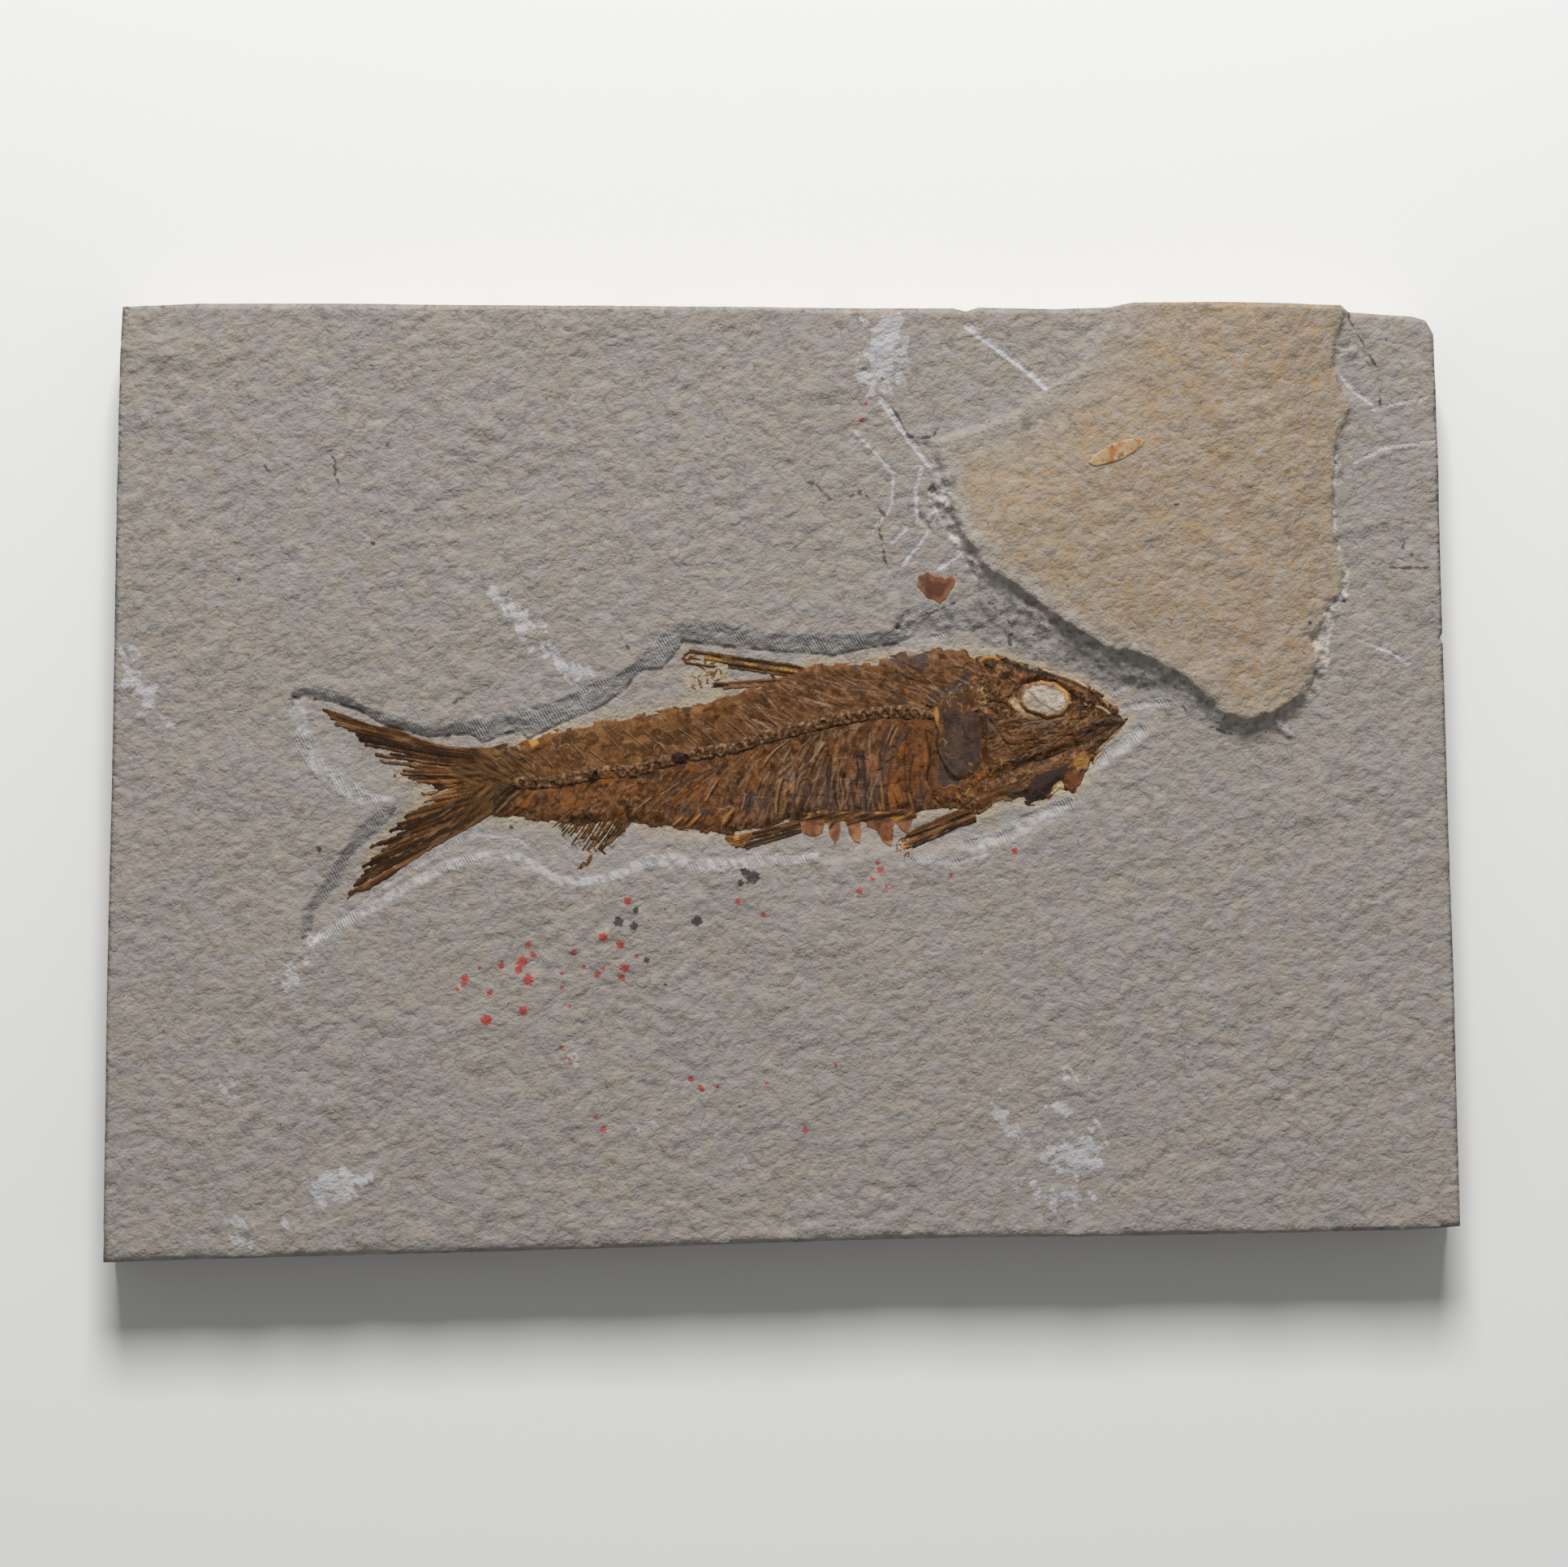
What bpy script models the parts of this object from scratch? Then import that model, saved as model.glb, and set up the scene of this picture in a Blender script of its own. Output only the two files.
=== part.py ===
"""A sawn plate of pale laminated limestone with one small fossil fish on it, lying flat, face up.

X runs from the fish's tail to its head, Y from its belly to its back, and Z out of the rock.
The underside is the plane z = 0, and the origin is under the middle of the plate.
The plate keeps a remnant of the bed above the fish, a recess that a preparator cut round the fish,
and a few gouges. The fish is thin plates of bone and scale that lie on the recess floor.
"""

import math

import bmesh
import bpy
import numpy as np
from mathutils import Vector, noise
from mathutils.geometry import delaunay_2d_cdt

MM = 0.001

# The plan is read off a photograph taken from straight above. One of its pixels is a tenth of a
# millimetre, which makes the fish 100 mm long, and the middle pixel lies over the origin.
PIXEL = 0.1 * MM
MIDDLE_PIXEL = (962.5, 965.0)

# Heights above the underside
SLAB_TOP = 9.0 * MM
UPPER_BED_RISE = 2.0 * MM
UPPER_BED_THIN_RISE = 0.7 * MM
RECESS_FLOOR = 8.2 * MM
EYE_STONE_TOP = 9.25 * MM
FISH_BED = 8.5 * MM

# Widths of slopes and walls, seen from above
BED_SLOPE = 2.6 * MM
RECESS_WALL = 1.9 * MM
EYE_STONE_WALL = 0.25 * MM
GOUGE_WIDTH = 1.2 * MM
GOUGE_DEPTH = 0.35 * MM
BED_THINNING = 14.0 * MM

# Lumps of the split surface
LUMP_SIZE = 6.5 * MM
LUMP_HEIGHT = 0.22 * MM
CALM_MARGIN = 1.0 * MM
SIDE_ROUGHNESS = 0.16 * MM

# Ribs, rays and vertebrae
RIB_PITCH = 2.3 * MM
RIB_HEIGHT = 0.16 * MM
RAY_HEIGHT = 0.10 * MM
VERTEBRA_PITCH = 1.4 * MM
VERTEBRA_KNOB = 0.13 * MM
BACKBONE_HALF_WIDTH = 0.6 * MM
BACKBONE_THICKNESS = 0.95 * MM
EYE_RIM_HEIGHT = 0.22 * MM
EYE_RIM_WIDTH = 0.8 * MM

# How finely the solids are faceted
SLAB_SPACING = 3.9 * MM
SLAB_EDGE_STEP = 4.2 * MM
BREAK_STEP = 2.6 * MM
FLANK_SPACING = 4.0 * MM
SKULL_SPACING = 1.4 * MM
FIN_SPACING = 1.7 * MM
PLATE_SPACING = 2.0 * MM
SMALL_SPACING = 1.0 * MM

# Clear space between bones that meet, and between a bone and the stone under it
GAP = 0.3 * MM

SLAB_OUTLINE = [
    (151, 378), (250, 374), (400, 374), (600, 376), (780, 377), (900, 378), (1060, 380), (1175, 380),
    (1190, 384), (1205, 379), (1300, 381), (1365, 379), (1396, 373.5), (1500, 374), (1651, 377),
    (1662, 385), (1740, 390), (1757, 395), (1766, 412), (1768, 459), (1772, 580), (1777, 780),
    (1774, 786), (1778, 795), (1784, 1000), (1791, 1200), (1796, 1400), (1799, 1511), (1750, 1515),
    (1600, 1519), (1400, 1523), (1200, 1525), (1000, 1530), (800, 1537), (600, 1543), (400, 1548),
    (250, 1552), (126, 1556.5), (128, 1480), (132, 1200), (139, 900), (144, 600), (148, 440),
]
UPPER_BED_OUTLINE = [
    (1396, 340), (1651, 340), (1653, 392), (1642, 418), (1640, 455), (1655, 490), (1662, 518),
    (1650, 549), (1642, 575), (1641, 643), (1646, 680), (1654, 716), (1646, 737), (1628, 768),
    (1616, 800), (1619, 845), (1591, 863), (1564, 875), (1528, 886), (1500, 866), (1471, 842),
    (1434, 816), (1408, 803), (1366, 799), (1335, 779), (1293, 748), (1251, 717), (1214, 696),
    (1204, 675), (1186, 659), (1178, 633), (1165, 591), (1155, 545), (1180, 538), (1240, 520),
    (1280, 490), (1330, 460), (1345, 440), (1370, 400),
]
# Where the upper bed thins out, towards the plate's top edge
BED_FEATHER_LINE = [(1155, 545), (1240, 520), (1330, 460), (1370, 400), (1396, 340)]
RECESS_OUTLINE = [
    (361, 850), (385, 844), (409, 850), (436, 863), (461, 875), (492, 887), (519, 893), (547, 893),
    (581, 886), (615, 881), (650, 872), (677, 863), (705, 853), (736, 839), (764, 828), (781, 815),
    (797, 796), (820, 776), (861, 766), (894, 768), (935, 778), (976, 782), (1020, 780), (1061, 782),
    (1102, 774), (1125, 758), (1180, 758), (1240, 770), (1290, 786), (1340, 805), (1400, 830),
    (1442, 848), (1440, 880), (1410, 914), (1375, 946), (1345, 976), (1318, 1004), (1262, 1042),
    (1188, 1062), (1127, 1066), (1060, 1062), (985, 1064), (940, 1068), (900, 1074), (860, 1072),
    (820, 1068), (788, 1074), (753, 1086), (719, 1092), (690, 1088), (668, 1070), (643, 1058),
    (612, 1058), (578, 1064), (545, 1078), (512, 1094), (478, 1113), (443, 1133), (409, 1152),
    (382, 1166), (372, 1156), (380, 1118), (405, 1080), (423, 1050), (440, 1026), (458, 1008),
    (472, 998), (490, 993), (486, 986), (455, 989), (430, 983), (409, 961), (385, 943), (368, 912),
    (358, 878),
]
GOUGES = [
    [(1191, 402), (1224, 426), (1255, 449), (1288, 477)],
    [(1080, 490), (1100, 513), (1120, 544), (1138, 569)],
    [(1056, 533), (1084, 564), (1099, 584)],
    [(1651, 462), (1668, 482), (1690, 497), (1758, 488)],
    [(1669, 570), (1706, 552), (1769, 544)],
    [(1672, 790), (1711, 803), (1737, 818)],
]
LOOSE_SCALE_OUTLINE = [
    (1128, 725), (1130, 709), (1143, 703), (1156, 708), (1176, 708), (1180, 716), (1177, 726),
    (1168, 739), (1158, 743), (1143, 738),
]
BONE_FRAGMENT_OUTLINE = [
    (1342, 568), (1350, 562), (1375, 551), (1398, 543), (1409, 543), (1404, 550), (1388, 558),
    (1370, 568), (1354, 574), (1344, 573),
]

BACKBONE_LINE = [
    (640, 965), (680, 964), (700, 960), (740, 952), (780, 950), (820, 938), (860, 929), (900, 923),
    (940, 909), (980, 899), (1020, 889), (1060, 881), (1100, 877), (1144, 879),
]
BACK_LINE = [
    (604, 923), (640, 916), (660, 908), (680, 902), (735, 891), (775, 885), (800, 878), (840, 871),
    (870, 868), (900, 856), (940, 844), (975, 830), (1000, 818), (1040, 819), (1080, 817),
    (1110, 806), (1140, 803), (1175, 798), (1190, 804), (1196, 812),
]
UPPER_FLANK_FRONT = [(1190, 823), (1180, 838), (1166, 850), (1155, 868)]
UPPER_FLANK_REAR = [(632, 957), (604, 959)]
BELLY_LINE = [
    (608, 1004), (640, 1007), (680, 1012), (720, 1016), (775, 1012), (800, 1016), (840, 1021),
    (890, 1027), (925, 1024), (945, 1019), (978, 1009), (1010, 1006), (1050, 1004), (1100, 1001),
    (1130, 1000), (1160, 996), (1187, 989),
]
LOWER_FLANK_FRONT = [(1185, 974), (1175, 964), (1166, 953), (1157, 938), (1152, 920), (1153, 896)]
LOWER_FLANK_REAR = [(641, 976), (629, 985), (617, 995)]
SKULL_OUTLINE = [
    (1201, 816), (1208, 809), (1218, 806), (1238, 812), (1262, 822), (1280, 823), (1300, 830),
    (1320, 837), (1340, 846), (1352, 855), (1372, 869), (1380, 880), (1389, 886), (1375, 893),
    (1355, 903), (1335, 915), (1310, 925), (1285, 935), (1262, 942), (1240, 950), (1216, 963),
    (1200, 974), (1193, 982), (1191, 970), (1203, 952), (1216, 942), (1216, 915), (1215, 890),
    (1209, 874), (1200, 860), (1189, 842), (1194, 828),
]
EYE_OUTLINE = [
    (1244, 866), (1262, 851), (1285, 843), (1306, 848), (1316, 860), (1313, 876), (1298, 881),
    (1272, 878), (1254, 873),
]
# The groove behind the cheek, from the skull roof down to the jaw
CHEEK_GROOVE = [(1224, 850), (1228, 872), (1234, 895), (1243, 918), (1256, 934)]
LOWER_JAW_OUTLINE = [
    (1384, 894), (1365, 914), (1347, 930), (1338, 950), (1333, 962), (1322, 975), (1306, 966),
    (1290, 982), (1268, 990), (1262, 981), (1250, 986), (1235, 986), (1222, 991), (1212, 999),
    (1201, 1004), (1196, 998), (1194, 988), (1202, 978), (1218, 968), (1242, 954), (1264, 946),
    (1288, 939), (1312, 929), (1337, 919), (1357, 907), (1376, 897),
]
GILL_COVER_OUTLINE = [
    (1161, 876), (1172, 848), (1184, 844), (1196, 862), (1205, 876), (1211, 892), (1212, 938),
    (1198, 947), (1187, 962), (1179, 962), (1169, 950), (1160, 935), (1156, 918), (1157, 895),
]
BELLY_SCUTES_OUTLINE = [
    (986, 1016), (990, 1028), (1000, 1032), (1012, 1027), (1017, 1017), (1021, 1032), (1028, 1042),
    (1034, 1036), (1038, 1019), (1044, 1022), (1051, 1038), (1060, 1040), (1063, 1022), (1070, 1018),
    (1080, 1032), (1094, 1041), (1101, 1032), (1104, 1022), (1114, 1012), (1112, 1005), (1060, 1009),
    (1020, 1011), (990, 1013),
]
DORSAL_FIN_OUTLINE = [
    (842, 806), (850, 800), (862, 802), (885, 808), (910, 814), (940, 819), (966, 822), (972, 826),
    (955, 834), (938, 840), (915, 847), (890, 852), (868, 853), (866, 845), (890, 841), (915, 838),
    (932, 834), (915, 829), (885, 823), (862, 818), (848, 816),
]
TAIL_UPPER_OUTLINE = [
    (395, 874), (404, 872), (430, 885), (460, 895), (490, 900), (520, 911), (550, 920), (575, 921),
    (600, 920), (600, 960), (575, 966), (560, 960), (545, 962), (530, 957), (518, 964), (505, 961),
    (485, 949), (470, 937), (452, 929), (438, 915), (418, 898), (402, 883),
]
TAIL_LOWER_OUTLINE = [
    (602, 965), (635, 962), (625, 980), (612, 990), (603, 1003), (590, 1011), (555, 1031),
    (535, 1042), (510, 1057), (490, 1072), (470, 1087), (455, 1097), (438, 1099), (427, 1110),
    (430, 1098), (440, 1088), (441, 1076), (458, 1048), (472, 1034), (490, 1022), (505, 1010),
    (524, 991), (545, 984), (570, 975),
]
ANAL_FIN_OUTLINE = [
    (686, 1016), (700, 1020), (722, 1021), (750, 1019), (776, 1016), (770, 1027), (757, 1037),
    (750, 1050), (741, 1052), (735, 1041), (728, 1040), (722, 1048), (713, 1055), (708, 1049),
    (713, 1041), (700, 1042), (697, 1035), (690, 1030), (682, 1023),
]
ANAL_SCRAP_OUTLINE = [(713, 1069), (715, 1062), (721, 1058), (731, 1056), (729, 1063), (721, 1070)]
PELVIC_FIN_OUTLINE = [
    (981, 1014), (965, 1019), (940, 1026), (915, 1033), (893, 1037), (896, 1043), (915, 1044),
    (945, 1039), (965, 1031), (981, 1023),
]
PECTORAL_FIN_OUTLINE = [
    (1189, 997), (1178, 1001), (1160, 1008), (1140, 1020), (1122, 1031), (1108, 1041), (1105, 1048),
    (1112, 1052), (1126, 1048), (1130, 1040), (1142, 1033), (1160, 1024), (1180, 1014), (1192, 1008),
]


def plan(pixels):
    """Plan points of the photograph as an array of x and y in metres."""
    pixels = np.array(pixels, dtype=float)
    x = (pixels[:, 0] - MIDDLE_PIXEL[0]) * PIXEL
    y = (MIDDLE_PIXEL[1] - pixels[:, 1]) * PIXEL
    return np.stack([x, y], axis=1)


def segments(line, closed):
    ends = np.roll(line, -1, axis=0)
    return (line, ends) if closed else (line[:-1], ends[:-1])


def resampled(line, step, closed=False):
    """The line with points added so that none is much over a step from the next. Its own points stay."""
    points = []
    starts, ends = segments(line, closed)
    for start, end in zip(starts, ends):
        count = max(1, round(np.linalg.norm(end - start) / step))
        points += [start + (end - start) * i / count for i in range(count)]
    if not closed:
        points.append(line[-1])
    return np.array(points)


def thinned(line, step):
    """The line without the points that are closer than a step to the last one kept."""
    kept = [line[0]]
    for point in line[1:]:
        if np.linalg.norm(point - kept[-1]) >= step:
            kept.append(point)
    return np.array(kept)


def distance(points, line, closed=False):
    """How far each point is from the nearest place on the line."""
    nearest = np.full(len(points), np.inf)
    for start, end in zip(*segments(line, closed)):
        along = end - start
        t = np.clip((points - start) @ along / max(along @ along, 1e-18), 0, 1)
        nearest = np.minimum(nearest, np.linalg.norm(points - (start + t[:, None] * along), axis=1))
    return nearest


def depth_inside(points, outline):
    """Distance to a closed outline, positive inside it and negative outside."""
    inside = np.zeros(len(points), dtype=bool)
    for (x0, y0), (x1, y1) in zip(*segments(outline, True)):
        crosses = (y0 > points[:, 1]) != (y1 > points[:, 1])
        rise = y1 - y0 if y1 != y0 else 1.0
        inside ^= crosses & (points[:, 0] < x0 + (points[:, 1] - y0) / rise * (x1 - x0))
    return np.where(inside, 1, -1) * distance(points, outline, closed=True)


def inset(outline, width):
    """The outline moved inwards by a width, point by point. The outline may turn either way."""
    ahead = np.roll(outline, -1, axis=0) - np.roll(outline, 1, axis=0)
    across = np.stack([-ahead[:, 1], ahead[:, 0]], axis=1)
    across /= np.linalg.norm(across, axis=1)[:, None]
    area = np.sum(outline[:, 0] * np.roll(outline[:, 1], -1) - outline[:, 1] * np.roll(outline[:, 0], -1))
    return outline + across * math.copysign(width, area)


def ramp(value, start, end):
    """0 below start, 1 above end, and a smooth rise between."""
    t = np.clip((value - start) / (end - start), 0, 1)
    return t * t * (3 - 2 * t)


def ripple(points, size, seed):
    """Smooth noise from -1 to 1 whose lumps are about this size."""
    return np.array([noise.noise((x / size, y / size, seed)) for x, y in points])


def scattered(outline, spacing, margin):
    """Rows of points inside the outline, each row shifted by half a space, a margin from its edge."""
    low = outline.min(axis=0)
    high = outline.max(axis=0)
    row_height = spacing * math.sqrt(3) / 2
    rows = []
    for row in range(int((high[1] - low[1]) / row_height) + 1):
        x = np.arange(low[0] + (row % 2) * spacing / 2, high[0], spacing)
        rows.append(np.stack([x, np.full(len(x), low[1] + row * row_height)], axis=1))
    points = np.concatenate(rows)
    return points[depth_inside(points, outline) > margin]


def triangulated(outline, lines, loose):
    """Plan points and triangles that fill the outline and keep every line as edges."""
    points = list(outline)
    edges = [(i, (i + 1) % len(outline)) for i in range(len(outline))]
    for line in lines:
        kept = depth_inside(line, outline) > GAP
        for i, point in enumerate(line):
            if kept[i]:
                points.append(point)
            if i and kept[i] and kept[i - 1]:
                edges.append((len(points) - 2, len(points) - 1))
    if len(lines):
        clear = np.min([distance(loose, line) for line in lines if len(line) > 1], axis=0)
        loose = loose[clear > 0.35 * nearest_spacing(loose)]
    points += list(loose)
    found = delaunay_2d_cdt([Vector(p) for p in points], edges, [], 0, 1e-7, False)
    points = np.array([tuple(p) for p in found[0]])
    triangles = np.array([tuple(face) for face in found[2]])
    inside = depth_inside(points[triangles].mean(axis=1), outline) > 0
    return points, triangles[inside].tolist()


def nearest_spacing(loose):
    """The spacing that a scattered set was made with."""
    if len(loose) < 2:
        return 0.0
    return np.linalg.norm(loose[1:] - loose[:-1], axis=1).min()


def solid_from(name, points, triangles, heights, foot_rows, material):
    """A closed solid: the faceted top, its rim run down through the foot rows, and a flat underside.

    A foot row is a height and a function that moves the rim's plan points.
    """
    bm = bmesh.new()
    corners = [bm.verts.new((x, y, z)) for (x, y), z in zip(points, heights)]
    for triangle in triangles:
        bm.faces.new([corners[i] for i in triangle])
    bmesh.ops.delete(bm, geom=[v for v in bm.verts if not v.link_faces], context="VERTS")
    bmesh.ops.recalc_face_normals(bm, faces=bm.faces[:])
    if sum(face.normal.z for face in bm.faces) < 0:
        bmesh.ops.reverse_faces(bm, faces=bm.faces[:])
    rim = [edge for edge in bm.edges if edge.is_boundary]
    for height, moved in foot_rows:
        made = bmesh.ops.extrude_edge_only(bm, edges=rim)["geom"]
        rim = [item for item in made if isinstance(item, bmesh.types.BMEdge) and item.is_boundary]
        for vert in {vert for edge in rim for vert in edge.verts}:
            x, y = moved(vert.co.x, vert.co.y)
            vert.co = (x, y, height)
    bmesh.ops.contextual_create(bm, geom=rim)
    bmesh.ops.recalc_face_normals(bm, faces=bm.faces[:])
    mesh = bpy.data.meshes.new(name)
    bm.to_mesh(mesh)
    bm.free()
    mesh.materials.append(material)
    obj = bpy.data.objects.new(name, mesh)
    bpy.context.scene.collection.children["knightia_fossil_fish"].objects.link(obj)
    return obj


def plain_material(name, colour, roughness):
    material = bpy.data.materials.new(name)
    material.use_nodes = True
    shader = material.node_tree.nodes["Principled BSDF"]
    shader.inputs["Base Color"].default_value = (*colour, 1)
    shader.inputs["Roughness"].default_value = roughness
    shader.inputs["Metallic"].default_value = 0.0
    return material


def upper_bed_height(points):
    """Rise of the upper bed: full along its broken front, thin towards the plate's top edge."""
    outline = plan(UPPER_BED_OUTLINE)
    thickness = ramp(distance(points, plan(BED_FEATHER_LINE)), 0, BED_THINNING)
    rise = UPPER_BED_THIN_RISE + (UPPER_BED_RISE - UPPER_BED_THIN_RISE) * thickness
    return rise * ramp(depth_inside(points, outline), -BED_SLOPE, 0)


def ground(points):
    """Height of the stone's face at each plan point."""
    calm = np.maximum(
        depth_inside(points, plan(LOOSE_SCALE_OUTLINE)), depth_inside(points, plan(BONE_FRAGMENT_OUTLINE))
    )
    lumps = LUMP_HEIGHT * ripple(points, LUMP_SIZE, 0.5) * (1 - ramp(calm, -2 * CALM_MARGIN, -CALM_MARGIN))
    height = SLAB_TOP + lumps + upper_bed_height(points)
    for gouge in GOUGES:
        height -= GOUGE_DEPTH * (1 - ramp(distance(points, plan(gouge)), 0, GOUGE_WIDTH / 2))
    sunk = ramp(depth_inside(points, plan(RECESS_OUTLINE)), 0, RECESS_WALL)
    height += (RECESS_FLOOR - height) * sunk
    eye = inset(plan(EYE_OUTLINE), GAP)
    return height + (EYE_STONE_TOP - height) * ramp(depth_inside(points, eye), 0, EYE_STONE_WALL)


def slab_lines():
    """The breaks of slope that the facets follow."""
    bed = resampled(plan(UPPER_BED_OUTLINE), BREAK_STEP, closed=True)
    recess = thinned(resampled(plan(RECESS_OUTLINE), BREAK_STEP, closed=True), BREAK_STEP / 2)
    eye = inset(plan(EYE_OUTLINE), GAP)
    closed = [bed, inset(bed, -BED_SLOPE), recess, inset(recess, RECESS_WALL), eye, inset(eye, EYE_STONE_WALL)]
    lines = [np.concatenate([loop, loop[:1]]) for loop in closed]
    for gouge in GOUGES:
        middle = plan(gouge)
        across = np.array([0.0, GOUGE_WIDTH / 2])
        lines += [middle - across, middle, middle + across]
    return lines


def drawn_in(seed):
    """A mover for the rim of the plate: a little inwards, by an uneven amount."""

    def moved(x, y):
        uneven = 1 + noise.noise((x / LUMP_SIZE, y / LUMP_SIZE, seed))
        kept = 1 - SIDE_ROUGHNESS * uneven / math.hypot(x, y)
        return x * kept, y * kept

    return moved


def upright(x, y):
    return x, y


def make_slab():
    """The plate: one stone with its upper bed, recess, gouges and the stone that fills the eye."""
    outline = resampled(plan(SLAB_OUTLINE), SLAB_EDGE_STEP, closed=True)
    loose = scattered(outline, SLAB_SPACING, SLAB_SPACING / 2)
    points, triangles = triangulated(outline, slab_lines(), loose)
    feet = [(0.62 * SLAB_TOP, drawn_in(3.5)), (0.3 * SLAB_TOP, drawn_in(7.5)), (0.0, drawn_in(9.5))]
    material = plain_material("limestone", (0.30, 0.27, 0.24), 0.9)
    return solid_from("slab", points, triangles, ground(points), feet, material)


def make_bone(name, outline, lines, height, colour, spacing, edge_step=None, bed=FISH_BED, roughness=0.55):
    """A thin plate of bone or scale with an upright rim. Height gives its thickness at plan points."""
    outline = resampled(outline, edge_step or spacing, closed=True)
    loose = scattered(outline, spacing, spacing / 2)
    points, triangles = triangulated(outline, lines, loose)
    material = plain_material(name + "_bone", colour, roughness)
    return solid_from(name, points, triangles, bed + height(points), [(bed, upright)], material)


def shifted(line, across):
    """The line moved along Y."""
    return line + np.array([0.0, across])


def at_x(line, x):
    """The Y of a line that runs from left to right, at each x."""
    return np.interp(x, line[:, 0], line[:, 1])


def flank(name, edge_line, front, rear, lean, thickness, colour):
    """One side of the body, from the backbone out to the back or the belly, with sloping ribs on it.

    Lean is how far a rib's outer end lies towards the tail.
    """
    spine = plan(BACKBONE_LINE)
    edge = plan(edge_line)
    side = math.copysign(BACKBONE_HALF_WIDTH + GAP, edge[:, 1].mean() - spine[:, 1].mean())
    near = shifted(spine, side)

    def outwards(points):
        at_spine = at_x(near, points[:, 0])
        return np.clip((points[:, 1] - at_spine) / (at_x(edge, points[:, 0]) - at_spine), 0, 1)

    def height(points):
        t = outwards(points)
        ribs = np.cos(2 * math.pi * (points[:, 0] + lean * t**0.8) / RIB_PITCH)
        return thickness * (1 - 0.35 * t) + RIB_HEIGHT * ribs

    t = np.linspace(0.02, 0.98, 5)
    first = round(2 * near[0, 0] / RIB_PITCH) - 3
    last = round(2 * (near[-1, 0] + lean) / RIB_PITCH) + 6
    ribs = []
    for half in range(first, last):
        x = half / 2 * RIB_PITCH - lean * t**0.8
        y = at_x(near, x) + (at_x(edge, x) - at_x(near, x)) * t
        ribs.append(np.stack([x, y], axis=1))
    outline = np.concatenate([edge, plan(front), near[::-1], plan(rear)])
    return make_bone(name, outline, ribs, height, colour, FLANK_SPACING, edge_step=RIB_PITCH / 2)


def make_backbone():
    """The vertebrae, a row of knobs grown into one strip."""
    spine = resampled(plan(BACKBONE_LINE), VERTEBRA_PITCH / 2)
    outline = np.concatenate([shifted(spine, BACKBONE_HALF_WIDTH), shifted(spine, -BACKBONE_HALF_WIDTH)[::-1]])

    def height(points):
        knob = np.cos(2 * math.pi * points[:, 0] / VERTEBRA_PITCH)
        across = np.abs(points[:, 1] - at_x(spine, points[:, 0])) / BACKBONE_HALF_WIDTH
        return BACKBONE_THICKNESS * (1 - 0.35 * across**2) + VERTEBRA_KNOB * knob

    return make_bone("backbone", outline, [spine], height, (0.08, 0.045, 0.025), VERTEBRA_PITCH)


def fin(name, outline, focus, ray_pitch, reach, thickness, colour):
    """A fin whose rays run out from a focus. The ray pitch is an angle, and reach is the longest ray."""
    focus = plan([focus])[0]
    outline = plan(outline)

    def height(points):
        away = points - focus
        angle = np.arctan2(away[:, 1], away[:, 0])
        thinning = 1 - 0.45 * np.clip(np.hypot(away[:, 0], away[:, 1]) / reach, 0, 1)
        return thickness * thinning + RAY_HEIGHT * np.cos(2 * math.pi * angle / ray_pitch)

    away = outline - focus
    angles = np.unwrap(np.arctan2(away[:, 1], away[:, 0]))
    first = math.floor(2 * angles.min() / ray_pitch)
    last = math.ceil(2 * angles.max() / ray_pitch)
    along = np.linspace(0.1, 1.0, 6)[:, None] * reach
    rays = []
    for half in range(first, last + 1):
        angle = half / 2 * ray_pitch
        rays.append(focus + along * np.array([math.cos(angle), math.sin(angle)]))
    return make_bone(name, outline, rays, height, colour, FIN_SPACING)


def make_skull():
    """Skull roof, snout and cheek, with the hole of the eye and a raised rim round it."""
    outline = plan(SKULL_OUTLINE)
    eye = plan(EYE_OUTLINE)
    cheek = plan(CHEEK_GROOVE)

    def height(points):
        crown = 0.75 * MM + 0.35 * MM * ramp(depth_inside(points, outline), 0, 2.5 * MM)
        rim = EYE_RIM_HEIGHT * np.exp(-((distance(points, eye, closed=True) / EYE_RIM_WIDTH) ** 2))
        groove = 0.3 * MM * (1 - ramp(distance(points, cheek), 0, 0.7 * MM))
        return crown + rim - groove + 0.14 * MM * ripple(points, 2.0 * MM, 4.5)

    lines = [np.concatenate([eye, eye[:1]]), resampled(cheek, SKULL_SPACING)]
    skull = make_bone("skull", outline, lines, height, (0.12, 0.065, 0.033), SKULL_SPACING)
    cut_through(skull, eye)
    return skull


def cut_through(obj, outline):
    """A hole of this outline right through the object."""
    low = FISH_BED - 1 * MM
    bm = bmesh.new()
    floor = bm.faces.new([bm.verts.new((x, y, low)) for x, y in outline])
    raised = bmesh.ops.extrude_face_region(bm, geom=[floor])["geom"]
    tops = [item for item in raised if isinstance(item, bmesh.types.BMVert)]
    bmesh.ops.translate(bm, verts=tops, vec=(0, 0, 4 * MM))
    bmesh.ops.recalc_face_normals(bm, faces=bm.faces[:])
    mesh = bpy.data.meshes.new(obj.name + "_hole")
    bm.to_mesh(mesh)
    bm.free()
    cutter = bpy.data.objects.new(obj.name + "_hole", mesh)
    cutter.hide_render = True
    cutter.display_type = "WIRE"
    bpy.context.scene.collection.children["cutters"].objects.link(cutter)
    hole = obj.modifiers.new("hole", "BOOLEAN")
    hole.operation = "DIFFERENCE"
    hole.object = cutter


def lumpy_bone(name, outline, thickness, lumps, lump_size, seed, **finish):
    """A bone that shows no rays or ribs, only low lumps."""

    def height(points):
        return thickness + lumps * ripple(points, lump_size, seed)

    return make_bone(name, plan(outline), [], height, **finish)


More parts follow.
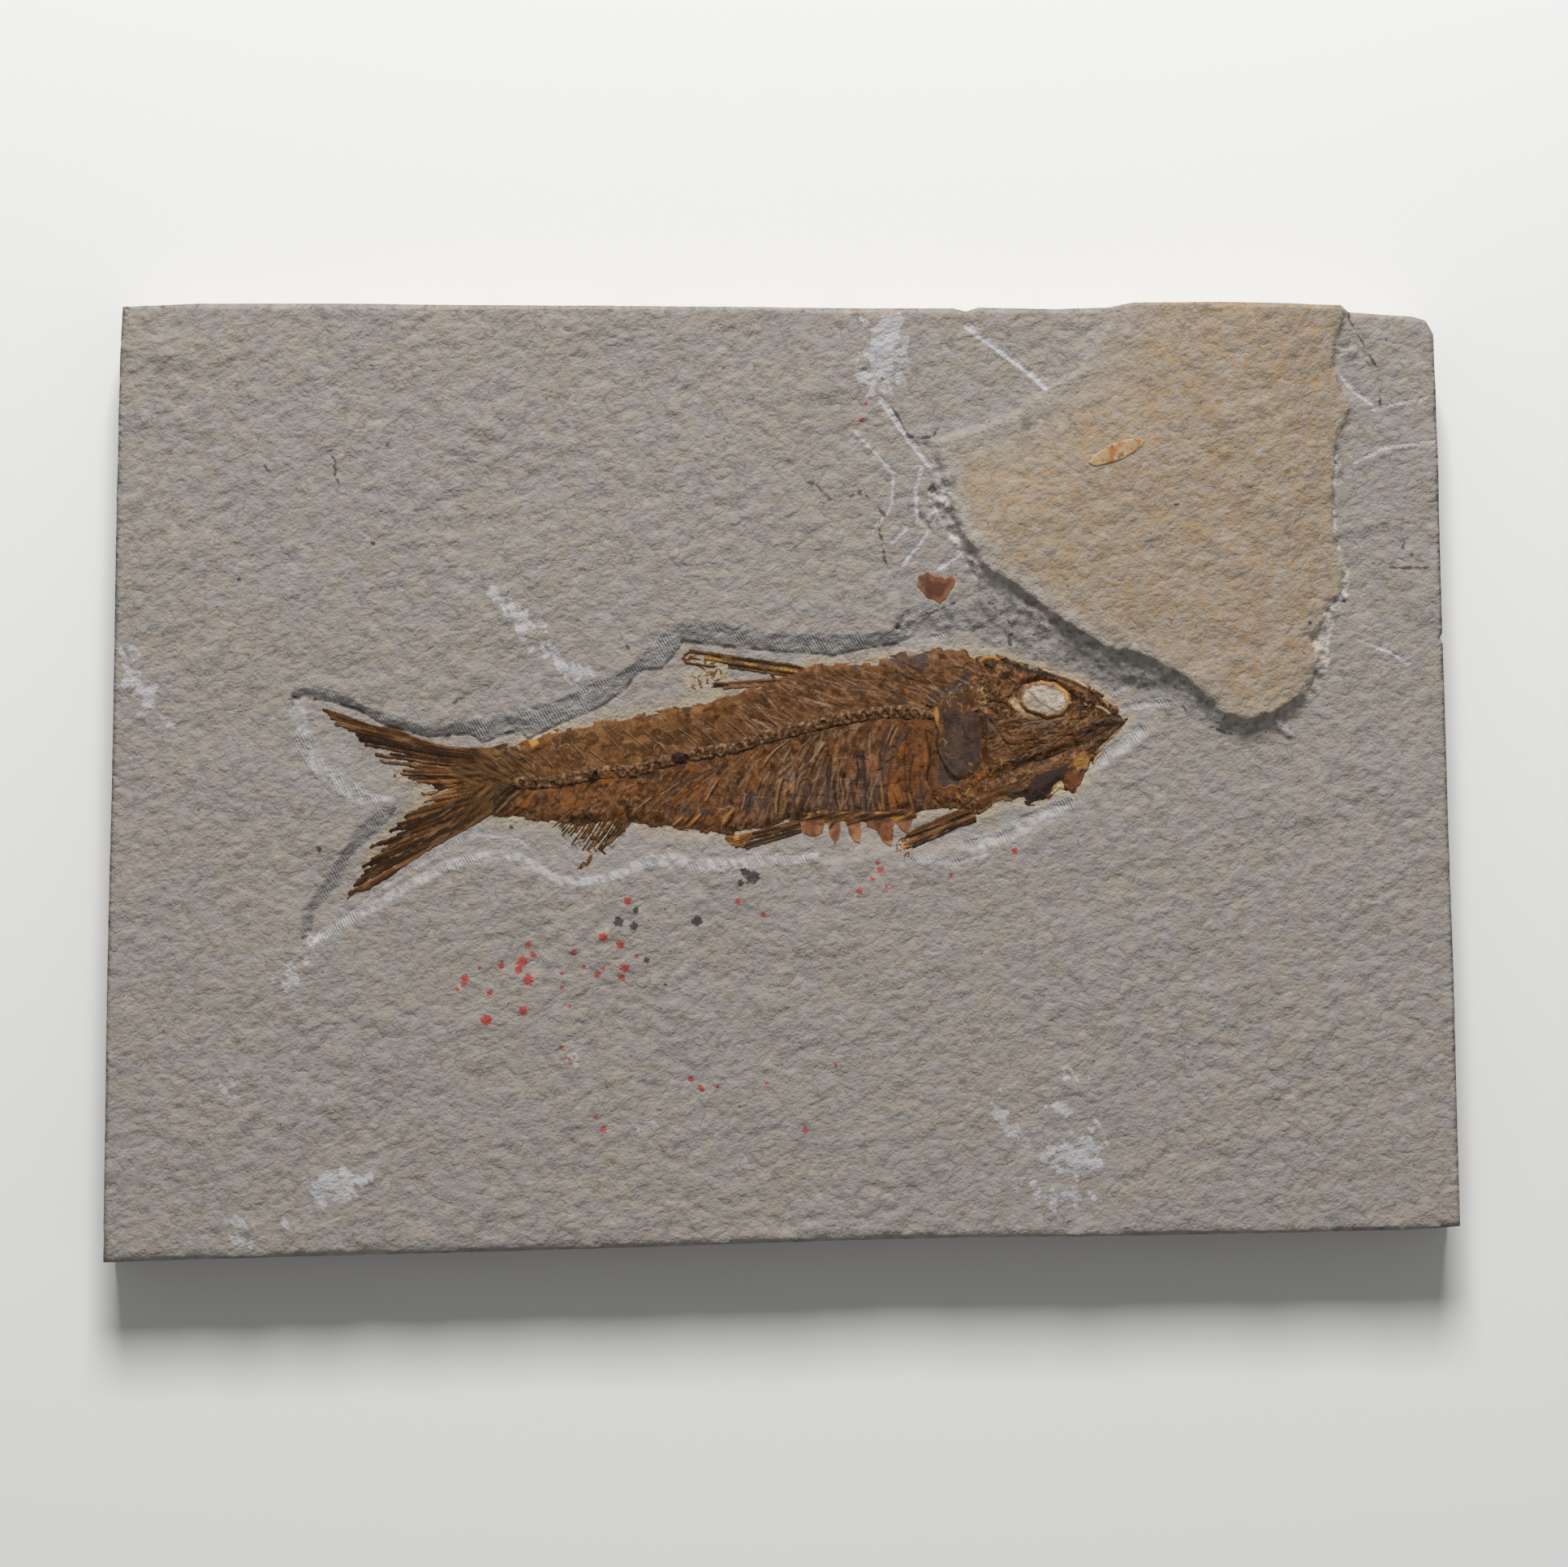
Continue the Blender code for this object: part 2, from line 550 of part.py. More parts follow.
def make_plates():
    """The smooth or lumpy bones: jaw, gill cover, scutes, torn ray, loose scale and fragment."""
    lumpy_bone(
        "lower_jaw", LOWER_JAW_OUTLINE, thickness=0.65 * MM, lumps=0.12 * MM, lump_size=2 * MM, seed=2.5,
        colour=(0.10, 0.055, 0.03), spacing=PLATE_SPACING,
    )
    lumpy_bone(
        "gill_cover", GILL_COVER_OUTLINE, thickness=0.9 * MM, lumps=0.06 * MM, lump_size=4 * MM, seed=6.5,
        colour=(0.075, 0.05, 0.035), spacing=PLATE_SPACING, roughness=0.4,
    )
    lumpy_bone(
        "belly_scutes", BELLY_SCUTES_OUTLINE, thickness=0.4 * MM, lumps=0.05 * MM, lump_size=1 * MM, seed=8.5,
        colour=(0.20, 0.09, 0.04), spacing=PLATE_SPACING,
    )
    lumpy_bone(
        "anal_fin_scrap", ANAL_SCRAP_OUTLINE, thickness=0.35 * MM, lumps=0.05 * MM, lump_size=1 * MM, seed=1.5,
        colour=(0.13, 0.07, 0.03), spacing=SMALL_SPACING,
    )
    lumpy_bone(
        "loose_scale", LOOSE_SCALE_OUTLINE, thickness=0.25 * MM, lumps=0.04 * MM, lump_size=2 * MM, seed=5.5,
        colour=(0.16, 0.07, 0.04), spacing=SMALL_SPACING, bed=SLAB_TOP + GAP, roughness=0.4,
    )
    lumpy_bone(
        "bone_fragment", BONE_FRAGMENT_OUTLINE, thickness=0.35 * MM, lumps=0.08 * MM, lump_size=1 * MM, seed=3.5,
        colour=(0.33, 0.17, 0.07), spacing=SMALL_SPACING, bed=SLAB_TOP + UPPER_BED_RISE + GAP,
    )


def make_fins():
    """Each fin's rays are thick towards its focus and thin towards its tips."""
    dark = (0.06, 0.032, 0.017)
    brown = (0.12, 0.06, 0.025)
    fin("tail_fin_upper", TAIL_UPPER_OUTLINE, (640, 962), math.radians(6), 26 * MM, 0.6 * MM, dark)
    fin("tail_fin_lower", TAIL_LOWER_OUTLINE, (655, 952), math.radians(5), 28 * MM, 0.6 * MM, dark)
    fin("dorsal_fin", DORSAL_FIN_OUTLINE, (1060, 840), math.radians(3), 22 * MM, 0.5 * MM, brown)
    fin("anal_fin", ANAL_FIN_OUTLINE, (800, 975), math.radians(12), 13 * MM, 0.45 * MM, brown)
    fin("pelvic_fin", PELVIC_FIN_OUTLINE, (1060, 1000), math.radians(4), 18 * MM, 0.45 * MM, dark)
    fin("pectoral_fin", PECTORAL_FIN_OUTLINE, (1260, 975), math.radians(5), 17 * MM, 0.5 * MM, dark)


def main():
    for obj in list(bpy.data.objects):
        bpy.data.objects.remove(obj, do_unlink=True)
    for name in ("knightia_fossil_fish", "cutters"):
        bpy.context.scene.collection.children.link(bpy.data.collections.new(name))
    make_slab()
    flank(
        "upper_flank", BACK_LINE, UPPER_FLANK_FRONT, UPPER_FLANK_REAR, 4.5 * MM, 0.65 * MM, (0.15, 0.07, 0.03),
    )
    flank(
        "lower_flank", BELLY_LINE, LOWER_FLANK_FRONT, LOWER_FLANK_REAR, 4.0 * MM, 0.65 * MM,
        (0.12, 0.063, 0.033),
    )
    make_backbone()
    make_skull()
    make_plates()
    make_fins()


main()
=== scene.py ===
"""Looks of a small fossil fish on a plate of pale limestone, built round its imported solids.

Plan shapes are read off a photograph taken from straight above. One of its pixels is a tenth of a
millimetre. X runs from the fish's tail to its head, Y from its belly to its back, and Z out of the rock.
The stone is one finely faceted piece. Each bone is a relief of its own whose rim dives into the stone,
so that its ragged outline is where bone and stone meet.
"""

import math
from functools import cache

import bpy
import numpy as np
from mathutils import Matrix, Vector, noise
from mathutils.geometry import delaunay_2d_cdt

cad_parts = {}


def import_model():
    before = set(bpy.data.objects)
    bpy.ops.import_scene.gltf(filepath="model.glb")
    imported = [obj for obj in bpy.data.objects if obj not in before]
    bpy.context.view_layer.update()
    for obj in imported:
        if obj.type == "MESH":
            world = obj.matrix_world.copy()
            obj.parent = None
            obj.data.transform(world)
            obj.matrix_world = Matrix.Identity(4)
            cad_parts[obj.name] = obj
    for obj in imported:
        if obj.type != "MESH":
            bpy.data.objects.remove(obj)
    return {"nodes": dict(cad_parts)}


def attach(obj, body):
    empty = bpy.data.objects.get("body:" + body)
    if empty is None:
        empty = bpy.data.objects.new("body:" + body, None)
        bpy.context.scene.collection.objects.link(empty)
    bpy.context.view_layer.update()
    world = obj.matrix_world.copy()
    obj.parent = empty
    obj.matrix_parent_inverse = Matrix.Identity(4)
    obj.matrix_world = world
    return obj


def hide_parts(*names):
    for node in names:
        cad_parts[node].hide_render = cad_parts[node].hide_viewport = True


MM = 0.001
PIXEL = 0.1 * MM
MIDDLE_PIXEL = (962.5, 965.0)

# Heights above the underside
SLAB_TOP = 9.0 * MM
UPPER_BED_RISE = 2.0 * MM
UPPER_BED_THIN_RISE = 0.7 * MM
RECESS_FLOOR = 8.2 * MM
EYE_STONE_RISE = 0.72 * MM
BONE_FOOT = 7.4 * MM

# How near two plan points may be before they are taken as one
WELD = 0.0001 * MM

# Widths of slopes and walls, seen from above
BED_THINNING = 14.0 * MM
BED_GRAIN_ANGLE = math.radians(-32)
SOFT_WALL = 3.6 * MM
SCRATCH_DEPTH_SHARE = 0.35
CRACK_DEPTH = 0.15 * MM
CRACK_HALF_WIDTH = 0.22 * MM

# The tool's ticks, the wisps of its scrapes, and how many waves a wave texture has in one unit
TICK_ANGLE = math.radians(28)
TICK_SPACING = 0.36 * MM
WISP_ANGLE = math.radians(-62)
WAVES_PER_UNIT = 3.18
# Rust in the upper bed: the size of its spots, the least noise that shows, and the strength
RUST_SPOTS = ((2.6 * MM, 0.48, 0.3), (0.8 * MM, 0.5, 0.6), (0.4 * MM, 0.55, 0.4))
# How far a mark is taken to be where there is none, in millimetres, and how much a speck's ink spreads
MARK_OFF = 9
SPECK_SPREAD = 1.35

# Lumps of the split surface
LUMP_SIZE = 6.5 * MM
LUMP_HEIGHT = 0.22 * MM
PEBBLE_SIZE = 2.3 * MM
PEBBLE_HEIGHT = 0.42 * MM
PEBBLE_STRETCH = 1.3
PEBBLE_ANGLE = math.radians(22)

# How finely the stone is faceted, from its tool marks to what the fish hides
EYE_SPACING = 0.12 * MM
MARK_SPACING = 0.25 * MM
LEDGE_SPACING = 0.36 * MM
OPEN_SPACING = 0.60 * MM
HIDDEN_SPACING = 1.6 * MM
SIDE_SPACING = 0.55 * MM
SIDE_ROWS = 12
SIDE_FIRST_SHARE = 0.015
SIDE_ROUGHNESS = 0.16 * MM
UNDERSIDE_SPACING = 2.4 * MM
UNDERSIDE_LUMPS = 0.12 * MM

# How finely the bones are faceted, and how deep their rims dive
BONE_SPACING = 0.105 * MM
DIVE = 0.22 * MM
BONE_EDGE = 0.12 * MM
CHIP_DIVE = 0.06 * MM
CHIP_SIDE = 0.8 * MM

# How far a stroke stands up or lies low, in millimetres
STROKE_RELIEF = 0.08

# Each bone material's roughness, the size of its grain, and how high the grain stands
BONE_LOOKS = {
    "flank_scales": (0.6, 0.22 * MM, 0.05 * MM),
    "skull_bone": (0.55, 0.2 * MM, 0.07 * MM),
    "gill_plate": (0.5, 0.3 * MM, 0.02 * MM),
    "vertebra_bone": (0.55, 0.18 * MM, 0.08 * MM),
    "fin_rays": (0.55, 0.18 * MM, 0.05 * MM),
    "red_brown_scale": (0.5, 0.3 * MM, 0.03 * MM),
    "rusty_bone": (0.85, 0.2 * MM, 0.06 * MM),
}

# The camera's place over the plate's top, the floor and the light
CAMERA_X = 0.35 * MM
CAMERA_Y = -0.05 * MM
CAMERA_HEIGHT = 0.5367
CAMERA_LENS = 100
CAMERA_SENSOR = 36
CAMERA_NEAR = 0.01
CAMERA_FAR = 10
FLOOR_HALF = 1.5
FLOOR_DROP = 0.5 * MM
FLOOR_COLOUR = (0.78, 0.78, 0.77)
FLOOR_ROUGHNESS = 0.9
KEY_PLACE = (0.0, 0.82, 0.62)
KEY_SIZE = 0.35
KEY_POWER = 12.8
FILL_STRENGTH = 0.25

SLAB_OUTLINE = [
    (151, 378), (250, 374), (400, 374), (600, 376), (780, 377), (900, 378), (1060, 380), (1175, 380),
    (1190, 384), (1205, 379), (1300, 381), (1365, 379), (1396, 373.5), (1500, 374), (1651, 377),
    (1662, 385), (1740, 390), (1757, 395), (1766, 412), (1768, 459), (1772, 580), (1777, 780),
    (1774, 786), (1778, 795), (1784, 1000), (1791, 1200), (1796, 1400), (1799, 1511), (1750, 1515),
    (1600, 1519), (1400, 1523), (1200, 1525), (1000, 1530), (800, 1537), (600, 1543), (400, 1548),
    (250, 1552), (126, 1556.5), (128, 1480), (132, 1200), (139, 900), (144, 600), (148, 440),
]
UPPER_BED_END = [
    (1396, 340), (1651, 340), (1653, 392), (1642, 418), (1640, 455), (1655, 490), (1660, 502),
    (1650, 525), (1641, 550), (1640, 600), (1640, 645), (1645, 678), (1653, 705), (1650, 722),
    (1637, 742), (1622, 772), (1606, 781), (1610, 796), (1620, 812), (1613, 836), (1605, 851),
    (1590, 864), (1570, 875),
]
UPPER_BED_FRONT = [
    (1550, 885), (1531, 887), (1507, 875), (1479, 852), (1456, 832), (1420, 812), (1396, 801),
    (1373, 800), (1353, 792), (1317, 769), (1286, 747), (1254, 721), (1214, 697), (1206, 678),
    (1189, 662), (1173, 618), (1165, 591),
]
UPPER_BED_BACK = [
    (1155, 545), (1180, 538), (1240, 520), (1280, 490), (1330, 460), (1345, 440), (1370, 400),
]
UPPER_BED_OUTLINE = UPPER_BED_END + UPPER_BED_FRONT + UPPER_BED_BACK
BED_FOOT_OUTLINE = [
    (1396, 330), (1656, 330), (1660, 392), (1650, 420), (1648, 450), (1664, 488), (1672, 498),
    (1658, 525), (1650, 551), (1646, 600), (1646, 650), (1653, 682), (1663, 705), (1661, 738),
    (1644, 762), (1640, 790), (1638, 820), (1628, 850), (1610, 872), (1592, 885), (1596, 910),
    (1586, 912), (1574, 900), (1554, 897), (1519, 906), (1499, 896), (1479, 881), (1460, 862),
    (1436, 844), (1404, 831), (1377, 822), (1357, 817), (1333, 801), (1301, 785), (1270, 766),
    (1250, 747), (1218, 735), (1199, 715), (1186, 692), (1170, 664), (1158, 640), (1140, 612),
    (1150, 591), (1146, 560), (1138, 540), (1170, 520), (1230, 496), (1268, 470), (1316, 440),
    (1335, 420), (1360, 380),
]
BED_FEATHER_LINE = [(1155, 545), (1240, 520), (1330, 460), (1370, 400), (1396, 340)]
# The recess's edge: where the tool cut above the fish, where the floor only slopes up, and the cut below
UPPER_CUT = [
    (361, 850), (385, 844), (409, 850), (436, 863), (461, 875), (492, 887), (519, 893), (547, 893),
    (581, 886), (615, 881), (650, 872), (677, 863), (705, 853), (736, 839), (764, 828), (781, 815),
    (797, 796), (820, 776), (861, 766), (894, 768), (935, 778), (976, 782), (1020, 780), (1061, 782),
    (1102, 774),
]
BLOCK_TOP = [
    (1106, 768), (1110, 752), (1131, 749), (1147, 755), (1161, 749), (1175, 743), (1195, 747),
    (1214, 738), (1232, 742), (1250, 747), (1270, 766), (1301, 785), (1333, 801), (1357, 817),
    (1377, 822), (1404, 831), (1436, 844),
]
BLOCK_FOOT = [
    (1110, 782), (1131, 774), (1159, 778), (1199, 781), (1215, 789), (1234, 803), (1247, 797),
    (1256, 806), (1301, 819), (1333, 829), (1365, 840), (1400, 848), (1430, 852),
]
SOFT_EDGE = [
    (1446, 850), (1440, 880), (1410, 914), (1375, 946), (1345, 976), (1318, 1004), (1262, 1042),
    (1188, 1062), (1127, 1066), (1060, 1062),
]
LOWER_CUT = [
    (1010, 1060), (985, 1064), (940, 1068), (900, 1074), (860, 1073), (820, 1067), (800, 1069),
    (780, 1076), (760, 1084), (740, 1089), (719, 1092), (690, 1090), (676, 1084), (660, 1075),
    (643, 1064), (620, 1060), (600, 1060), (580, 1064), (560, 1072), (540, 1079), (520, 1090),
    (500, 1100), (480, 1112), (460, 1125), (440, 1136), (420, 1148), (395, 1160), (382, 1166),
]
LOBE_CUT = [
    (372, 1156), (370, 1124), (375, 1115), (393, 1092), (408, 1068), (425, 1045), (437, 1022),
    (465, 998), (486, 992),
]
FORK_CUT = [
    (486, 984), (455, 992), (437, 992), (424, 981), (408, 970), (393, 958), (378, 943), (368, 925),
    (361, 900), (356, 878),
]
RECESS_OUTLINE = UPPER_CUT + BLOCK_TOP + SOFT_EDGE + LOWER_CUT + LOBE_CUT + FORK_CUT
# Where the cut walls reach the floor
UPPER_FOOT = [
    (361, 860), (402, 863), (443, 875), (471, 893), (502, 901), (526, 908), (553, 906), (578, 903),
    (595, 915), (626, 903), (640, 901), (650, 910), (667, 903), (688, 892), (719, 880), (746, 866),
    (769, 850), (777, 838), (792, 825), (815, 823), (836, 798), (841, 789), (882, 795), (922, 799),
    (963, 803), (1004, 805), (1029, 807), (1061, 799), (1102, 793), (1127, 784),
]
LOWER_FOOT = [
    (1010, 1050), (980, 1055), (940, 1055), (920, 1058), (880, 1059), (860, 1056), (840, 1051),
    (800, 1053), (780, 1061), (760, 1072), (740, 1078), (720, 1080), (700, 1080), (680, 1075),
    (660, 1062), (640, 1052), (612, 1047), (580, 1051), (560, 1058), (540, 1064), (520, 1076),
    (500, 1087), (480, 1098), (460, 1111), (440, 1122), (420, 1134), (400, 1148), (386, 1158),
]
LOBE_FOOT = [
    (384, 1150), (388, 1122), (398, 1112), (411, 1095), (424, 1072), (437, 1048), (456, 1032),
    (482, 1008), (490, 998),
]
FORK_FOOT = [
    (478, 981), (455, 978), (443, 970), (424, 953), (398, 933), (386, 912), (380, 895), (376, 875),
    (366, 862),
]
# Each wall's top line and foot line, and how deep it goes
CUTS = [
    (UPPER_CUT, UPPER_FOOT, 1.0), (LOWER_CUT, LOWER_FOOT, 0.65), (LOBE_CUT, LOBE_FOOT, 0.9),
    (FORK_CUT, FORK_FOOT, 0.6), (BLOCK_TOP, BLOCK_FOOT, 1.0),
]
# The walls in plan. A tool cut the first four, and the last is broken rock
UPPER_WALL = UPPER_CUT + UPPER_FOOT[::-1]
LOWER_WALL = LOWER_CUT + LOWER_FOOT[::-1]
LOBE_WALL = LOBE_CUT + LOBE_FOOT[::-1]
FORK_WALL = FORK_CUT + FORK_FOOT[::-1]
BLOCK_WALL = BLOCK_TOP + BLOCK_FOOT[::-1]
# Broken places, greyer and rougher than the rest
ROUGH_PATCHES = [
    BLOCK_WALL,
    [(1104, 625), (1125, 615), (1150, 622), (1176, 618), (1184, 648), (1160, 656), (1130, 648),
     (1108, 655)],
    [(1147, 595), (1165, 586), (1178, 600), (1168, 616), (1150, 612)],
    [(1122, 536), (1136, 530), (1150, 536), (1140, 546), (1126, 546)],
    [(1646, 420), (1665, 412), (1690, 440), (1686, 452), (1660, 448), (1648, 436)],
    [(1590, 885), (1612, 868), (1632, 830), (1640, 780), (1656, 745), (1640, 740), (1626, 775),
     (1624, 820), (1606, 850)],
    [(1636, 562), (1648, 560), (1656, 585), (1644, 592)],
]
# White lines where a tool skidded: their points and half their width
SCRATCHES = [
    ([(1191, 402), (1224, 426), (1255, 449), (1288, 477)], 0.42 * MM),
    ([(1086, 494), (1100, 513), (1120, 542), (1146, 574)], 0.38 * MM),
    ([(1054, 531), (1084, 564), (1101, 584)], 0.26 * MM),
    ([(1101, 584), (1099, 621), (1085, 643), (1075, 655)], 0.22 * MM),
    ([(1136, 574), (1128, 604), (1130, 635)], 0.30 * MM),
    ([(1170, 606), (1150, 631)], 0.30 * MM),
    ([(1144, 655), (1113, 696)], 0.28 * MM),
    ([(1117, 651), (1099, 668)], 0.26 * MM),
    ([(1181, 684), (1158, 700)], 0.32 * MM),
    ([(1651, 462), (1668, 482), (1690, 497)], 0.32 * MM),
    ([(1690, 505), (1758, 490)], 0.20 * MM),
    ([(1669, 570), (1706, 552), (1769, 544)], 0.24 * MM),
    ([(1672, 787), (1711, 803), (1737, 818)], 0.24 * MM),
]
# Ticked white bands and lines that the tool left on the recess floor
TOOL_BANDS = [
    ([(420, 1135), (460, 1100), (500, 1075), (540, 1052), (570, 1032), (590, 1027), (640, 1035),
      (655, 1045), (660, 1056)], 0.28 * MM),
    ([(740, 1045), (800, 1042)], 0.2 * MM),
    ([(820, 1046), (860, 1042)], 0.16 * MM),
    ([(905, 1052), (1005, 1052)], 0.16 * MM),
    ([(1256, 1014), (1316, 990)], 0.95 * MM),
    ([(1190, 1042), (1226, 1034), (1254, 1024), (1262, 1020)], 0.85 * MM),
    ([(1120, 1060), (1180, 1062), (1215, 1052)], 0.45 * MM),
    ([(1350, 938), (1382, 918), (1406, 900)], 1.1 * MM),
    ([(1386, 872), (1412, 866), (1440, 866)], 0.6 * MM),
    ([(1374, 852), (1400, 840)], 0.5 * MM),
    ([(1120, 790), (1165, 782)], 0.35 * MM),
]
# Fine cracks and edges: each is cut as a shallow trench and painted dark as the shade in it
CRACKS = [
    [(1216, 741), (1234, 757), (1250, 774), (1242, 785), (1246, 795)],
    [(1131, 750), (1147, 756), (1161, 749), (1175, 743)],
    [(1440, 852), (1463, 879), (1491, 896), (1519, 906)],
    [(1084, 650), (1090, 690), (1104, 717)],
    [(555, 868), (568, 860), (580, 858)],
    [(985, 590), (1010, 600), (1020, 615), (1040, 615), (1060, 605), (1075, 620), (1090, 635)],
    [(1725, 650), (1730, 665), (1728, 680), (1740, 684)],
    [(1675, 902), (1690, 906)],
    [(750, 740), (757, 765), (765, 785), (775, 800)],
    [(1203, 1068), (1225, 1058), (1235, 1060)],
    [(406, 557), (413, 571), (412, 585), (418, 594)],
    [(325, 573), (332, 582), (345, 578)],
    [(455, 450), (470, 453)],
    [(1660, 385), (1665, 400), (1690, 440), (1700, 470), (1700, 500)],
    [(1690, 695), (1725, 700), (1760, 700)],
    [(1100, 500), (1110, 520), (1120, 538), (1135, 540), (1150, 538), (1160, 520)],
]
# White smears
CHALK_PATCHES = [
    [(1060, 388), (1110, 384), (1112, 430), (1106, 478), (1085, 480), (1082, 488), (1068, 491),
     (1062, 440)],
    [(145, 792), (168, 800), (190, 850), (212, 895), (190, 890), (165, 862), (148, 830)],
    [(598, 724), (622, 728), (655, 765), (692, 795), (726, 836), (730, 850), (700, 848), (680, 824),
     (664, 802), (646, 790), (628, 765), (608, 748)],
    [(270, 1308), (291, 1330), (290, 1345), (272, 1352)],
    [(372, 1440), (414, 1445), (460, 1450), (430, 1475), (400, 1484), (385, 1470)],
    [(284, 1491), (303, 1510), (306, 1545), (288, 1530)],
    [(349, 1507), (362, 1520), (368, 1540), (352, 1525)],
    [(700, 1292), (718, 1294), (712, 1306), (700, 1305)],
    [(790, 1382), (804, 1384), (800, 1392), (791, 1392)],
    [(1228, 1345), (1245, 1360), (1268, 1400), (1262, 1425), (1240, 1400), (1226, 1370)],
    [(1280, 1350), (1322, 1356), (1318, 1368), (1284, 1366)],
    [(1296, 1328), (1334, 1320), (1334, 1332), (1300, 1338)],
    [(1289, 1410), (1355, 1385), (1362, 1425), (1330, 1450), (1290, 1440)],
    [(1240, 1450), (1300, 1465), (1364, 1476), (1300, 1485)],
    [(378, 1160), (400, 1148), (398, 1170), (380, 1180)],
    [(340, 1200), (372, 1180), (366, 1210), (350, 1225)],
]
# Each speck's place and radius in the photograph
RED_SPECKS = [
    (773, 1111, 4), (909, 1111, 3), (941, 1127, 3), (743, 1155, 4), (764, 1164, 4), (651, 1164, 3),
    (657, 1177, 3), (706, 1174, 3), (643, 1185, 5), (639, 1195, 4), (651, 1208, 5), (618, 1190, 3),
    (591, 1192, 2), (573, 1205, 4), (572, 1212, 3), (719, 1191, 2), (692, 1199, 2), (736, 1201, 3),
    (743, 1193, 2), (770, 1193, 4), (766, 1205, 3), (785, 1178, 2), (603, 1224, 3), (644, 1245, 4),
    (599, 1257, 5), (692, 1217, 2), (701, 1239, 2), (563, 1219, 2), (1092, 1093, 2), (1082, 1063, 2),
    (1085, 1072, 3), (1075, 1083, 2), (1059, 1098, 3), (1172, 1078, 2), (1250, 1049, 3),
    (851, 1330, 3), (864, 1341, 3), (884, 1339, 2), (691, 1290, 2), (702, 1306, 2), (1030, 1314, 2),
    (944, 1335, 2), (734, 1376, 2), (743, 1392, 3), (992, 1393, 3), (1067, 497, 2), (1062, 518, 2),
]
BLACK_SPECKS = [
    (917, 1075, 4), (928, 1081, 6), (912, 1088, 3), (921, 1088, 2), (762, 1136, 5), (781, 1141, 4),
    (859, 1135, 5), (784, 1122, 3), (393, 1046, 3), (486, 957, 2), (629, 1020, 2), (797, 1183, 3),
    (820, 1213, 2), (294, 714, 2), (459, 669, 2), (477, 548, 2), (1149, 603, 4), (1645, 570, 2),
    (1612, 768, 2), (1605, 805, 1), (1655, 740, 2), (1448, 623, 2),
]
LOOSE_SCALE_OUTLINE = [
    (1128, 722), (1131, 715), (1130, 709), (1138, 707), (1143, 702), (1151, 709), (1158, 708), (1164, 712),
    (1172, 707), (1178, 715), (1176, 723), (1171, 730), (1167, 738), (1158, 745), (1150, 740), (1143, 739),
    (1136, 731),
]
BONE_FRAGMENT_OUTLINE = [
    (1338, 573), (1346, 561), (1357, 555), (1372, 547), (1388, 542), (1402, 541), (1411, 544), (1407, 552),
    (1395, 560), (1381, 569), (1363, 574), (1348, 577),
]
# The fish's lines. All but the throat's run from left to right
BACKBONE_LINE = [
    (640, 965), (680, 964), (700, 960), (740, 952), (780, 950), (820, 938), (860, 929), (900, 923),
    (940, 909), (980, 899), (1020, 889), (1060, 881), (1100, 877), (1144, 879),
]
BACK_LINE = [
    (604, 923), (640, 916), (660, 908), (680, 902), (735, 891), (775, 885), (800, 878), (840, 871),
    (870, 868), (900, 856), (940, 844), (975, 830), (1000, 818), (1040, 819), (1080, 817),
    (1110, 806), (1140, 803), (1175, 798), (1190, 804), (1201, 812),
]
SKULL_TOP_LINE = [
    (1208, 809), (1218, 806), (1238, 812), (1262, 822), (1280, 823), (1300, 830), (1320, 837),
    (1340, 846), (1352, 855), (1372, 869), (1380, 880), (1391, 885),
]
THROAT_LINE = [
    (1384, 894), (1365, 914), (1347, 930), (1338, 950), (1333, 962), (1322, 975), (1306, 966),
    (1290, 982), (1268, 990), (1262, 981), (1250, 986), (1235, 986), (1222, 991), (1212, 999),
    (1201, 1004),
]
BELLY_LINE = [
    (608, 1004), (640, 1007), (680, 1012), (720, 1016), (775, 1012), (800, 1016), (840, 1021),
    (890, 1027), (925, 1024), (945, 1019), (978, 1009), (1010, 1006), (1050, 1004), (1100, 1001),
    (1130, 1000), (1160, 996), (1187, 995),
]
EYE_OUTLINE = [
    (1258, 856), (1263, 847), (1283, 842), (1300, 845), (1314, 855), (1317, 867), (1308, 878), (1291, 882),
    (1277, 876), (1266, 873), (1259, 865),
]
SNOUT_GAP = [(1379, 880), (1383, 877), (1392, 879), (1392, 884), (1384, 885)]
SKULL_OUTLINE = [
    (1201, 816), (1204, 804), (1218, 801), (1238, 807), (1262, 816), (1280, 818), (1300, 825),
    (1320, 831), (1342, 840), (1356, 850), (1377, 866), (1385, 876), (1397, 883), (1390, 892),
    (1375, 895), (1355, 905), (1335, 917), (1310, 927), (1285, 937), (1262, 944), (1240, 952),
    (1216, 965), (1200, 976), (1190, 982), (1188, 970), (1203, 950), (1208, 940), (1207, 915),
    (1206, 890), (1201, 874), (1194, 860), (1187, 842), (1194, 828),
]
LOWER_JAW_OUTLINE = [
    (1392, 888), (1388, 900), (1369, 918), (1352, 934), (1343, 952), (1338, 965), (1324, 981),
    (1308, 972), (1293, 987), (1267, 996), (1258, 988), (1250, 991), (1237, 992), (1226, 997),
    (1212, 1005), (1195, 1009), (1186, 998), (1190, 985), (1202, 974), (1218, 962), (1242, 950),
    (1264, 942), (1288, 935), (1312, 925), (1337, 915), (1357, 903), (1376, 893),
]
GILL_COVER_OUTLINE = [
    (1156, 886), (1153, 866), (1150, 856), (1168, 844), (1197, 828), (1200, 834), (1190, 846), (1196, 858),
    (1200, 868), (1208, 876), (1212, 903), (1214, 940), (1208, 954), (1196, 964), (1180, 968), (1164, 962),
    (1156, 946), (1152, 930), (1154, 912), (1158, 898),
]
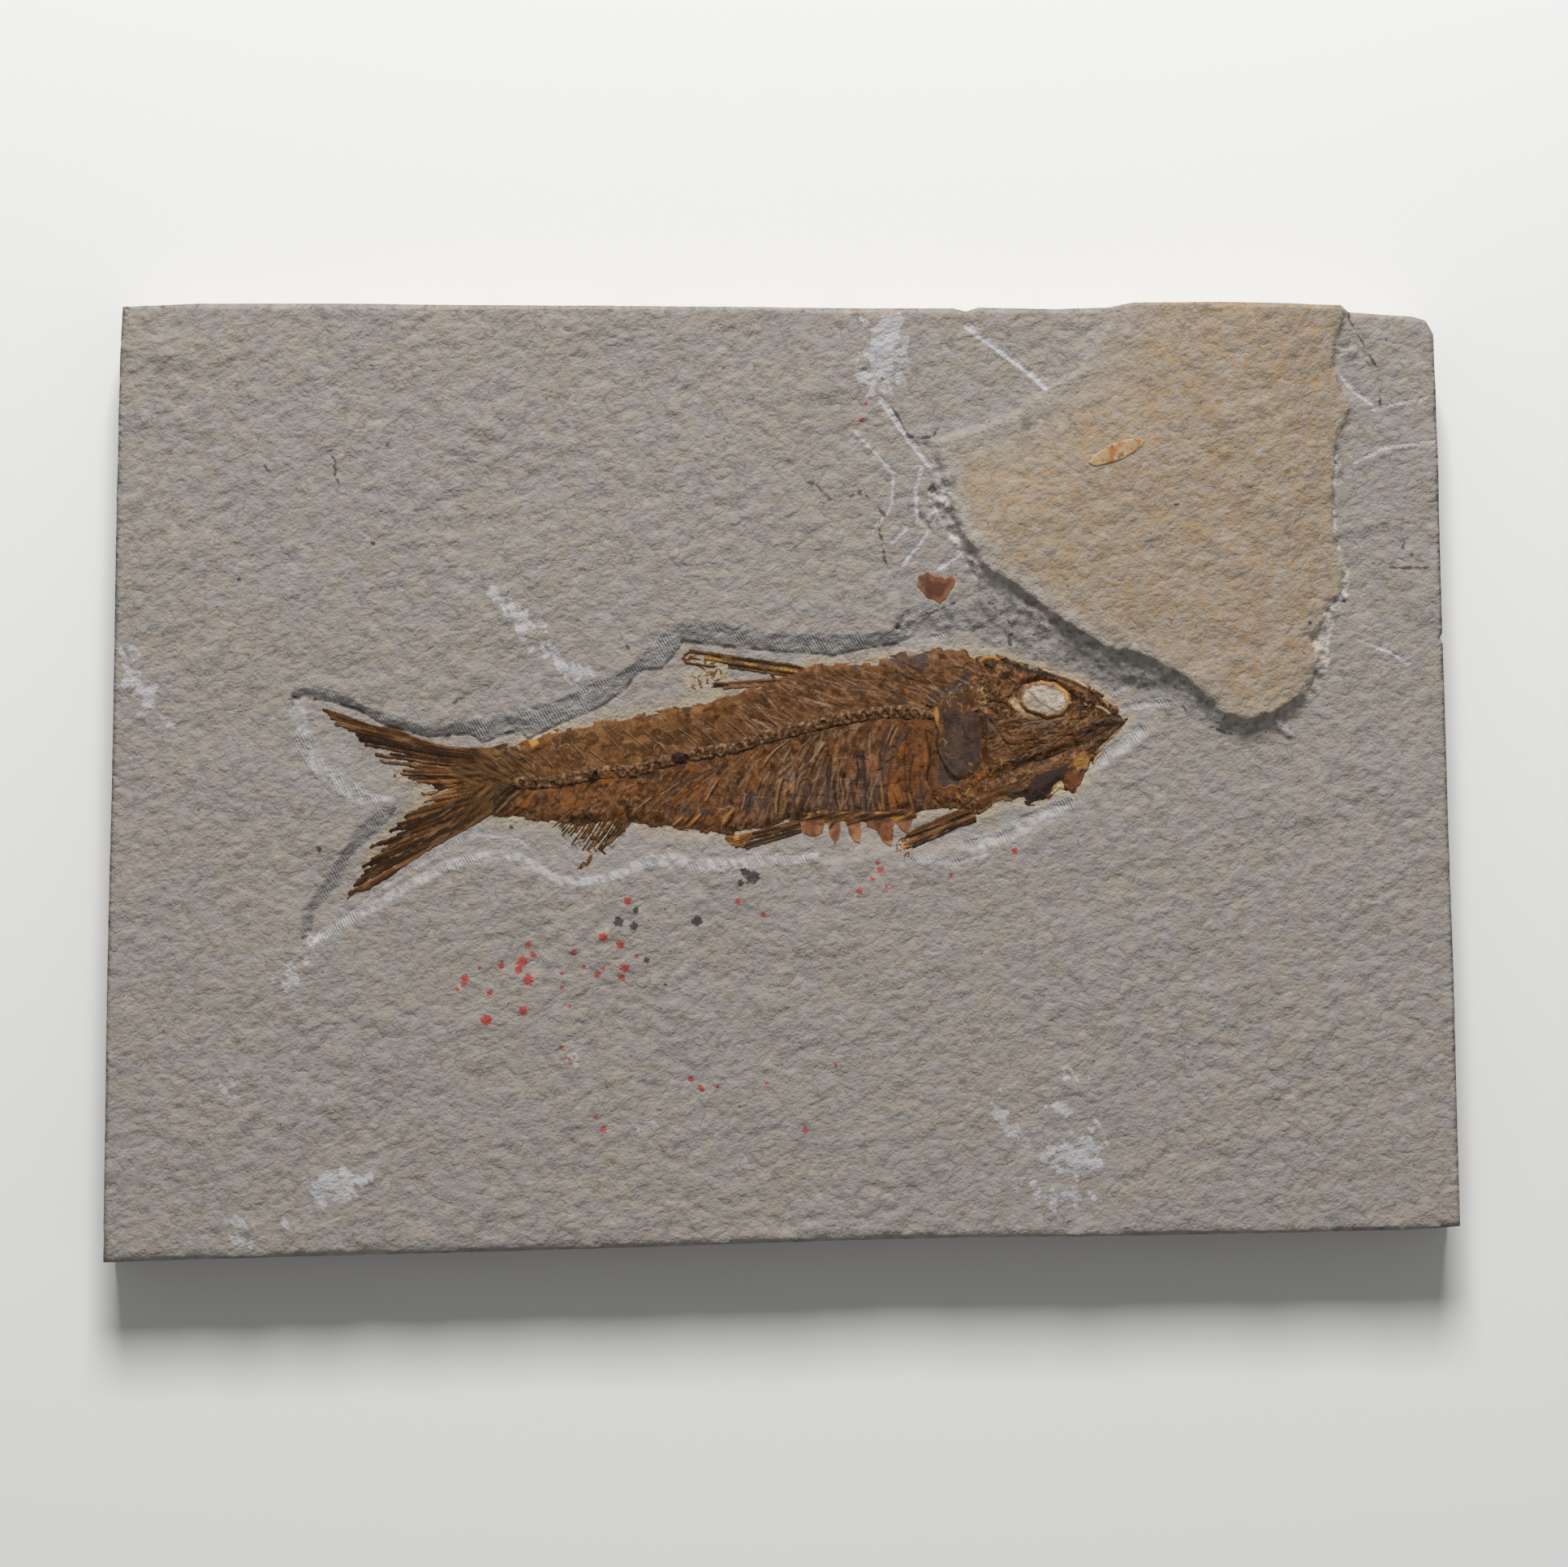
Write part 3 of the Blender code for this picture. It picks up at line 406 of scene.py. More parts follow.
GILL_PLATE = [
    (1158, 878), (1180, 880), (1207, 876), (1212, 903), (1213, 938), (1205, 944), (1194, 938),
    (1188, 950), (1180, 962), (1168, 958), (1156, 940), (1154, 920), (1158, 900),
]
SCUTE_OUTLINES = [
    [(984, 1014), (990, 1028), (1004, 1032), (1014, 1026), (1017, 1010), (1008, 1000), (990, 1002)],
    [(1021, 1006), (1021, 1026), (1029, 1042), (1035, 1030), (1037, 1006)],
    [(1039, 1006), (1045, 1026), (1052, 1036), (1060, 1040), (1062, 1020), (1060, 1004)],
    [(1066, 1002), (1068, 1018), (1080, 1022), (1086, 1036), (1098, 1044), (1101, 1030), (1102, 1012),
     (1100, 1000)],
    [(1102, 998), (1104, 1014), (1112, 1024), (1120, 1030), (1124, 1012), (1130, 998)],
    [(984, 998), (1130, 994), (1130, 1008), (1100, 1013), (1066, 1013), (1040, 1011), (1020, 1013),
     (1000, 1016)],
]
SCUTE_SKIRT = [
    (980, 1000), (982, 1030), (1000, 1037), (1018, 1034), (1020, 1043), (1030, 1048), (1040, 1040),
    (1050, 1044), (1066, 1044), (1074, 1032), (1086, 1046), (1104, 1048), (1108, 1030), (1126, 1026),
    (1134, 998), (1100, 996), (1060, 999), (1010, 1000),
]
DORSAL_SKIRT = [
    (836, 812), (838, 798), (850, 794), (862, 796), (885, 802), (910, 808), (940, 813), (975, 817),
    (1000, 826), (1000, 840), (975, 846), (940, 848), (915, 856), (890, 864), (862, 868), (840, 864),
    (836, 845), (842, 826),
]
DORSAL_RAYS = [
    [(860, 804), (850, 803), (844, 806), (841, 811), (846, 817), (862, 819), (880, 821)],
    [(862, 812), (852, 810), (848, 812)],
    [(950, 830), (955, 838), (972, 840)],
]
ANAL_SKIRT = [
    (672, 1008), (674, 1026), (684, 1038), (698, 1048), (706, 1056), (716, 1062), (730, 1052),
    (748, 1060), (756, 1050), (766, 1040), (784, 1020), (788, 1002), (740, 1002),
]
ANAL_ENDS = [
    (752, 1038), (742, 1046), (734, 1052), (724, 1050), (714, 1054), (706, 1044), (694, 1036), (686, 1028),
    (680, 1018),
]
ANAL_STRONG_RAY = [(778, 1008), (766, 1020), (750, 1036), (740, 1047), (745, 1052)]
ANAL_SCRAP_SKIRT = [
    (709, 1073), (711, 1060), (720, 1054), (735, 1052), (733, 1066), (723, 1074),
]
ANAL_SCRAP_RAY = [(715, 1069), (719, 1063), (722, 1065), (728, 1059)]
PELVIC_SKIRT = [
    (986, 1008), (965, 1015), (940, 1022), (915, 1028), (888, 1031), (886, 1047), (916, 1049),
    (945, 1045), (968, 1036), (988, 1026),
]
PELVIC_SCALES = [
    (892, 1033), (900, 1026), (912, 1021), (928, 1024), (925, 1036), (916, 1045), (901, 1042),
]
PECTORAL_SKIRT = [
    (1200, 990), (1180, 994), (1158, 1003), (1136, 1016), (1118, 1028), (1100, 1038), (1100, 1056),
    (1116, 1058), (1132, 1050), (1146, 1038), (1164, 1028), (1184, 1018), (1204, 1014),
]
# The two lobes of the tail, with the ends of their rays
TAIL_UPPER_OUTLINE = [
    (393, 873), (404, 871), (430, 883), (460, 893), (490, 899), (520, 910), (550, 919), (575, 921),
    (606, 919), (636, 930), (640, 962), (612, 968), (575, 970), (548, 972), (524, 984), (516, 976),
    (514, 964), (500, 958), (482, 948), (468, 938), (450, 929), (436, 914), (416, 898), (400, 883),
]
TAIL_UPPER_ENDS = [
    (394, 872), (400, 880), (416, 896), (436, 912), (450, 930), (462, 944), (478, 956), (500, 972),
    (516, 984), (530, 986), (548, 976),
]
TAIL_LOWER_ENDS = [
    (430, 1106), (425, 1112), (428, 1096), (438, 1078), (452, 1046), (466, 1026), (486, 1010), (504, 998),
    (530, 978), (560, 964),
]
TAIL_LOWER_OUTLINE = [
    (640, 960), (645, 972), (632, 986), (618, 996), (606, 1004), (590, 1013), (555, 1033),
    (535, 1044), (510, 1059), (490, 1074), (470, 1089), (456, 1098), (438, 1100), (426, 1111),
    (428, 1098), (438, 1086), (440, 1072), (454, 1044), (468, 1028), (486, 1014), (500, 1003),
    (520, 988), (545, 976), (575, 962), (612, 956),
]


def plan(pixels):
    """Plan points of the photograph as an array of x and y in metres."""
    pixels = np.array(pixels, dtype=float)
    x = (pixels[:, 0] - MIDDLE_PIXEL[0]) * PIXEL
    y = (MIDDLE_PIXEL[1] - pixels[:, 1]) * PIXEL
    return np.stack([x, y], axis=1)


def plan_x(u):
    """The x in metres of a column of the photograph."""
    return (u - MIDDLE_PIXEL[0]) * PIXEL


def segments(line, closed):
    """The starts and the ends of a line's straight parts."""
    ends = np.roll(line, -1, axis=0)
    return (line, ends) if closed else (line[:-1], ends[:-1])


def resampled(line, step, closed=False):
    """The line with points added so that none is much over a step from the next. Its own points stay."""
    points = []
    starts, ends = segments(line, closed)
    for start, end in zip(starts, ends):
        count = max(1, round(np.linalg.norm(end - start) / step))
        points += [start + (end - start) * i / count for i in range(count)]
    if not closed:
        points.append(line[-1])
    return np.array(points)


def distance(points, line, closed=False):
    """How far each point is from the nearest place on the line."""
    nearest = np.full(len(points), np.inf)
    x, y = points[:, 0], points[:, 1]
    for (x0, y0), (x1, y1) in zip(*segments(line, closed)):
        along_x, along_y = x1 - x0, y1 - y0
        t = ((x - x0) * along_x + (y - y0) * along_y) / max(along_x**2 + along_y**2, 1e-18)
        t = np.minimum(np.maximum(t, 0), 1)
        nearest = np.minimum(nearest, (x - x0 - t * along_x) ** 2 + (y - y0 - t * along_y) ** 2)
    return np.sqrt(nearest)


def depth_inside(points, outline):
    """Distance to a closed outline, positive inside it and negative outside."""
    inside = np.zeros(len(points), dtype=bool)
    for (x0, y0), (x1, y1) in zip(*segments(outline, True)):
        crosses = (y0 > points[:, 1]) != (y1 > points[:, 1])
        rise = y1 - y0 if y1 != y0 else 1.0
        inside ^= crosses & (points[:, 0] < x0 + (points[:, 1] - y0) / rise * (x1 - x0))
    return np.where(inside, 1, -1) * distance(points, outline, closed=True)


def signed_area(outline):
    """The area inside an outline, negative where it runs clockwise."""
    ahead = np.roll(outline, -1, axis=0)
    return np.sum(outline[:, 0] * ahead[:, 1] - outline[:, 1] * ahead[:, 0]) / 2


def ramp(value, start, end):
    """0 at start, 1 at end, and a smooth rise between."""
    t = np.clip((value - start) / (end - start), 0, 1)
    return t * t * (3 - 2 * t)


def ripple(points, size, seed):
    """Smooth noise from -1 to 1 whose lumps are about this size."""
    return np.array([noise.noise((x, y, seed)) for x, y in (points / size).tolist()])


def layered(points, size, seed, layers=3):
    """Ripples on ripples, each layer half as large and half as strong as the last."""
    return sum(ripple(points, size / 2**i, seed + 3.7 * i) / 2**i for i in range(layers))


def pebbled(points, size, seed):
    """Rounded humps with sharp creases between them, about 0 on average."""
    return sum(np.abs(ripple(points, size / 2**i, seed + 3.7 * i)) / 2**i for i in range(3)) - 0.45


def turned(points, angle, stretch=1.0):
    """The points in axes turned by an angle. Noise read there is drawn out along the first axis."""
    c, s = math.cos(angle), math.sin(angle)
    return np.stack([(points @ (c, s)) / stretch, points @ (-s, c)], axis=1)


def chance(index, seed):
    """A number from 0 to 1 for each whole number, the same each time."""
    return np.modf(np.abs(np.sin(index * 12.9898 + seed * 78.233) * 43758.5453))[0]


def comb(phase, pitch, seed, unevenness=0.4):
    """Uneven teeth along a phase: each point's nearest tooth, and its signed distance from it."""
    index = np.round(phase / pitch)
    centre = (index + unevenness * (chance(index, seed) - 0.5)) * pitch
    return index, phase - centre


def flakes(points, size, seed):
    """Broken flakes: each point's flake as a number from 0 to 1, its tilt there, and how far its edge is."""
    cell = np.floor(points / size)
    nearest, second = np.full((2, len(points)), np.inf)
    tone, tilt = np.zeros((2, len(points)))
    for step in ((i, j) for i in (-1, 0, 1) for j in (-1, 0, 1)):
        key = (cell + step) @ (1.37, 7.91)
        jitter = np.stack([chance(key, seed), chance(key, seed + 1)], axis=1)
        offset = points / size - (cell + step + 0.1 + 0.8 * jitter)
        away = np.hypot(offset[:, 0], offset[:, 1])
        closer = away < nearest
        second = np.where(closer, nearest, np.minimum(second, away))
        nearest = np.minimum(nearest, away)
        tone[closer] = chance(key, seed + 2)[closer]
        lean = offset[:, 0] * (chance(key, seed + 3) - 0.5) + offset[:, 1] * (chance(key, seed + 4) - 0.5)
        tilt[closer] = lean[closer]
    return tone, tilt, second - nearest


def ridge(offset, width):
    """1 where the offset is 0, and a soft fall to 0 beyond the width."""
    return np.exp(-((offset / width) ** 2))


def lattice(low, high, spacing):
    """Rows of points over a rectangle, each row shifted by half a space."""
    row_height = spacing * math.sqrt(3) / 2
    rows = []
    for row in range(int((high[1] - low[1]) / row_height) + 1):
        x = np.arange(low[0] + (row % 2) * spacing / 2, high[0], spacing)
        rows.append(np.stack([x, np.full(len(x), low[1] + row * row_height)], axis=1))
    return np.concatenate(rows)


def triangulated(outline, step, loose):
    """Plan points and triangles that fill the outline, and the numbers of the points on it."""
    if signed_area(outline) < 0:
        outline = outline[::-1]
    rim = resampled(outline, step, closed=True)
    edges = [(i, (i + 1) % len(rim)) for i in range(len(rim))]
    given = [Vector(p) for p in np.concatenate([rim, loose]).tolist()]
    found = delaunay_2d_cdt(given, edges, [], 0, WELD, True)
    points = np.array([tuple(p) for p in found[0]])
    triangles = np.array([tuple(face) for face in found[2]])
    place = {source: i for i, sources in enumerate(found[3]) for source in sources}
    rim = np.array([place[i] for i in range(len(rim))])
    kept = triangles[depth_inside(points[triangles].mean(axis=1), outline) > 0]
    first, second, third = (points[kept[:, i]] for i in range(3))
    cross = (second - first)[:, 0] * (third - first)[:, 1] - (second - first)[:, 1] * (third - first)[:, 0]
    kept[cross < 0] = kept[cross < 0][:, ::-1]
    return points, kept, rim


def new_object(name, corners, polygons):
    """A new mesh object in the scene."""
    mesh = bpy.data.meshes.new(name)
    mesh.from_pydata(corners, [], polygons)
    mesh.update()
    obj = bpy.data.objects.new(name, mesh)
    bpy.context.scene.collection.objects.link(obj)
    return obj


def closed_piece(name, outline, step, loose, height, rows, underside=None):
    """A closed mesh: the top, its rim run down through rows of points, and an underside.

    A row is a function that moves the rim's x, y and z. The underside is flat, or else a set of loose
    plan points and a height function for them.
    """
    points, triangles, rim = triangulated(outline, step, loose)
    corners = np.column_stack([points, height(points)])
    top_rim = corners[rim]
    faces = [triangles]
    above = rim
    for row in rows:
        below = len(corners) + np.arange(len(rim))
        corners = np.concatenate([corners, row(top_rim)])
        above_ahead, below_ahead = np.roll(above, -1), np.roll(below, -1)
        faces += [np.stack([above_ahead, above, below], axis=1)]
        faces += [np.stack([above_ahead, below, below_ahead], axis=1)]
        above = below
    if underside:
        low_points, low_triangles, low_rim = triangulated(corners[above][:, :2], 1.0, underside[0])
        index = len(corners) - len(rim) + np.arange(len(low_points))
        free = np.setdiff1d(np.arange(len(low_points)), low_rim)
        index[free] = len(corners) + np.arange(len(free))
        index[low_rim] = above
        low_corners = np.column_stack([low_points[free], underside[1](low_points[free])])
        corners = np.concatenate([corners, low_corners])
        faces.append(index[low_triangles][:, ::-1])
    polygons = np.concatenate(faces).tolist()
    if not underside:
        polygons.append(above[::-1].tolist())
    obj = new_object(name, corners.tolist(), polygons)
    obj.data.shade_smooth()
    used = np.zeros(len(corners), dtype=bool)
    used[np.concatenate([f.ravel() for f in faces])] = True
    assert used.all(), name + " has loose points"
    return obj


def plan_points(obj):
    """The x and y of each of the object's corners."""
    places = np.zeros(len(obj.data.vertices) * 3)
    obj.data.vertices.foreach_get("co", places)
    return places.reshape(-1, 3)[:, :2]


def store(obj, name, values):
    """A number for each corner, which the object's material reads by name."""
    obj.data.attributes.new(name, "FLOAT", "POINT").data.foreach_set("value", values.astype(np.float32))


def store_colours(obj, name, colours):
    """A colour for each corner, which the object's material reads by name."""
    rgba = np.column_stack([colours, np.ones(len(colours))]).astype(np.float32)
    obj.data.attributes.new(name, "FLOAT_COLOR", "POINT").data.foreach_set("color", rgba.ravel())


def linear(red, green, blue):
    """A colour from its 0 to 255 screen values."""
    values = np.array([red, green, blue]) / 255
    return np.where(values < 0.04045, values / 12.92, ((values + 0.055) / 1.055) ** 2.4)


def mixed(first, second, share):
    """First where the share is 0 and second where it is 1. Both may differ from point to point."""
    return first + (second - first) * np.clip(share, 0, 1)[:, None]


def covered(colour, coats):
    """The colour with coats laid over it in turn, each one an ink and its share at each point."""
    for ink, share in coats:
        colour = mixed(colour, ink, share)
    return colour


# Colours of the stone
STONE_GREY = linear(151, 146, 142)
STONE_TAN = linear(156, 146, 135)
STONE_PALE = linear(164, 157, 150)
BED_TAN = linear(158, 144, 127)
SCRAPED_STONE = linear(150, 147, 144)
CREAM_FLOOR = linear(172, 158, 136)
RUST = linear(162, 128, 84)
CHALK = linear(182, 180, 182)
TOOL_WHITE = linear(174, 171, 169)
SCRAPE_GREY_AND_SHADE = linear(126, 122, 118)
RED = linear(172, 58, 50)
BLACK = linear(52, 44, 42)
CHIP_DARK = linear(130, 125, 119)
CHIP_PALE = linear(170, 165, 159)
CHIP_SHADOW = linear(96, 90, 84)
SIDE_DARK = linear(142, 134, 124)
SIDE_PALE = linear(164, 154, 140)
SIDE_DIRT = linear(122, 110, 96)
EYE_STONE = linear(182, 172, 158)
EYE_STAIN = linear(158, 138, 114)
GOLDEN = linear(168, 118, 66)
GOLDEN_SHADOW = linear(108, 70, 42)
GRAIN_GREY = linear(130, 121, 112)
GRAIN_PALE = linear(172, 164, 156)
GRAIN_DARK = linear(106, 98, 90)
CREASE_SHADE = linear(92, 84, 77)
PIT_INK = linear(70, 62, 56)
CRACK_SHADE = linear(74, 66, 60)

# Patches of another colour on the stone: colour, outline and strength
STONE_PATCHES = [
    (CREAM_FLOOR, [(838, 806), (890, 808), (902, 838), (880, 864), (846, 864)], 0.7),
    (linear(190, 160, 112), [(500, 930), (545, 940), (560, 985), (520, 990), (480, 960)], 0.2),
    (linear(184, 150, 104), [(440, 1075), (470, 1020), (520, 985), (560, 968), (520, 1010),
                             (480, 1060)], 0.3),
    (linear(112, 102, 100), [(1258, 516), (1268, 514), (1275, 522), (1268, 532), (1260, 530)], 0.7),
    (linear(176, 168, 160), [(1106, 800), (1125, 786), (1190, 788), (1240, 806), (1200, 800),
                             (1120, 802)], 0.6),
]
EYE_PATCHES = [
    (linear(188, 178, 164), [(1290, 850), (1306, 852), (1312, 866), (1300, 876), (1290, 866)], 0.8),
    (linear(190, 172, 146), [(1262, 856), (1272, 862), (1284, 874), (1274, 880), (1262, 870)], 0.7),
]
# Strokes of another colour: colour, points, half width and strength
EYE_STROKES = [
    (linear(120, 78, 52), [(1265, 850), (1273, 856), (1279, 864), (1289, 870), (1304, 878)],
     0.12 * MM, 0.9),
    (linear(196, 150, 84), [(1300, 844), (1313, 852), (1317, 866), (1310, 879), (1294, 883)],
     0.2 * MM, 0.9),
    (linear(150, 104, 66), [(1288, 842), (1296, 848), (1304, 850)], 0.1 * MM, 0.8),
    (linear(172, 120, 74), [(1262, 858), (1260, 868), (1270, 876)], 0.14 * MM, 0.7),
]


def wandering(points, size, reach, seed):
    """The points moved about a little, which makes straight drawn lines ragged."""
    moves = [layered(points, size, seed), layered(points, size, seed + 1.7)]
    return points + reach * np.stack(moves, axis=1)


def depth_in(points, pixels):
    """Depth inside an outline of the photograph, negative outside."""
    return depth_inside(points, plan(pixels))


def away_from(points, pixels):
    """Distance from a line of the photograph."""
    return distance(points, plan(pixels))


def deepest(points, outlines):
    """Depth inside the nearest of some outlines of the photograph, negative outside them all."""
    return np.max([depth_in(points, outline) for outline in outlines], axis=0)


def between_lines(points, outer, inner):
    """0 on the outer line and 1 on the inner one."""
    near = away_from(points, outer)
    return near / (near + away_from(points, inner) + 1e-9)


def bed_share(points):
    """1 on the upper bed, 0 below its foot, and a straight rise between."""
    points = wandering(points, 1.3 * MM, 0.2 * MM, 2.2)
    foot_line = BED_FOOT_OUTLINE + BED_FOOT_OUTLINE[:1]
    share = between_lines(points, foot_line, UPPER_BED_OUTLINE + UPPER_BED_OUTLINE[:1])
    share = np.where(depth_in(points, UPPER_BED_OUTLINE) > 0, 1, share)
    return np.where(depth_in(points, BED_FOOT_OUTLINE) > 0, share, 0)


def slope_share(share):
    """1 on the slope of the upper bed, and 0 above and below it, from the share of the bed."""
    return ramp(share, 0, 0.1) * ramp(share, 1, 0.93)


def bed_rise(points):
    """Rise of the upper bed: full along its broken front, thin towards the plate's top edge."""
    thickness = ramp(away_from(points, BED_FEATHER_LINE), 0, BED_THINNING)
    rise = UPPER_BED_THIN_RISE + (UPPER_BED_RISE - UPPER_BED_THIN_RISE) * thickness
    share = bed_share(points)
    drawn = turned(points, BED_GRAIN_ANGLE, 2.5)
    ledges = 0.20 * layered(drawn, 1.0 * MM, 16.3, 4) * ramp(share, 0, 0.15) * ramp(share, 1, 0.85)
    rise = rise * (1 - 0.55 * ramp(points[:, 0], plan_x(1575), plan_x(1635)))
    return rise * (0.45 * share + 0.55 * ramp(share, 0.72, 1.0) + 1.3 * ledges)


def recess_share(points):
    """0 on the open face and 1 on the floor of the recess. Its walls are steep only where the tool cut."""
    points = wandering(points, 0.8 * MM, 0.17 * MM, 4.4)
    inside = depth_in(points, RECESS_OUTLINE) > 0
    share = inside * ramp(away_from(points, SOFT_EDGE), 0, SOFT_WALL)
    for outer, foot, depth in CUTS:
        floor = depth + (1 - depth) * ramp(away_from(points, foot), 0, SOFT_WALL)
        share = np.minimum(share, floor)
    for outer, foot, depth in CUTS:
        wall = depth_in(points, outer + foot[::-1]) > 0
        share = np.where(wall, depth * between_lines(points, outer, foot), share)
    return share


def wall_depth(points):
    """Depth inside the nearest wall that a tool cut, negative outside."""
    return deepest(points, [UPPER_WALL, LOWER_WALL, LOBE_WALL, FORK_WALL])


def rough_depth(points):
    """Depth inside the nearest broken place, negative outside."""
    return deepest(points, ROUGH_PATCHES)


def roughness_at(points):
    """1 in the broken places and on the slope of the upper bed, and 0 elsewhere."""
    patches = ramp(rough_depth(points) + 0.3 * MM * layered(points, 1.2 * MM, 7.3), -0.3 * MM, 0.3 * MM)
    slope = slope_share(bed_share(points)) * ramp(-points[:, 1], -42 * MM, -34 * MM)
    return np.maximum(patches, slope)


def broken_rock(points):
    """Chips of broken stone."""
    return flakes(wandering(points, 1.1 * MM, 0.3 * MM, 6.6), 1.5 * MM, 9.0)


def body_outline():
    """The fish without its fins."""
    return plan(BACK_LINE + SKULL_TOP_LINE + THROAT_LINE + BELLY_LINE[::-1])


def face(points):
    """Height of the stone's face at each plan point, without its ledges and marks."""
    drawn = turned(points, PEBBLE_ANGLE, PEBBLE_STRETCH)
    lumps = LUMP_HEIGHT * ripple(points, LUMP_SIZE, 0.5)
    uneven = 0.85 + 0.6 * layered(points, 11 * MM, 77.7)
    pebbles = PEBBLE_HEIGHT * pebbled(drawn, PEBBLE_SIZE, 1.5) * uneven
    calm = ramp(depth_in(points, LOOSE_SCALE_OUTLINE), -1 * MM, 0)
    open_face = SLAB_TOP + lumps + pebbles * (1 - calm)
    floor = RECESS_FLOOR + 0.07 * MM * layered(turned(points, PEBBLE_ANGLE, 1.5), 2.2 * MM, 6.1)
    return open_face + (floor - open_face) * recess_share(points)


def eye_rise(points):
    """Rise of the stone that fills the eye."""
    eye = depth_in(points, EYE_OUTLINE)
    crown = EYE_STONE_RISE * (1 + 0.12 * ramp(eye, 0, 2 * MM)) + 0.05 * MM * ripple(points, 1.2 * MM, 3.3)
    return crown * ramp(eye + 0.1 * MM * layered(points, 0.7 * MM, 13.6), -0.6 * MM, 0)


def edge_wear(points):
    """How much is worn off the plate's edge, most along its lower side."""
    edge = depth_in(points, SLAB_OUTLINE)
    lower = ramp(-points[:, 1], 54 * MM, 57 * MM)
    wear = (0.10 + 0.35 * lower) * MM * (1 + layered(points, 2.5 * MM, 9.1))
    return wear * (1 - ramp(edge, 0, (0.35 + 0.6 * lower) * MM))


def ground(points):
    """Height of the stone at each plan point."""
    height = face(points)
    height += (1 - recess_share(points)) * bed_rise(points)
    rough = 0.10 * layered(points, 0.9 * MM, 8.8) + 0.7 * broken_rock(points)[1]
    height += rough * MM * roughness_at(points)
    cut = ramp(wall_depth(points), -0.1 * MM, 0.2 * MM)
    height += 0.09 * MM * layered(points, 0.7 * MM, 3.8, 2) * cut
    for line, half_width in SCRATCHES + TOOL_BANDS:
        share = 1 - ramp(away_from(points, line), 0, half_width)
        height -= SCRATCH_DEPTH_SHARE * half_width * share
    for line in CRACKS + [UPPER_FOOT]:
        height -= CRACK_DEPTH * (1 - ramp(away_from(points, line), 0, CRACK_HALF_WIDTH))
    height += eye_rise(points)
    return height - edge_wear(points)


def spacing_wanted(points):
    """How finely the stone is faceted at each plan point."""
    wanted = np.full(len(points), OPEN_SPACING)
    slope = depth_in(points, BED_FOOT_OUTLINE) > -0.3 * MM
    slope &= depth_in(points, UPPER_BED_OUTLINE) < 0.3 * MM
    wanted[slope | (rough_depth(points) > -0.2 * MM)] = LEDGE_SPACING
    wanted[wall_depth(points) > -0.25 * MM] = MARK_SPACING
    for line, half_width in SCRATCHES + TOOL_BANDS:
        wanted[away_from(points, line) < half_width + 0.3 * MM] = MARK_SPACING
    wanted[depth_inside(points, body_outline()) > 1.5 * MM] = HIDDEN_SPACING
    wanted[depth_in(points, EYE_OUTLINE) > -0.7 * MM] = EYE_SPACING
    return wanted


def speck_points():
    """A point in the middle of each speck and a ring of them round it."""
    rings = []
    for u, v, radius in RED_SPECKS + BLACK_SPECKS:
        turns = np.arange(8) * math.pi / 4
        ring = (radius + 3) * np.stack([np.cos(turns), np.sin(turns)], axis=1)
        rings += [np.array([[u, v]]), ring + (u, v), ring / 2 + (u, v)]
    return plan(np.concatenate(rings))


def slab_points(outline):
    """The loose points of the stone's face, finer where there is more to see."""
    chosen = [speck_points()]
    eye = plan(EYE_OUTLINE)
    corners = [(eye.min(axis=0) - MM, eye.max(axis=0) + MM)]
    corners += [(outline.min(axis=0), outline.max(axis=0))] * 4
    spacings = (EYE_SPACING, MARK_SPACING, LEDGE_SPACING, OPEN_SPACING, HIDDEN_SPACING)
    for spacing, (first, last) in zip(spacings, corners):
        grid = lattice(first, last, spacing)
        grid = grid[spacing_wanted(grid) == spacing]
        chosen.append(grid[depth_inside(grid, outline) > 0.5 * spacing])
    return np.concatenate(chosen)


def slab_side(share, seed):
    """A row of the plate's side, a share of the way down it: rough, with edges of beds that stand out."""

    def row(rim):
        height = rim[:, 2] * (1 - share)
        beds = noise.noise((height.mean() / (0.7 * MM), seed, 0.5))
        rough = layered(np.stack([rim[:, 0] + rim[:, 1], height * 1.4 + seed * MM], axis=1), 1.6 * MM, 5.5)
        inwards = SIDE_ROUGHNESS * np.clip(0.9 + 0.9 * beds + 0.8 * rough, 0, 3)
        kept = 1 - inwards / np.hypot(rim[:, 0], rim[:, 1])
        return np.column_stack([rim[:, 0] * kept, rim[:, 1] * kept, height])

    return row


def make_slab():
    """The plate: one stone with its upper bed, recess, gouges and the stone that fills the eye."""
    outline = plan(SLAB_OUTLINE)
    shares = [SIDE_FIRST_SHARE] + [i / SIDE_ROWS for i in range(1, SIDE_ROWS + 1)]
    rows = [slab_side(share, 3.1 * i) for i, share in enumerate(shares)]
    low_grid = lattice(outline.min(axis=0), outline.max(axis=0), UNDERSIDE_SPACING)
    low_grid = low_grid[depth_inside(low_grid, outline) > UNDERSIDE_SPACING * 0.7]

    def underside(points):
        return UNDERSIDE_LUMPS * np.maximum(0, layered(points, 7 * MM, 2.5) + 0.25)

    slab = closed_piece(
        "limestone_plate", outline, SIDE_SPACING, slab_points(outline), ground, rows, (low_grid, underside)
    )
    points = plan_points(slab)
    heights = np.array([vertex.co.z for vertex in slab.data.vertices])
    side = side_share(points, heights)
    store_colours(slab, "tint", mixed(stone_tint(points), side_tint(points, heights), side))
    store_marks(slab, points, side)
    slab.data.materials.append(stone_material())
    finished(slab, "slab")


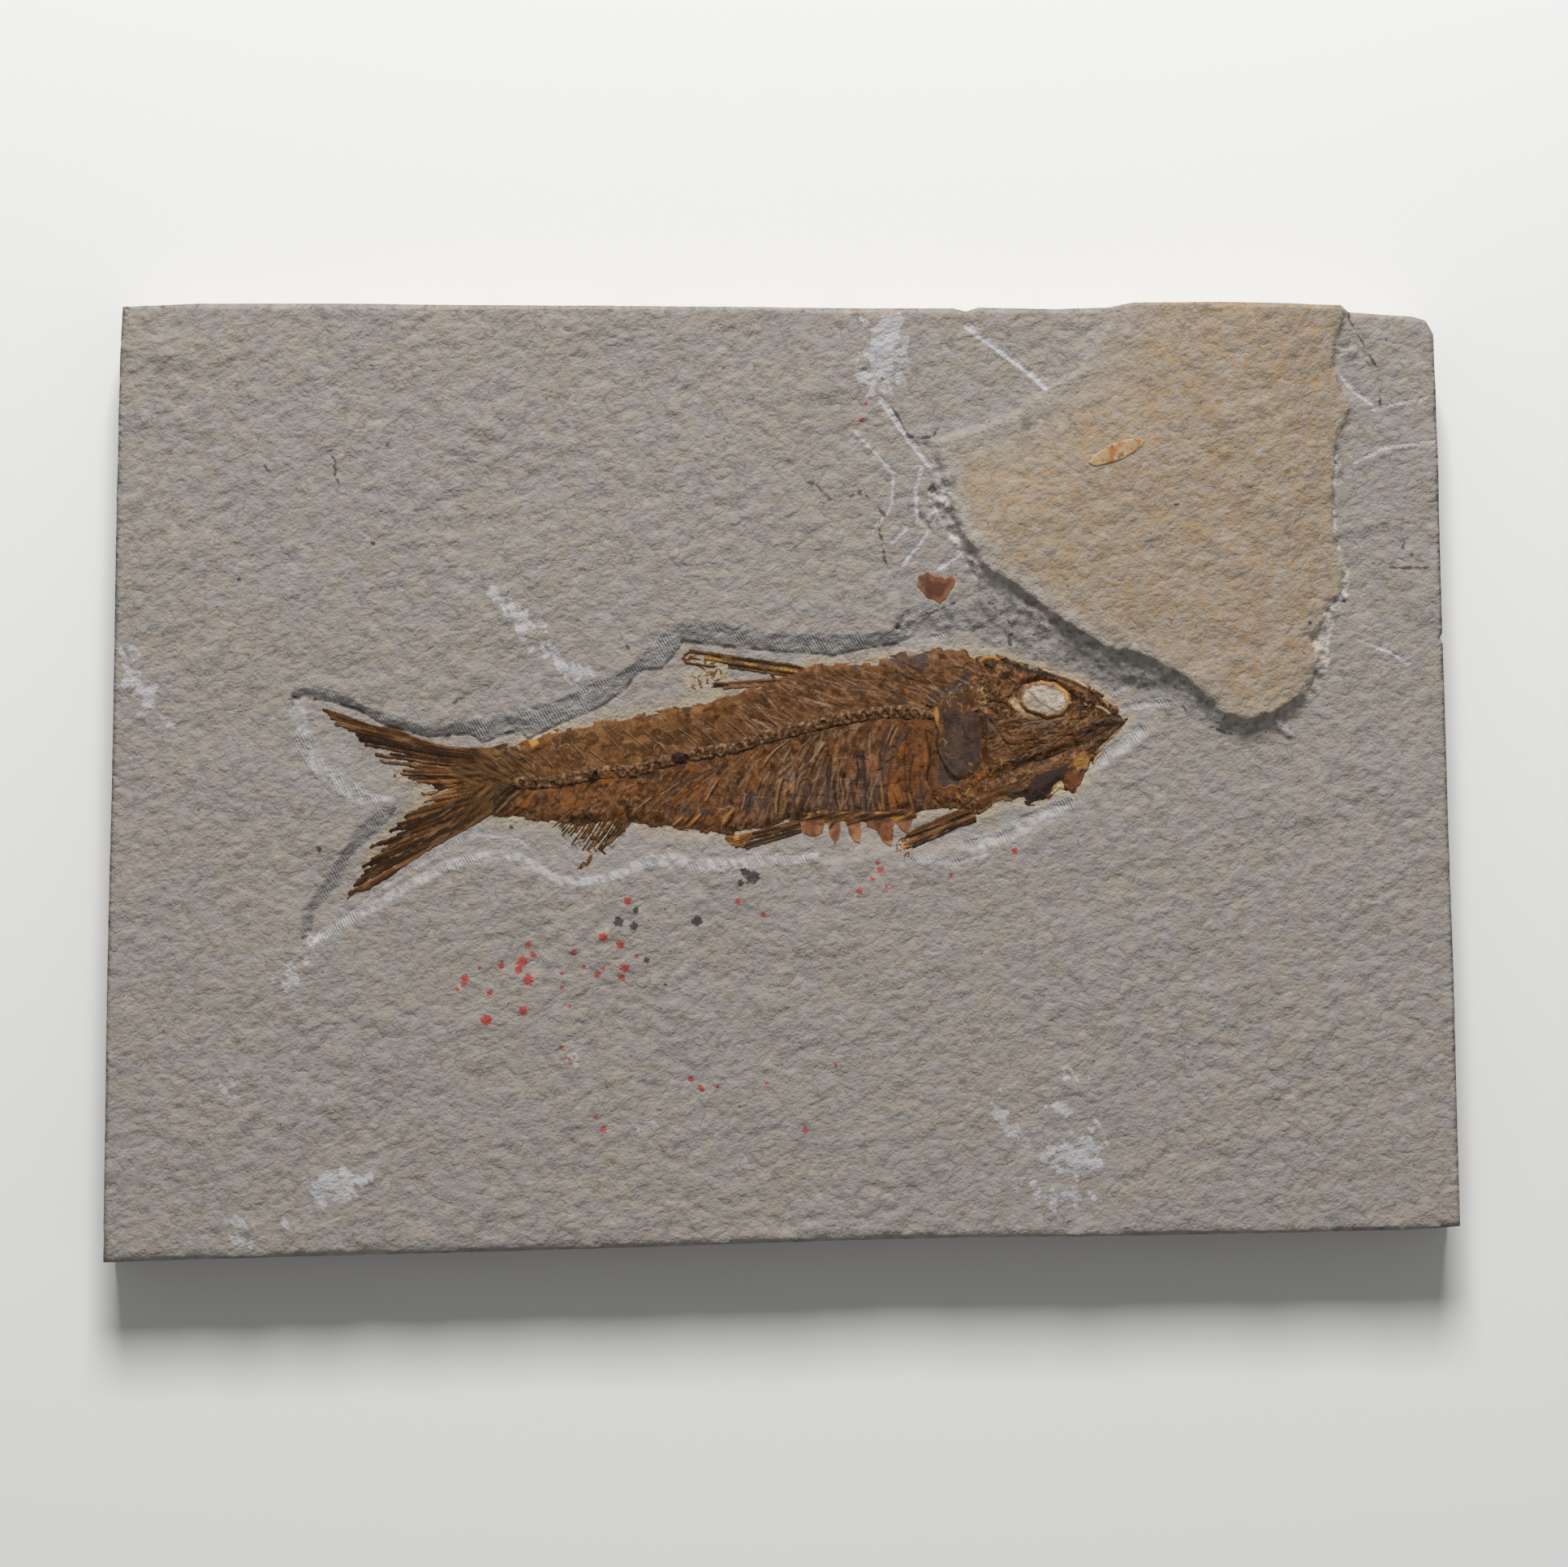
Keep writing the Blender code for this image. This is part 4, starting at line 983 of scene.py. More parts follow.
def side_share(points, heights):
    """1 on the plate's sides and underside, and 0 on its face."""
    near_rim = ramp(depth_in(points, SLAB_OUTLINE), 0.8 * MM, 0.6 * MM)
    below_rim = ramp(-heights, 0.3 * MM - SLAB_TOP, 0.7 * MM - SLAB_TOP)
    return np.maximum(near_rim * below_rim, ramp(-heights, -2 * MM, -MM))


def side_tint(points, heights):
    """Thin beds that run level round the sides, with dirty places."""
    along = points[:, 0] + points[:, 1]
    level = np.stack([along / 14, heights + 0.02 * points[:, 0]], axis=1)
    beds = layered(level, 1.5 * MM, 31.4)
    colour = mixed(SIDE_DARK, SIDE_PALE, ramp(beds, -0.5, 0.5))
    dirt = ramp(layered(np.stack([along, heights], axis=1), 2.5 * MM, 61.4), 0, 0.6)
    return mixed(colour, SIDE_DIRT, dirt * 0.5)


def stone_tint(points):
    """The stone's colour, without its fine grain and its marks."""
    drawn = turned(points, PEBBLE_ANGLE, 1.4)
    shade = 0.35 * layered(drawn, 9 * MM, 11.3) + 0.8 * layered(drawn, 1.7 * MM, 12.9)
    colour = mixed(STONE_GREY, STONE_TAN, ramp(shade, -0.6, 0.6))
    share = bed_share(points)
    near_fish = depth_inside(points, body_outline()) + 0.4 * MM * layered(points, 1.5 * MM, 7.7)
    colour = covered(colour, bed_coats(points, share) + [
        (broken_tint(points, share), roughness_at(points) * 0.85),
        (CREAM_FLOOR, ramp(near_fish, -1.9 * MM, -0.3 * MM) * 0.75),
    ])
    colour = painted(points, colour, STONE_PATCHES, [])
    # The wall by the tail's lower lobe: scraped grey, partly darkened further as painted shade
    fork_side = depth_in(points, LOBE_WALL) + 0.1 * MM * layered(points, 0.8 * MM, 6.2)
    colour = covered(colour, [
        (SCRAPED_STONE, scraped_share(points) * 0.8),
        (SCRAPE_GREY_AND_SHADE, ramp(fork_side, -0.05 * MM, 0.25 * MM) * 0.75),
    ] + eye_coats(points))
    return painted(points, colour, EYE_PATCHES, EYE_STROKES)


def bed_coats(points, share):
    """The upper bed's tan with grey places in it, and the paler stone along its front."""
    thin = thin_bed_distance(points)
    grey = ramp(layered(points, 1.6 * MM, 24.1), 0.1, 0.7) * 0.5
    front = depth_in(points, UPPER_BED_OUTLINE) + 1.2 * MM * layered(points, 2.5 * MM, 4.7)
    corner = ramp(points[:, 0] + points[:, 1], plan_x(1540) + 9 * MM, plan_x(1440) + 9 * MM)
    return [
        (BED_TAN, ramp(share, 0.8, 1) * (0.35 + 0.65 * ramp(thin, 0, 6 * MM)) * (1 - grey)),
        (STONE_PALE, ramp(share, 0.9, 1) * (ramp(front, 3 * MM, 0) * corner) * 0.7),
    ]


def thin_bed_distance(points):
    """Ragged distance from the line where the upper bed thins out."""
    return away_from(points, BED_FEATHER_LINE) + 1.5 * MM * layered(points, 4 * MM, 14.1)


def broken_tint(points, share):
    """Chips of broken stone with painted shadows between them, lightened as painted light on the slope of
    the upper bed, which lies in shade.
    """
    chips = mixed(CHIP_DARK, CHIP_PALE, broken_rock(points)[0])
    chips = mixed(chips, CHIP_SHADOW, ramp(layered(points, 0.7 * MM, 55.1), 0.15, 0.45) * 0.8)
    # Painted light: the chips on the upper bed's slope are lightened against the shade that falls there
    return mixed(chips, chips * 1.5, slope_share(share))


def eye_coats(points):
    """The mottled stone in the eye and its golden rim."""
    own = depth_in(points, EYE_OUTLINE)
    eye = ramp(own, -0.6 * MM, -0.4 * MM)
    stone = mixed(EYE_STONE, EYE_STAIN, ramp(layered(points, 0.9 * MM, 3.6), 0, 0.6))
    rim = own + 0.3 * MM * layered(points, 0.7 * MM, 13.6, 4)
    golden = mixed(GOLDEN, GOLDEN_SHADOW, ramp(layered(points, 0.5 * MM, 14.6), -0.1, 0.4))
    return [(stone, eye), (golden, eye * ramp(rim, 0.34 * MM, 0.14 * MM) * 0.9)]


def scraped_share(points):
    """1 where a tool scraped a wall or a band, and 0 elsewhere."""
    walls = ramp(wall_depth(points) + 0.12 * MM * layered(points, 0.7 * MM, 6.2), -0.15 * MM, 0.15 * MM)
    bands = -beside_strips(points, TOOL_BANDS) + 0.2 * MM * layered(points, 0.8 * MM, 7.9)
    return np.maximum(walls, ramp(bands, -0.1 * MM, 0.15 * MM))


def beside_strips(points, strips):
    """Distance from the edge of the nearest strip, negative inside it. A strip has a half width."""
    return np.min([away_from(points, line) - half_width for line, half_width in strips], axis=0)


def store_marks(slab, points, side):
    """Shares of the marks that are only colour or very fine, and distances to them in millimetres."""
    # The lower and fork walls face the light: their white is partly scraped stone and partly painted light
    lit_walls = deepest(points, [LOWER_WALL, FORK_WALL])
    white_and_lit = ramp(np.maximum(lit_walls, -beside_strips(points, TOOL_BANDS)), -0.3 * MM, 0)
    cracks = beside_strips(points, [(line, 0) for line in CRACKS + [UPPER_FOOT]])
    front = away_from(points, UPPER_BED_FRONT) + 0.8 * MM * layered(points, 2 * MM, 4.9)
    thick = ramp(thin_bed_distance(points), MM, 7 * MM)
    stained = 0.35 + 0.65 * ramp(front, 0.5 * MM, 3.5 * MM)
    marks = {
        "scraped": scraped_share(points) * (1 - side),
        "white_and_lit": 0.15 + 0.65 * white_and_lit,
        "scratch": beside_strips(points, SCRATCHES) / MM + MARK_OFF * side,
        "chalk": np.maximum(deepest(points, CHALK_PATCHES), -MARK_OFF * MM) / MM - MARK_OFF * side,
        "crack": cracks / MM + MARK_OFF * side,
        "upper_bed": (1 - side) * bed_share(points) * thick * stained,
        "red_speck": speck_distance(points, RED_SPECKS) / MM,
        "black_speck": speck_distance(points, BLACK_SPECKS) / MM,
    }
    for name, values in marks.items():
        store(slab, name, values)


def speck_distance(points, specks):
    """Distance from the edge of the nearest speck, negative inside it."""
    nearest = np.full(len(points), MARK_OFF * MM)
    for u, v, radius in specks:
        away = np.linalg.norm(points - plan([(u, v)])[0], axis=1)
        nearest = np.minimum(nearest, away - SPECK_SPREAD * radius * PIXEL)
    return nearest


class Graph:
    """A material's node graph, with a call for each kind of node that the materials here use."""

    def __init__(self, name, roughness, specular=0.25):
        self.material = bpy.data.materials.new(name)
        self.material.use_nodes = True
        self.tree = self.material.node_tree
        self.shader = self.tree.nodes["Principled BSDF"]
        self.shader.inputs["Roughness"].default_value = roughness
        self.shader.inputs["Specular IOR Level"].default_value = specular
        self.place = self.tree.nodes.new("ShaderNodeTexCoord").outputs["Object"]

    def put(self, socket, value):
        """Joins an output to the socket, or sets the socket's own colour or number."""
        if isinstance(value, bpy.types.NodeSocket):
            self.tree.links.new(value, socket)
        elif socket.type == "RGBA":
            socket.default_value = (*value, 1)
        else:
            socket.default_value = value

    def attribute(self, name, output="Fac"):
        """What is stored under this name for each corner of the mesh."""
        node = self.tree.nodes.new("ShaderNodeAttribute")
        node.attribute_name = name
        return node.outputs[output]

    def stretched(self, angle, stretch):
        """Coordinates in which noise is drawn out along an angle in plan."""
        node = self.tree.nodes.new("ShaderNodeMapping")
        node.vector_type = "TEXTURE"
        self.put(node.inputs["Vector"], self.place)
        node.inputs["Rotation"].default_value = (0, 0, angle)
        node.inputs["Scale"].default_value = (stretch, 1, 1)
        return node.outputs[0]

    def noise(self, size, detail=3.0, place=None):
        """Noise from 0 to 1 whose lumps are about this size in metres."""
        node = self.tree.nodes.new("ShaderNodeTexNoise")
        self.put(node.inputs["Vector"], place or self.place)
        node.inputs["Scale"].default_value = 1 / size
        node.inputs["Detail"].default_value = detail
        return node.outputs["Fac"]

    def cells(self, size, place=None):
        """Distance to the nearest of many scattered points, from 0 at each."""
        node = self.tree.nodes.new("ShaderNodeTexVoronoi")
        self.put(node.inputs["Vector"], place or self.place)
        node.inputs["Scale"].default_value = 1 / size
        return node.outputs["Distance"]

    def math(self, operation, first, second=0.0):
        node = self.tree.nodes.new("ShaderNodeMath")
        node.operation = operation
        self.put(node.inputs[0], first)
        self.put(node.inputs[1], second)
        return node.outputs[0]

    def times(self, first, second):
        return self.math("MULTIPLY", first, second)

    def plus(self, first, second):
        return self.math("ADD", first, second)

    def centred(self, value):
        """Noise moved down so that its middle is 0."""
        return self.math("SUBTRACT", value, 0.5)

    def between(self, value, low, high, start=0.0, end=1.0):
        """A smooth change from start to end as the value goes from low to high."""
        node = self.tree.nodes.new("ShaderNodeMapRange")
        node.interpolation_type = "SMOOTHSTEP"
        for socket, number in zip(node.inputs, (value, low, high, start, end)):
            self.put(socket, number)
        return node.outputs[0]

    def mix(self, share, first, second):
        """The first colour where the share is 0 and the second where it is 1."""
        node = self.tree.nodes.new("ShaderNodeMix")
        node.data_type = "RGBA"
        sockets = {socket.identifier: socket for socket in [*node.inputs, *node.outputs]}
        self.put(sockets["Factor_Float"], share)
        self.put(sockets["A_Color"], first)
        self.put(sockets["B_Color"], second)
        return sockets["Result_Color"]

    def finish(self, colour, relief, distance, roughness=None):
        """Joins a colour, a relief from 0 to 1 and its height to the shader."""
        bump = self.tree.nodes.new("ShaderNodeBump")
        bump.inputs["Distance"].default_value = distance
        self.put(bump.inputs["Height"], relief)
        self.put(self.shader.inputs["Normal"], bump.outputs[0])
        self.put(self.shader.inputs["Base Color"], colour)
        if roughness is not None:
            self.put(self.shader.inputs["Roughness"], roughness)
        return self.material


def stone_material():
    """Limestone: mottled grey and tan, with rust in the upper bed, chalk, scratches and specks, painted
    shade in its creases and cracks, and scrapes that are whiter on the walls facing the light, partly as
    painted light.
    """
    g = Graph("limestone", 0.92)
    drawn = g.stretched(PEBBLE_ANGLE, 1.15)
    coarse = g.noise(1.3 * MM, 4, drawn)
    fine = g.noise(0.3 * MM, 4)
    pebbles = g.math("ABSOLUTE", g.centred(g.noise(1.5 * MM, 3, drawn)))
    wisps = g.noise(0.8 * MM, 5, g.stretched(WISP_ANGLE, 3))
    scraped = g.times(g.attribute("scraped"), g.between(wisps, 0.3, 0.5, 0.4, 0.95))
    ticks = g.times(tick_marks(g), g.between(g.noise(2.5 * MM, 3), 0.42, 0.6, 0.1, 1))
    colour = stone_grain(g, coarse, fine, pebbles)
    # Scrapes whitened: the tool bands for their own white, and the lower and fork walls also as painted
    # light
    white_and_lit = g.between(wisps, 0.38, 0.62, 0, g.attribute("white_and_lit"))
    white = g.math("MAXIMUM", g.between(ticks, 0.3, 0.9, 0, 0.35), white_and_lit)
    colour = g.mix(g.times(scraped, white), colour, TOOL_WHITE)
    colour = stone_marks(g, colour, fine, wisps)
    relief = g.plus(g.times(pebbles, 1.4), g.times(fine, 0.3))
    relief = g.plus(relief, g.times(coarse, 1.1))
    relief = g.plus(relief, g.times(g.times(scraped, ticks), 0.3))
    return g.finish(colour, relief, 0.35 * MM)


def stone_grain(g, coarse, fine, pebbles):
    """The stone's painted colour with its grain, painted shade in the creases between pebbles, rust spots
    and pits.
    """
    colour = g.attribute("tint", "Color")
    colour = g.mix(g.between(coarse, 0.52, 0.74, 0, 0.45), colour, GRAIN_GREY)
    colour = g.mix(g.between(coarse, 0.48, 0.28, 0, 0.5), colour, GRAIN_PALE)
    colour = g.mix(g.between(fine, 0.55, 0.8, 0, 0.45), colour, GRAIN_DARK)
    # Painted shade: the valleys between the bumped pebbles are darkened as if in shadow
    creases = g.times(g.between(pebbles, 0.045, 0.0), g.between(g.noise(2.2 * MM, 2), 0.5, 0.62))
    colour = g.mix(g.times(creases, 0.4), colour, CREASE_SHADE)
    bed = g.between(g.attribute("upper_bed"), 0.3, 1.0)
    for size, low, strength in RUST_SPOTS:
        spots = g.between(g.noise(size, 3), low, low + 0.2, 0, strength)
        colour = g.mix(g.times(bed, spots), colour, RUST)
    pits = g.times(g.between(g.cells(2.6 * MM), 0.07, 0.03), g.between(g.noise(5 * MM, 0), 0.45, 0.55))
    return g.mix(g.times(pits, 0.8), colour, PIT_INK)


def stone_marks(g, colour, fine, wisps):
    """The colour with chalk, scratches and specks over it, and painted shade along the cracks."""
    ragged = g.plus(g.noise(1.6 * MM, 5), g.times(g.centred(wisps), 0.6))
    chalk = g.plus(g.attribute("chalk"), g.between(ragged, 0.3, 0.72, -1.6, 1.2))
    colour = g.mix(g.between(chalk, -0.2, 0.6, 0, 0.75), colour, CHALK)
    scratch = g.plus(g.attribute("scratch"), g.between(fine, 0.3, 0.7, -0.1, 0.14))
    colour = g.mix(g.between(scratch, 0.06, -0.12, 0, 0.85), colour, CHALK)
    # Painted shade: the cracks and the feet of the cut walls are darkened as the shadow in them
    crack = g.plus(g.attribute("crack"), g.between(g.noise(1.5 * MM, 4), 0.35, 0.65, -0.12, 0.16))
    colour = g.mix(g.between(crack, 0.22, 0.06, 0, 0.8), colour, CRACK_SHADE)
    for name, ink in (("black_speck", BLACK), ("red_speck", RED)):
        near = g.plus(g.attribute(name), g.between(fine, 0.3, 0.7, -0.16, 0.16))
        colour = g.mix(g.between(near, 0.06, -0.1, 0, 0.85), colour, ink)
    return colour


def tick_marks(g):
    """Fine stripes a third of a millimetre apart, as a vibrating point leaves them."""
    node = g.tree.nodes.new("ShaderNodeTexWave")
    node.bands_direction = "X"
    g.put(node.inputs["Vector"], g.stretched(TICK_ANGLE, 1))
    node.inputs["Scale"].default_value = 1 / TICK_SPACING / WAVES_PER_UNIT
    node.inputs["Distortion"].default_value = 3.0
    node.inputs["Detail Scale"].default_value = 1.2
    return node.outputs["Fac"]


def finished(piece, node):
    """Puts a piece in the place of its solid."""
    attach(piece, "root")
    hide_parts(node)


@cache
def bone_material(name):
    """Fossil bone: its painted colour under a fine grain that also roughens it. Each is made once."""
    roughness, grain, grain_height = BONE_LOOKS[name]
    g = Graph(name, roughness, BONE_SPECULAR)
    fine = g.noise(grain, 4)
    colour = g.mix(g.between(fine, 0.4, 0.75, 0, 0.3), g.attribute("tint", "Color"), BONE_SHADOW)
    colour = g.mix(g.between(fine, 0.5, 0.25, 0, 0.14), colour, GOLDEN)
    rough = g.between(fine, 0.3, 0.7, roughness - 0.1, roughness + 0.12)
    return g.finish(colour, fine, grain_height, rough)


# Colours of the bones
BONE_SPECULAR = 0.12
BONE_SHADOW = (0.02, 0.012, 0.007)
INK = linear(28, 18, 12)
DARK = linear(54, 35, 20)
BROWN = linear(92, 59, 30)
WARM = linear(118, 78, 44)
RED_BROWN = linear(112, 68, 38)
ORANGE = linear(152, 90, 36)
OCHRE = linear(186, 136, 66)
CREAM = linear(206, 180, 134)
SLATE = linear(74, 62, 58)
GREY = linear(120, 108, 98)
PALE = linear(182, 150, 120)
TAN = linear(154, 114, 76)
LIGHT = linear(150, 110, 78)
SCALE_SHADOW = linear(64, 42, 24)
SCALE_LIGHT = linear(144, 102, 66)
ROOT_BROWN = linear(98, 68, 36)
ROOT_DARK = linear(48, 32, 20)
ROOT_LIGHT = linear(146, 106, 66)
BACK_INKS = [linear(78, 50, 24), BROWN, linear(116, 76, 36), WARM, BROWN, linear(140, 98, 58)]
BACK_LIGHT = linear(146, 102, 68)
UMBER = linear(88, 58, 34)
BELLY_INKS = [DARK, UMBER, RED_BROWN, BROWN, linear(124, 76, 42), BROWN]
BELLY_RED = linear(116, 70, 38)
BELLY_ORANGE = linear(142, 88, 42)
RIB_PALE = linear(150, 118, 88)
KNOB_DARK = linear(88, 60, 38)
KNOB_LIGHT = linear(132, 98, 68)
EYE_RIM = linear(172, 122, 70)
FLESH_DARK = linear(58, 38, 24)
FLESH_LIGHT = linear(142, 100, 72)
GILL_BROWN = linear(80, 64, 56)
GILL_DARK = linear(60, 46, 40)
GILL_LIGHT = linear(92, 70, 54)
SCUTE_LIGHT = linear(170, 118, 82)
SCUTE_DARK = linear(106, 64, 40)
SCUTE_EDGE = linear(196, 152, 112)
CHIP_RIM = linear(142, 98, 72)
CHIP_MIDDLE = linear(98, 62, 46)
CHIP_STAIN = linear(78, 52, 42)
FRAGMENT_PALE = linear(182, 154, 120)
FRAGMENT_RUST = linear(170, 118, 72)
FRAGMENT_STAIN = linear(88, 62, 44)

# Blots over the base colour: each one's colour, size, least noise and strength
SKULL_BLOTS = [
    (DARK, 1.5 * MM, -0.1, 0.7), (TAN, 0.6 * MM, 0.15, 0.75), (INK, 0.5 * MM, 0.15, 0.8),
    (ORANGE, 0.9 * MM, 0.35, 0.5),
]
JAW_BLOTS = [(ORANGE, 0.9 * MM, 0.25, 0.4), (INK, 0.7 * MM, 0.0, 0.7), (TAN, 0.4 * MM, 0.25, 0.7)]
GILL_BLOTS = [(GILL_DARK, 1.6 * MM, -0.1, 0.8), (GILL_LIGHT, 0.9 * MM, 0.2, 0.6)]
# Patches of another colour on the backbone and on the body: colour, outline and strength
SPINE_PATCHES = [
    (INK, [(828, 930), (836, 926), (847, 930), (849, 938), (838, 942), (828, 938)], 0.9),
    (INK, [(730, 950), (736, 946), (737, 964), (727, 966)], 0.85),
    (ORANGE, [(738, 952), (760, 950), (762, 962), (742, 966)], 0.5),
]
BODY_PATCHES = SPINE_PATCHES + [
    (SLATE, [(1098, 803), (1108, 798), (1118, 806), (1116, 818), (1104, 822), (1096, 814)], 0.7),
    (SLATE, [(1120, 810), (1130, 803), (1142, 805), (1145, 820), (1134, 828), (1120, 822)], 0.9),
    (DARK, [(1154, 805), (1164, 804), (1168, 812), (1158, 813)], 0.9),
    (WARM, [(1163, 800), (1176, 797), (1190, 803), (1194, 814), (1180, 822), (1166, 812)], 0.7),
    (RED_BROWN, [(1018, 816), (1024, 811), (1030, 814), (1030, 824), (1020, 824)], 0.8),
    (SLATE, [(1137, 866), (1150, 858), (1170, 843), (1193, 830), (1196, 835), (1180, 850),
             (1160, 866)], 0.85),
    (linear(72, 55, 36), [(592, 966), (630, 963), (641, 969), (610, 1001), (588, 1004)], 0.8),
    (linear(112, 114, 112), [(598, 953), (606, 952), (608, 959), (600, 961)], 0.7),
    (OCHRE, [(650, 912), (658, 908), (664, 916), (656, 922)], 0.8),
    (ORANGE, [(660, 905), (690, 898), (700, 900), (672, 912)], 0.5),
    (DARK, [(982, 1012), (978, 994), (986, 986), (998, 990), (998, 1006)], 0.8),
    (SLATE, [(914, 985), (926, 974), (936, 984), (936, 1000), (920, 1004)], 0.7),
    (SLATE, [(1040, 985), (1052, 978), (1066, 984), (1078, 1000), (1050, 1006)], 0.7),
    (OCHRE, [(1006, 1000), (1016, 998), (1030, 1004), (1024, 1012), (1012, 1010)], 0.8),
    (ORANGE, [(1101, 930), (1108, 914), (1117, 914), (1118, 928), (1110, 934)], 0.55),
    (ORANGE, [(1092, 964), (1104, 958), (1112, 985), (1106, 1002), (1096, 998)], 0.4),
    (SLATE, [(839, 992), (849, 990), (853, 1003), (845, 1008), (838, 1002)], 0.85),
    (SLATE, [(862, 994), (870, 993), (872, 1003), (864, 1005)], 0.85),
    (SLATE, [(936, 988), (944, 986), (950, 1004), (942, 1012), (934, 1006)], 0.8),
    (SLATE, [(889, 985), (896, 984), (898, 996), (891, 998)], 0.7),
    (SLATE, [(1010, 942), (1022, 940), (1026, 968), (1020, 990), (1010, 978)], 0.55),
    (SLATE, [(1062, 925), (1084, 948), (1086, 990), (1066, 992), (1060, 950)], 0.5),
    (linear(140, 92, 54), [(1067, 934), (1074, 926), (1082, 936), (1082, 956), (1070, 958)], 0.8),
    (linear(134, 84, 46), [(1042, 934), (1050, 930), (1052, 954), (1044, 958)], 0.7),
    (linear(150, 120, 92), [(1004, 918), (1012, 910), (1016, 916), (1009, 927)], 0.8),
    (linear(130, 110, 92), [(969, 950), (978, 946), (981, 960), (974, 966)], 0.7),
    (TAN, [(972, 966), (979, 964), (980, 976), (974, 978)], 0.7),
    (SLATE, [(1128, 972), (1142, 968), (1148, 990), (1136, 1002), (1126, 992)], 0.5),
    (DARK, [(1112, 1004), (1126, 996), (1140, 1002), (1130, 1018), (1116, 1014)], 0.75),
    (OCHRE, [(1149, 876), (1155, 872), (1157, 884), (1156, 896), (1150, 892)], 0.9),
    (ORANGE, [(690, 985), (700, 975), (712, 984), (706, 998), (692, 996)], 0.5),
    (ORANGE, [(640, 985), (655, 980), (660, 990), (646, 996)], 0.6),
    (SLATE, [(1150, 944), (1160, 938), (1176, 952), (1182, 966), (1160, 968)], 0.8),
]
# Strokes of another colour: colour, points, half width and strength
BODY_STROKES = [
    (INK, [(776, 985), (772, 998), (775, 1012)], 0.28 * MM, 0.8),
    (INK, [(640, 968), (625, 980), (606, 1003)], 0.26 * MM, 0.9),
    (INK, [(652, 970), (634, 984), (612, 1004)], 0.16 * MM, 0.8),
    (INK, [(632, 968), (616, 980), (600, 996)], 0.16 * MM, 0.8),
    (TAN, [(646, 970), (630, 982), (610, 1002)], 0.08 * MM, 0.7),
    (INK, [(858, 1000), (845, 1016)], 0.18 * MM, 0.9),
    (INK, [(868, 1002), (852, 1020)], 0.14 * MM, 0.8),
    (OCHRE, [(864, 1002), (850, 1018)], 0.1 * MM, 0.9),
    (INK, [(905, 1003), (893, 1024)], 0.2 * MM, 0.9),
    (OCHRE, [(904, 998), (890, 1010)], 0.14 * MM, 0.8),
    (INK, [(1031, 1010), (1021, 1022), (1011, 1035)], 0.22 * MM, 0.95),
    (INK, [(1038, 1018), (1070, 1010), (1090, 1006), (1107, 1001)], 0.15 * MM, 0.9),
    (INK, [(1066, 809), (1078, 817)], 0.14 * MM, 0.9),
    (INK, [(978, 1013), (1000, 1009), (1016, 1005)], 0.14 * MM, 0.8),
    (INK, [(930, 1024), (950, 1014), (975, 1006)], 0.12 * MM, 0.8),
    (INK, [(1148, 878), (1152, 892), (1158, 905)], 0.18 * MM, 0.9),
    (INK, [(1157, 900), (1154, 916), (1158, 934), (1168, 950), (1182, 958)], 0.12 * MM, 0.9),
    (INK, [(1098, 892), (1088, 908), (1084, 930), (1088, 960), (1092, 1000)], 0.2 * MM, 0.6),
    (SLATE, [(1096, 890), (1090, 905), (1088, 925)], 0.25 * MM, 0.7),
    (INK, [(1118, 900), (1114, 930), (1116, 970), (1120, 995)], 0.12 * MM, 0.6),
    (INK, [(1140, 900), (1146, 930), (1142, 965)], 0.14 * MM, 0.7),
    # A painted shadow along the lower edge of the backbone
    (INK, [(700, 960), (760, 958), (820, 944), (880, 931), (940, 917), (1000, 902), (1060, 889)],
     0.12 * MM, 0.7),
]
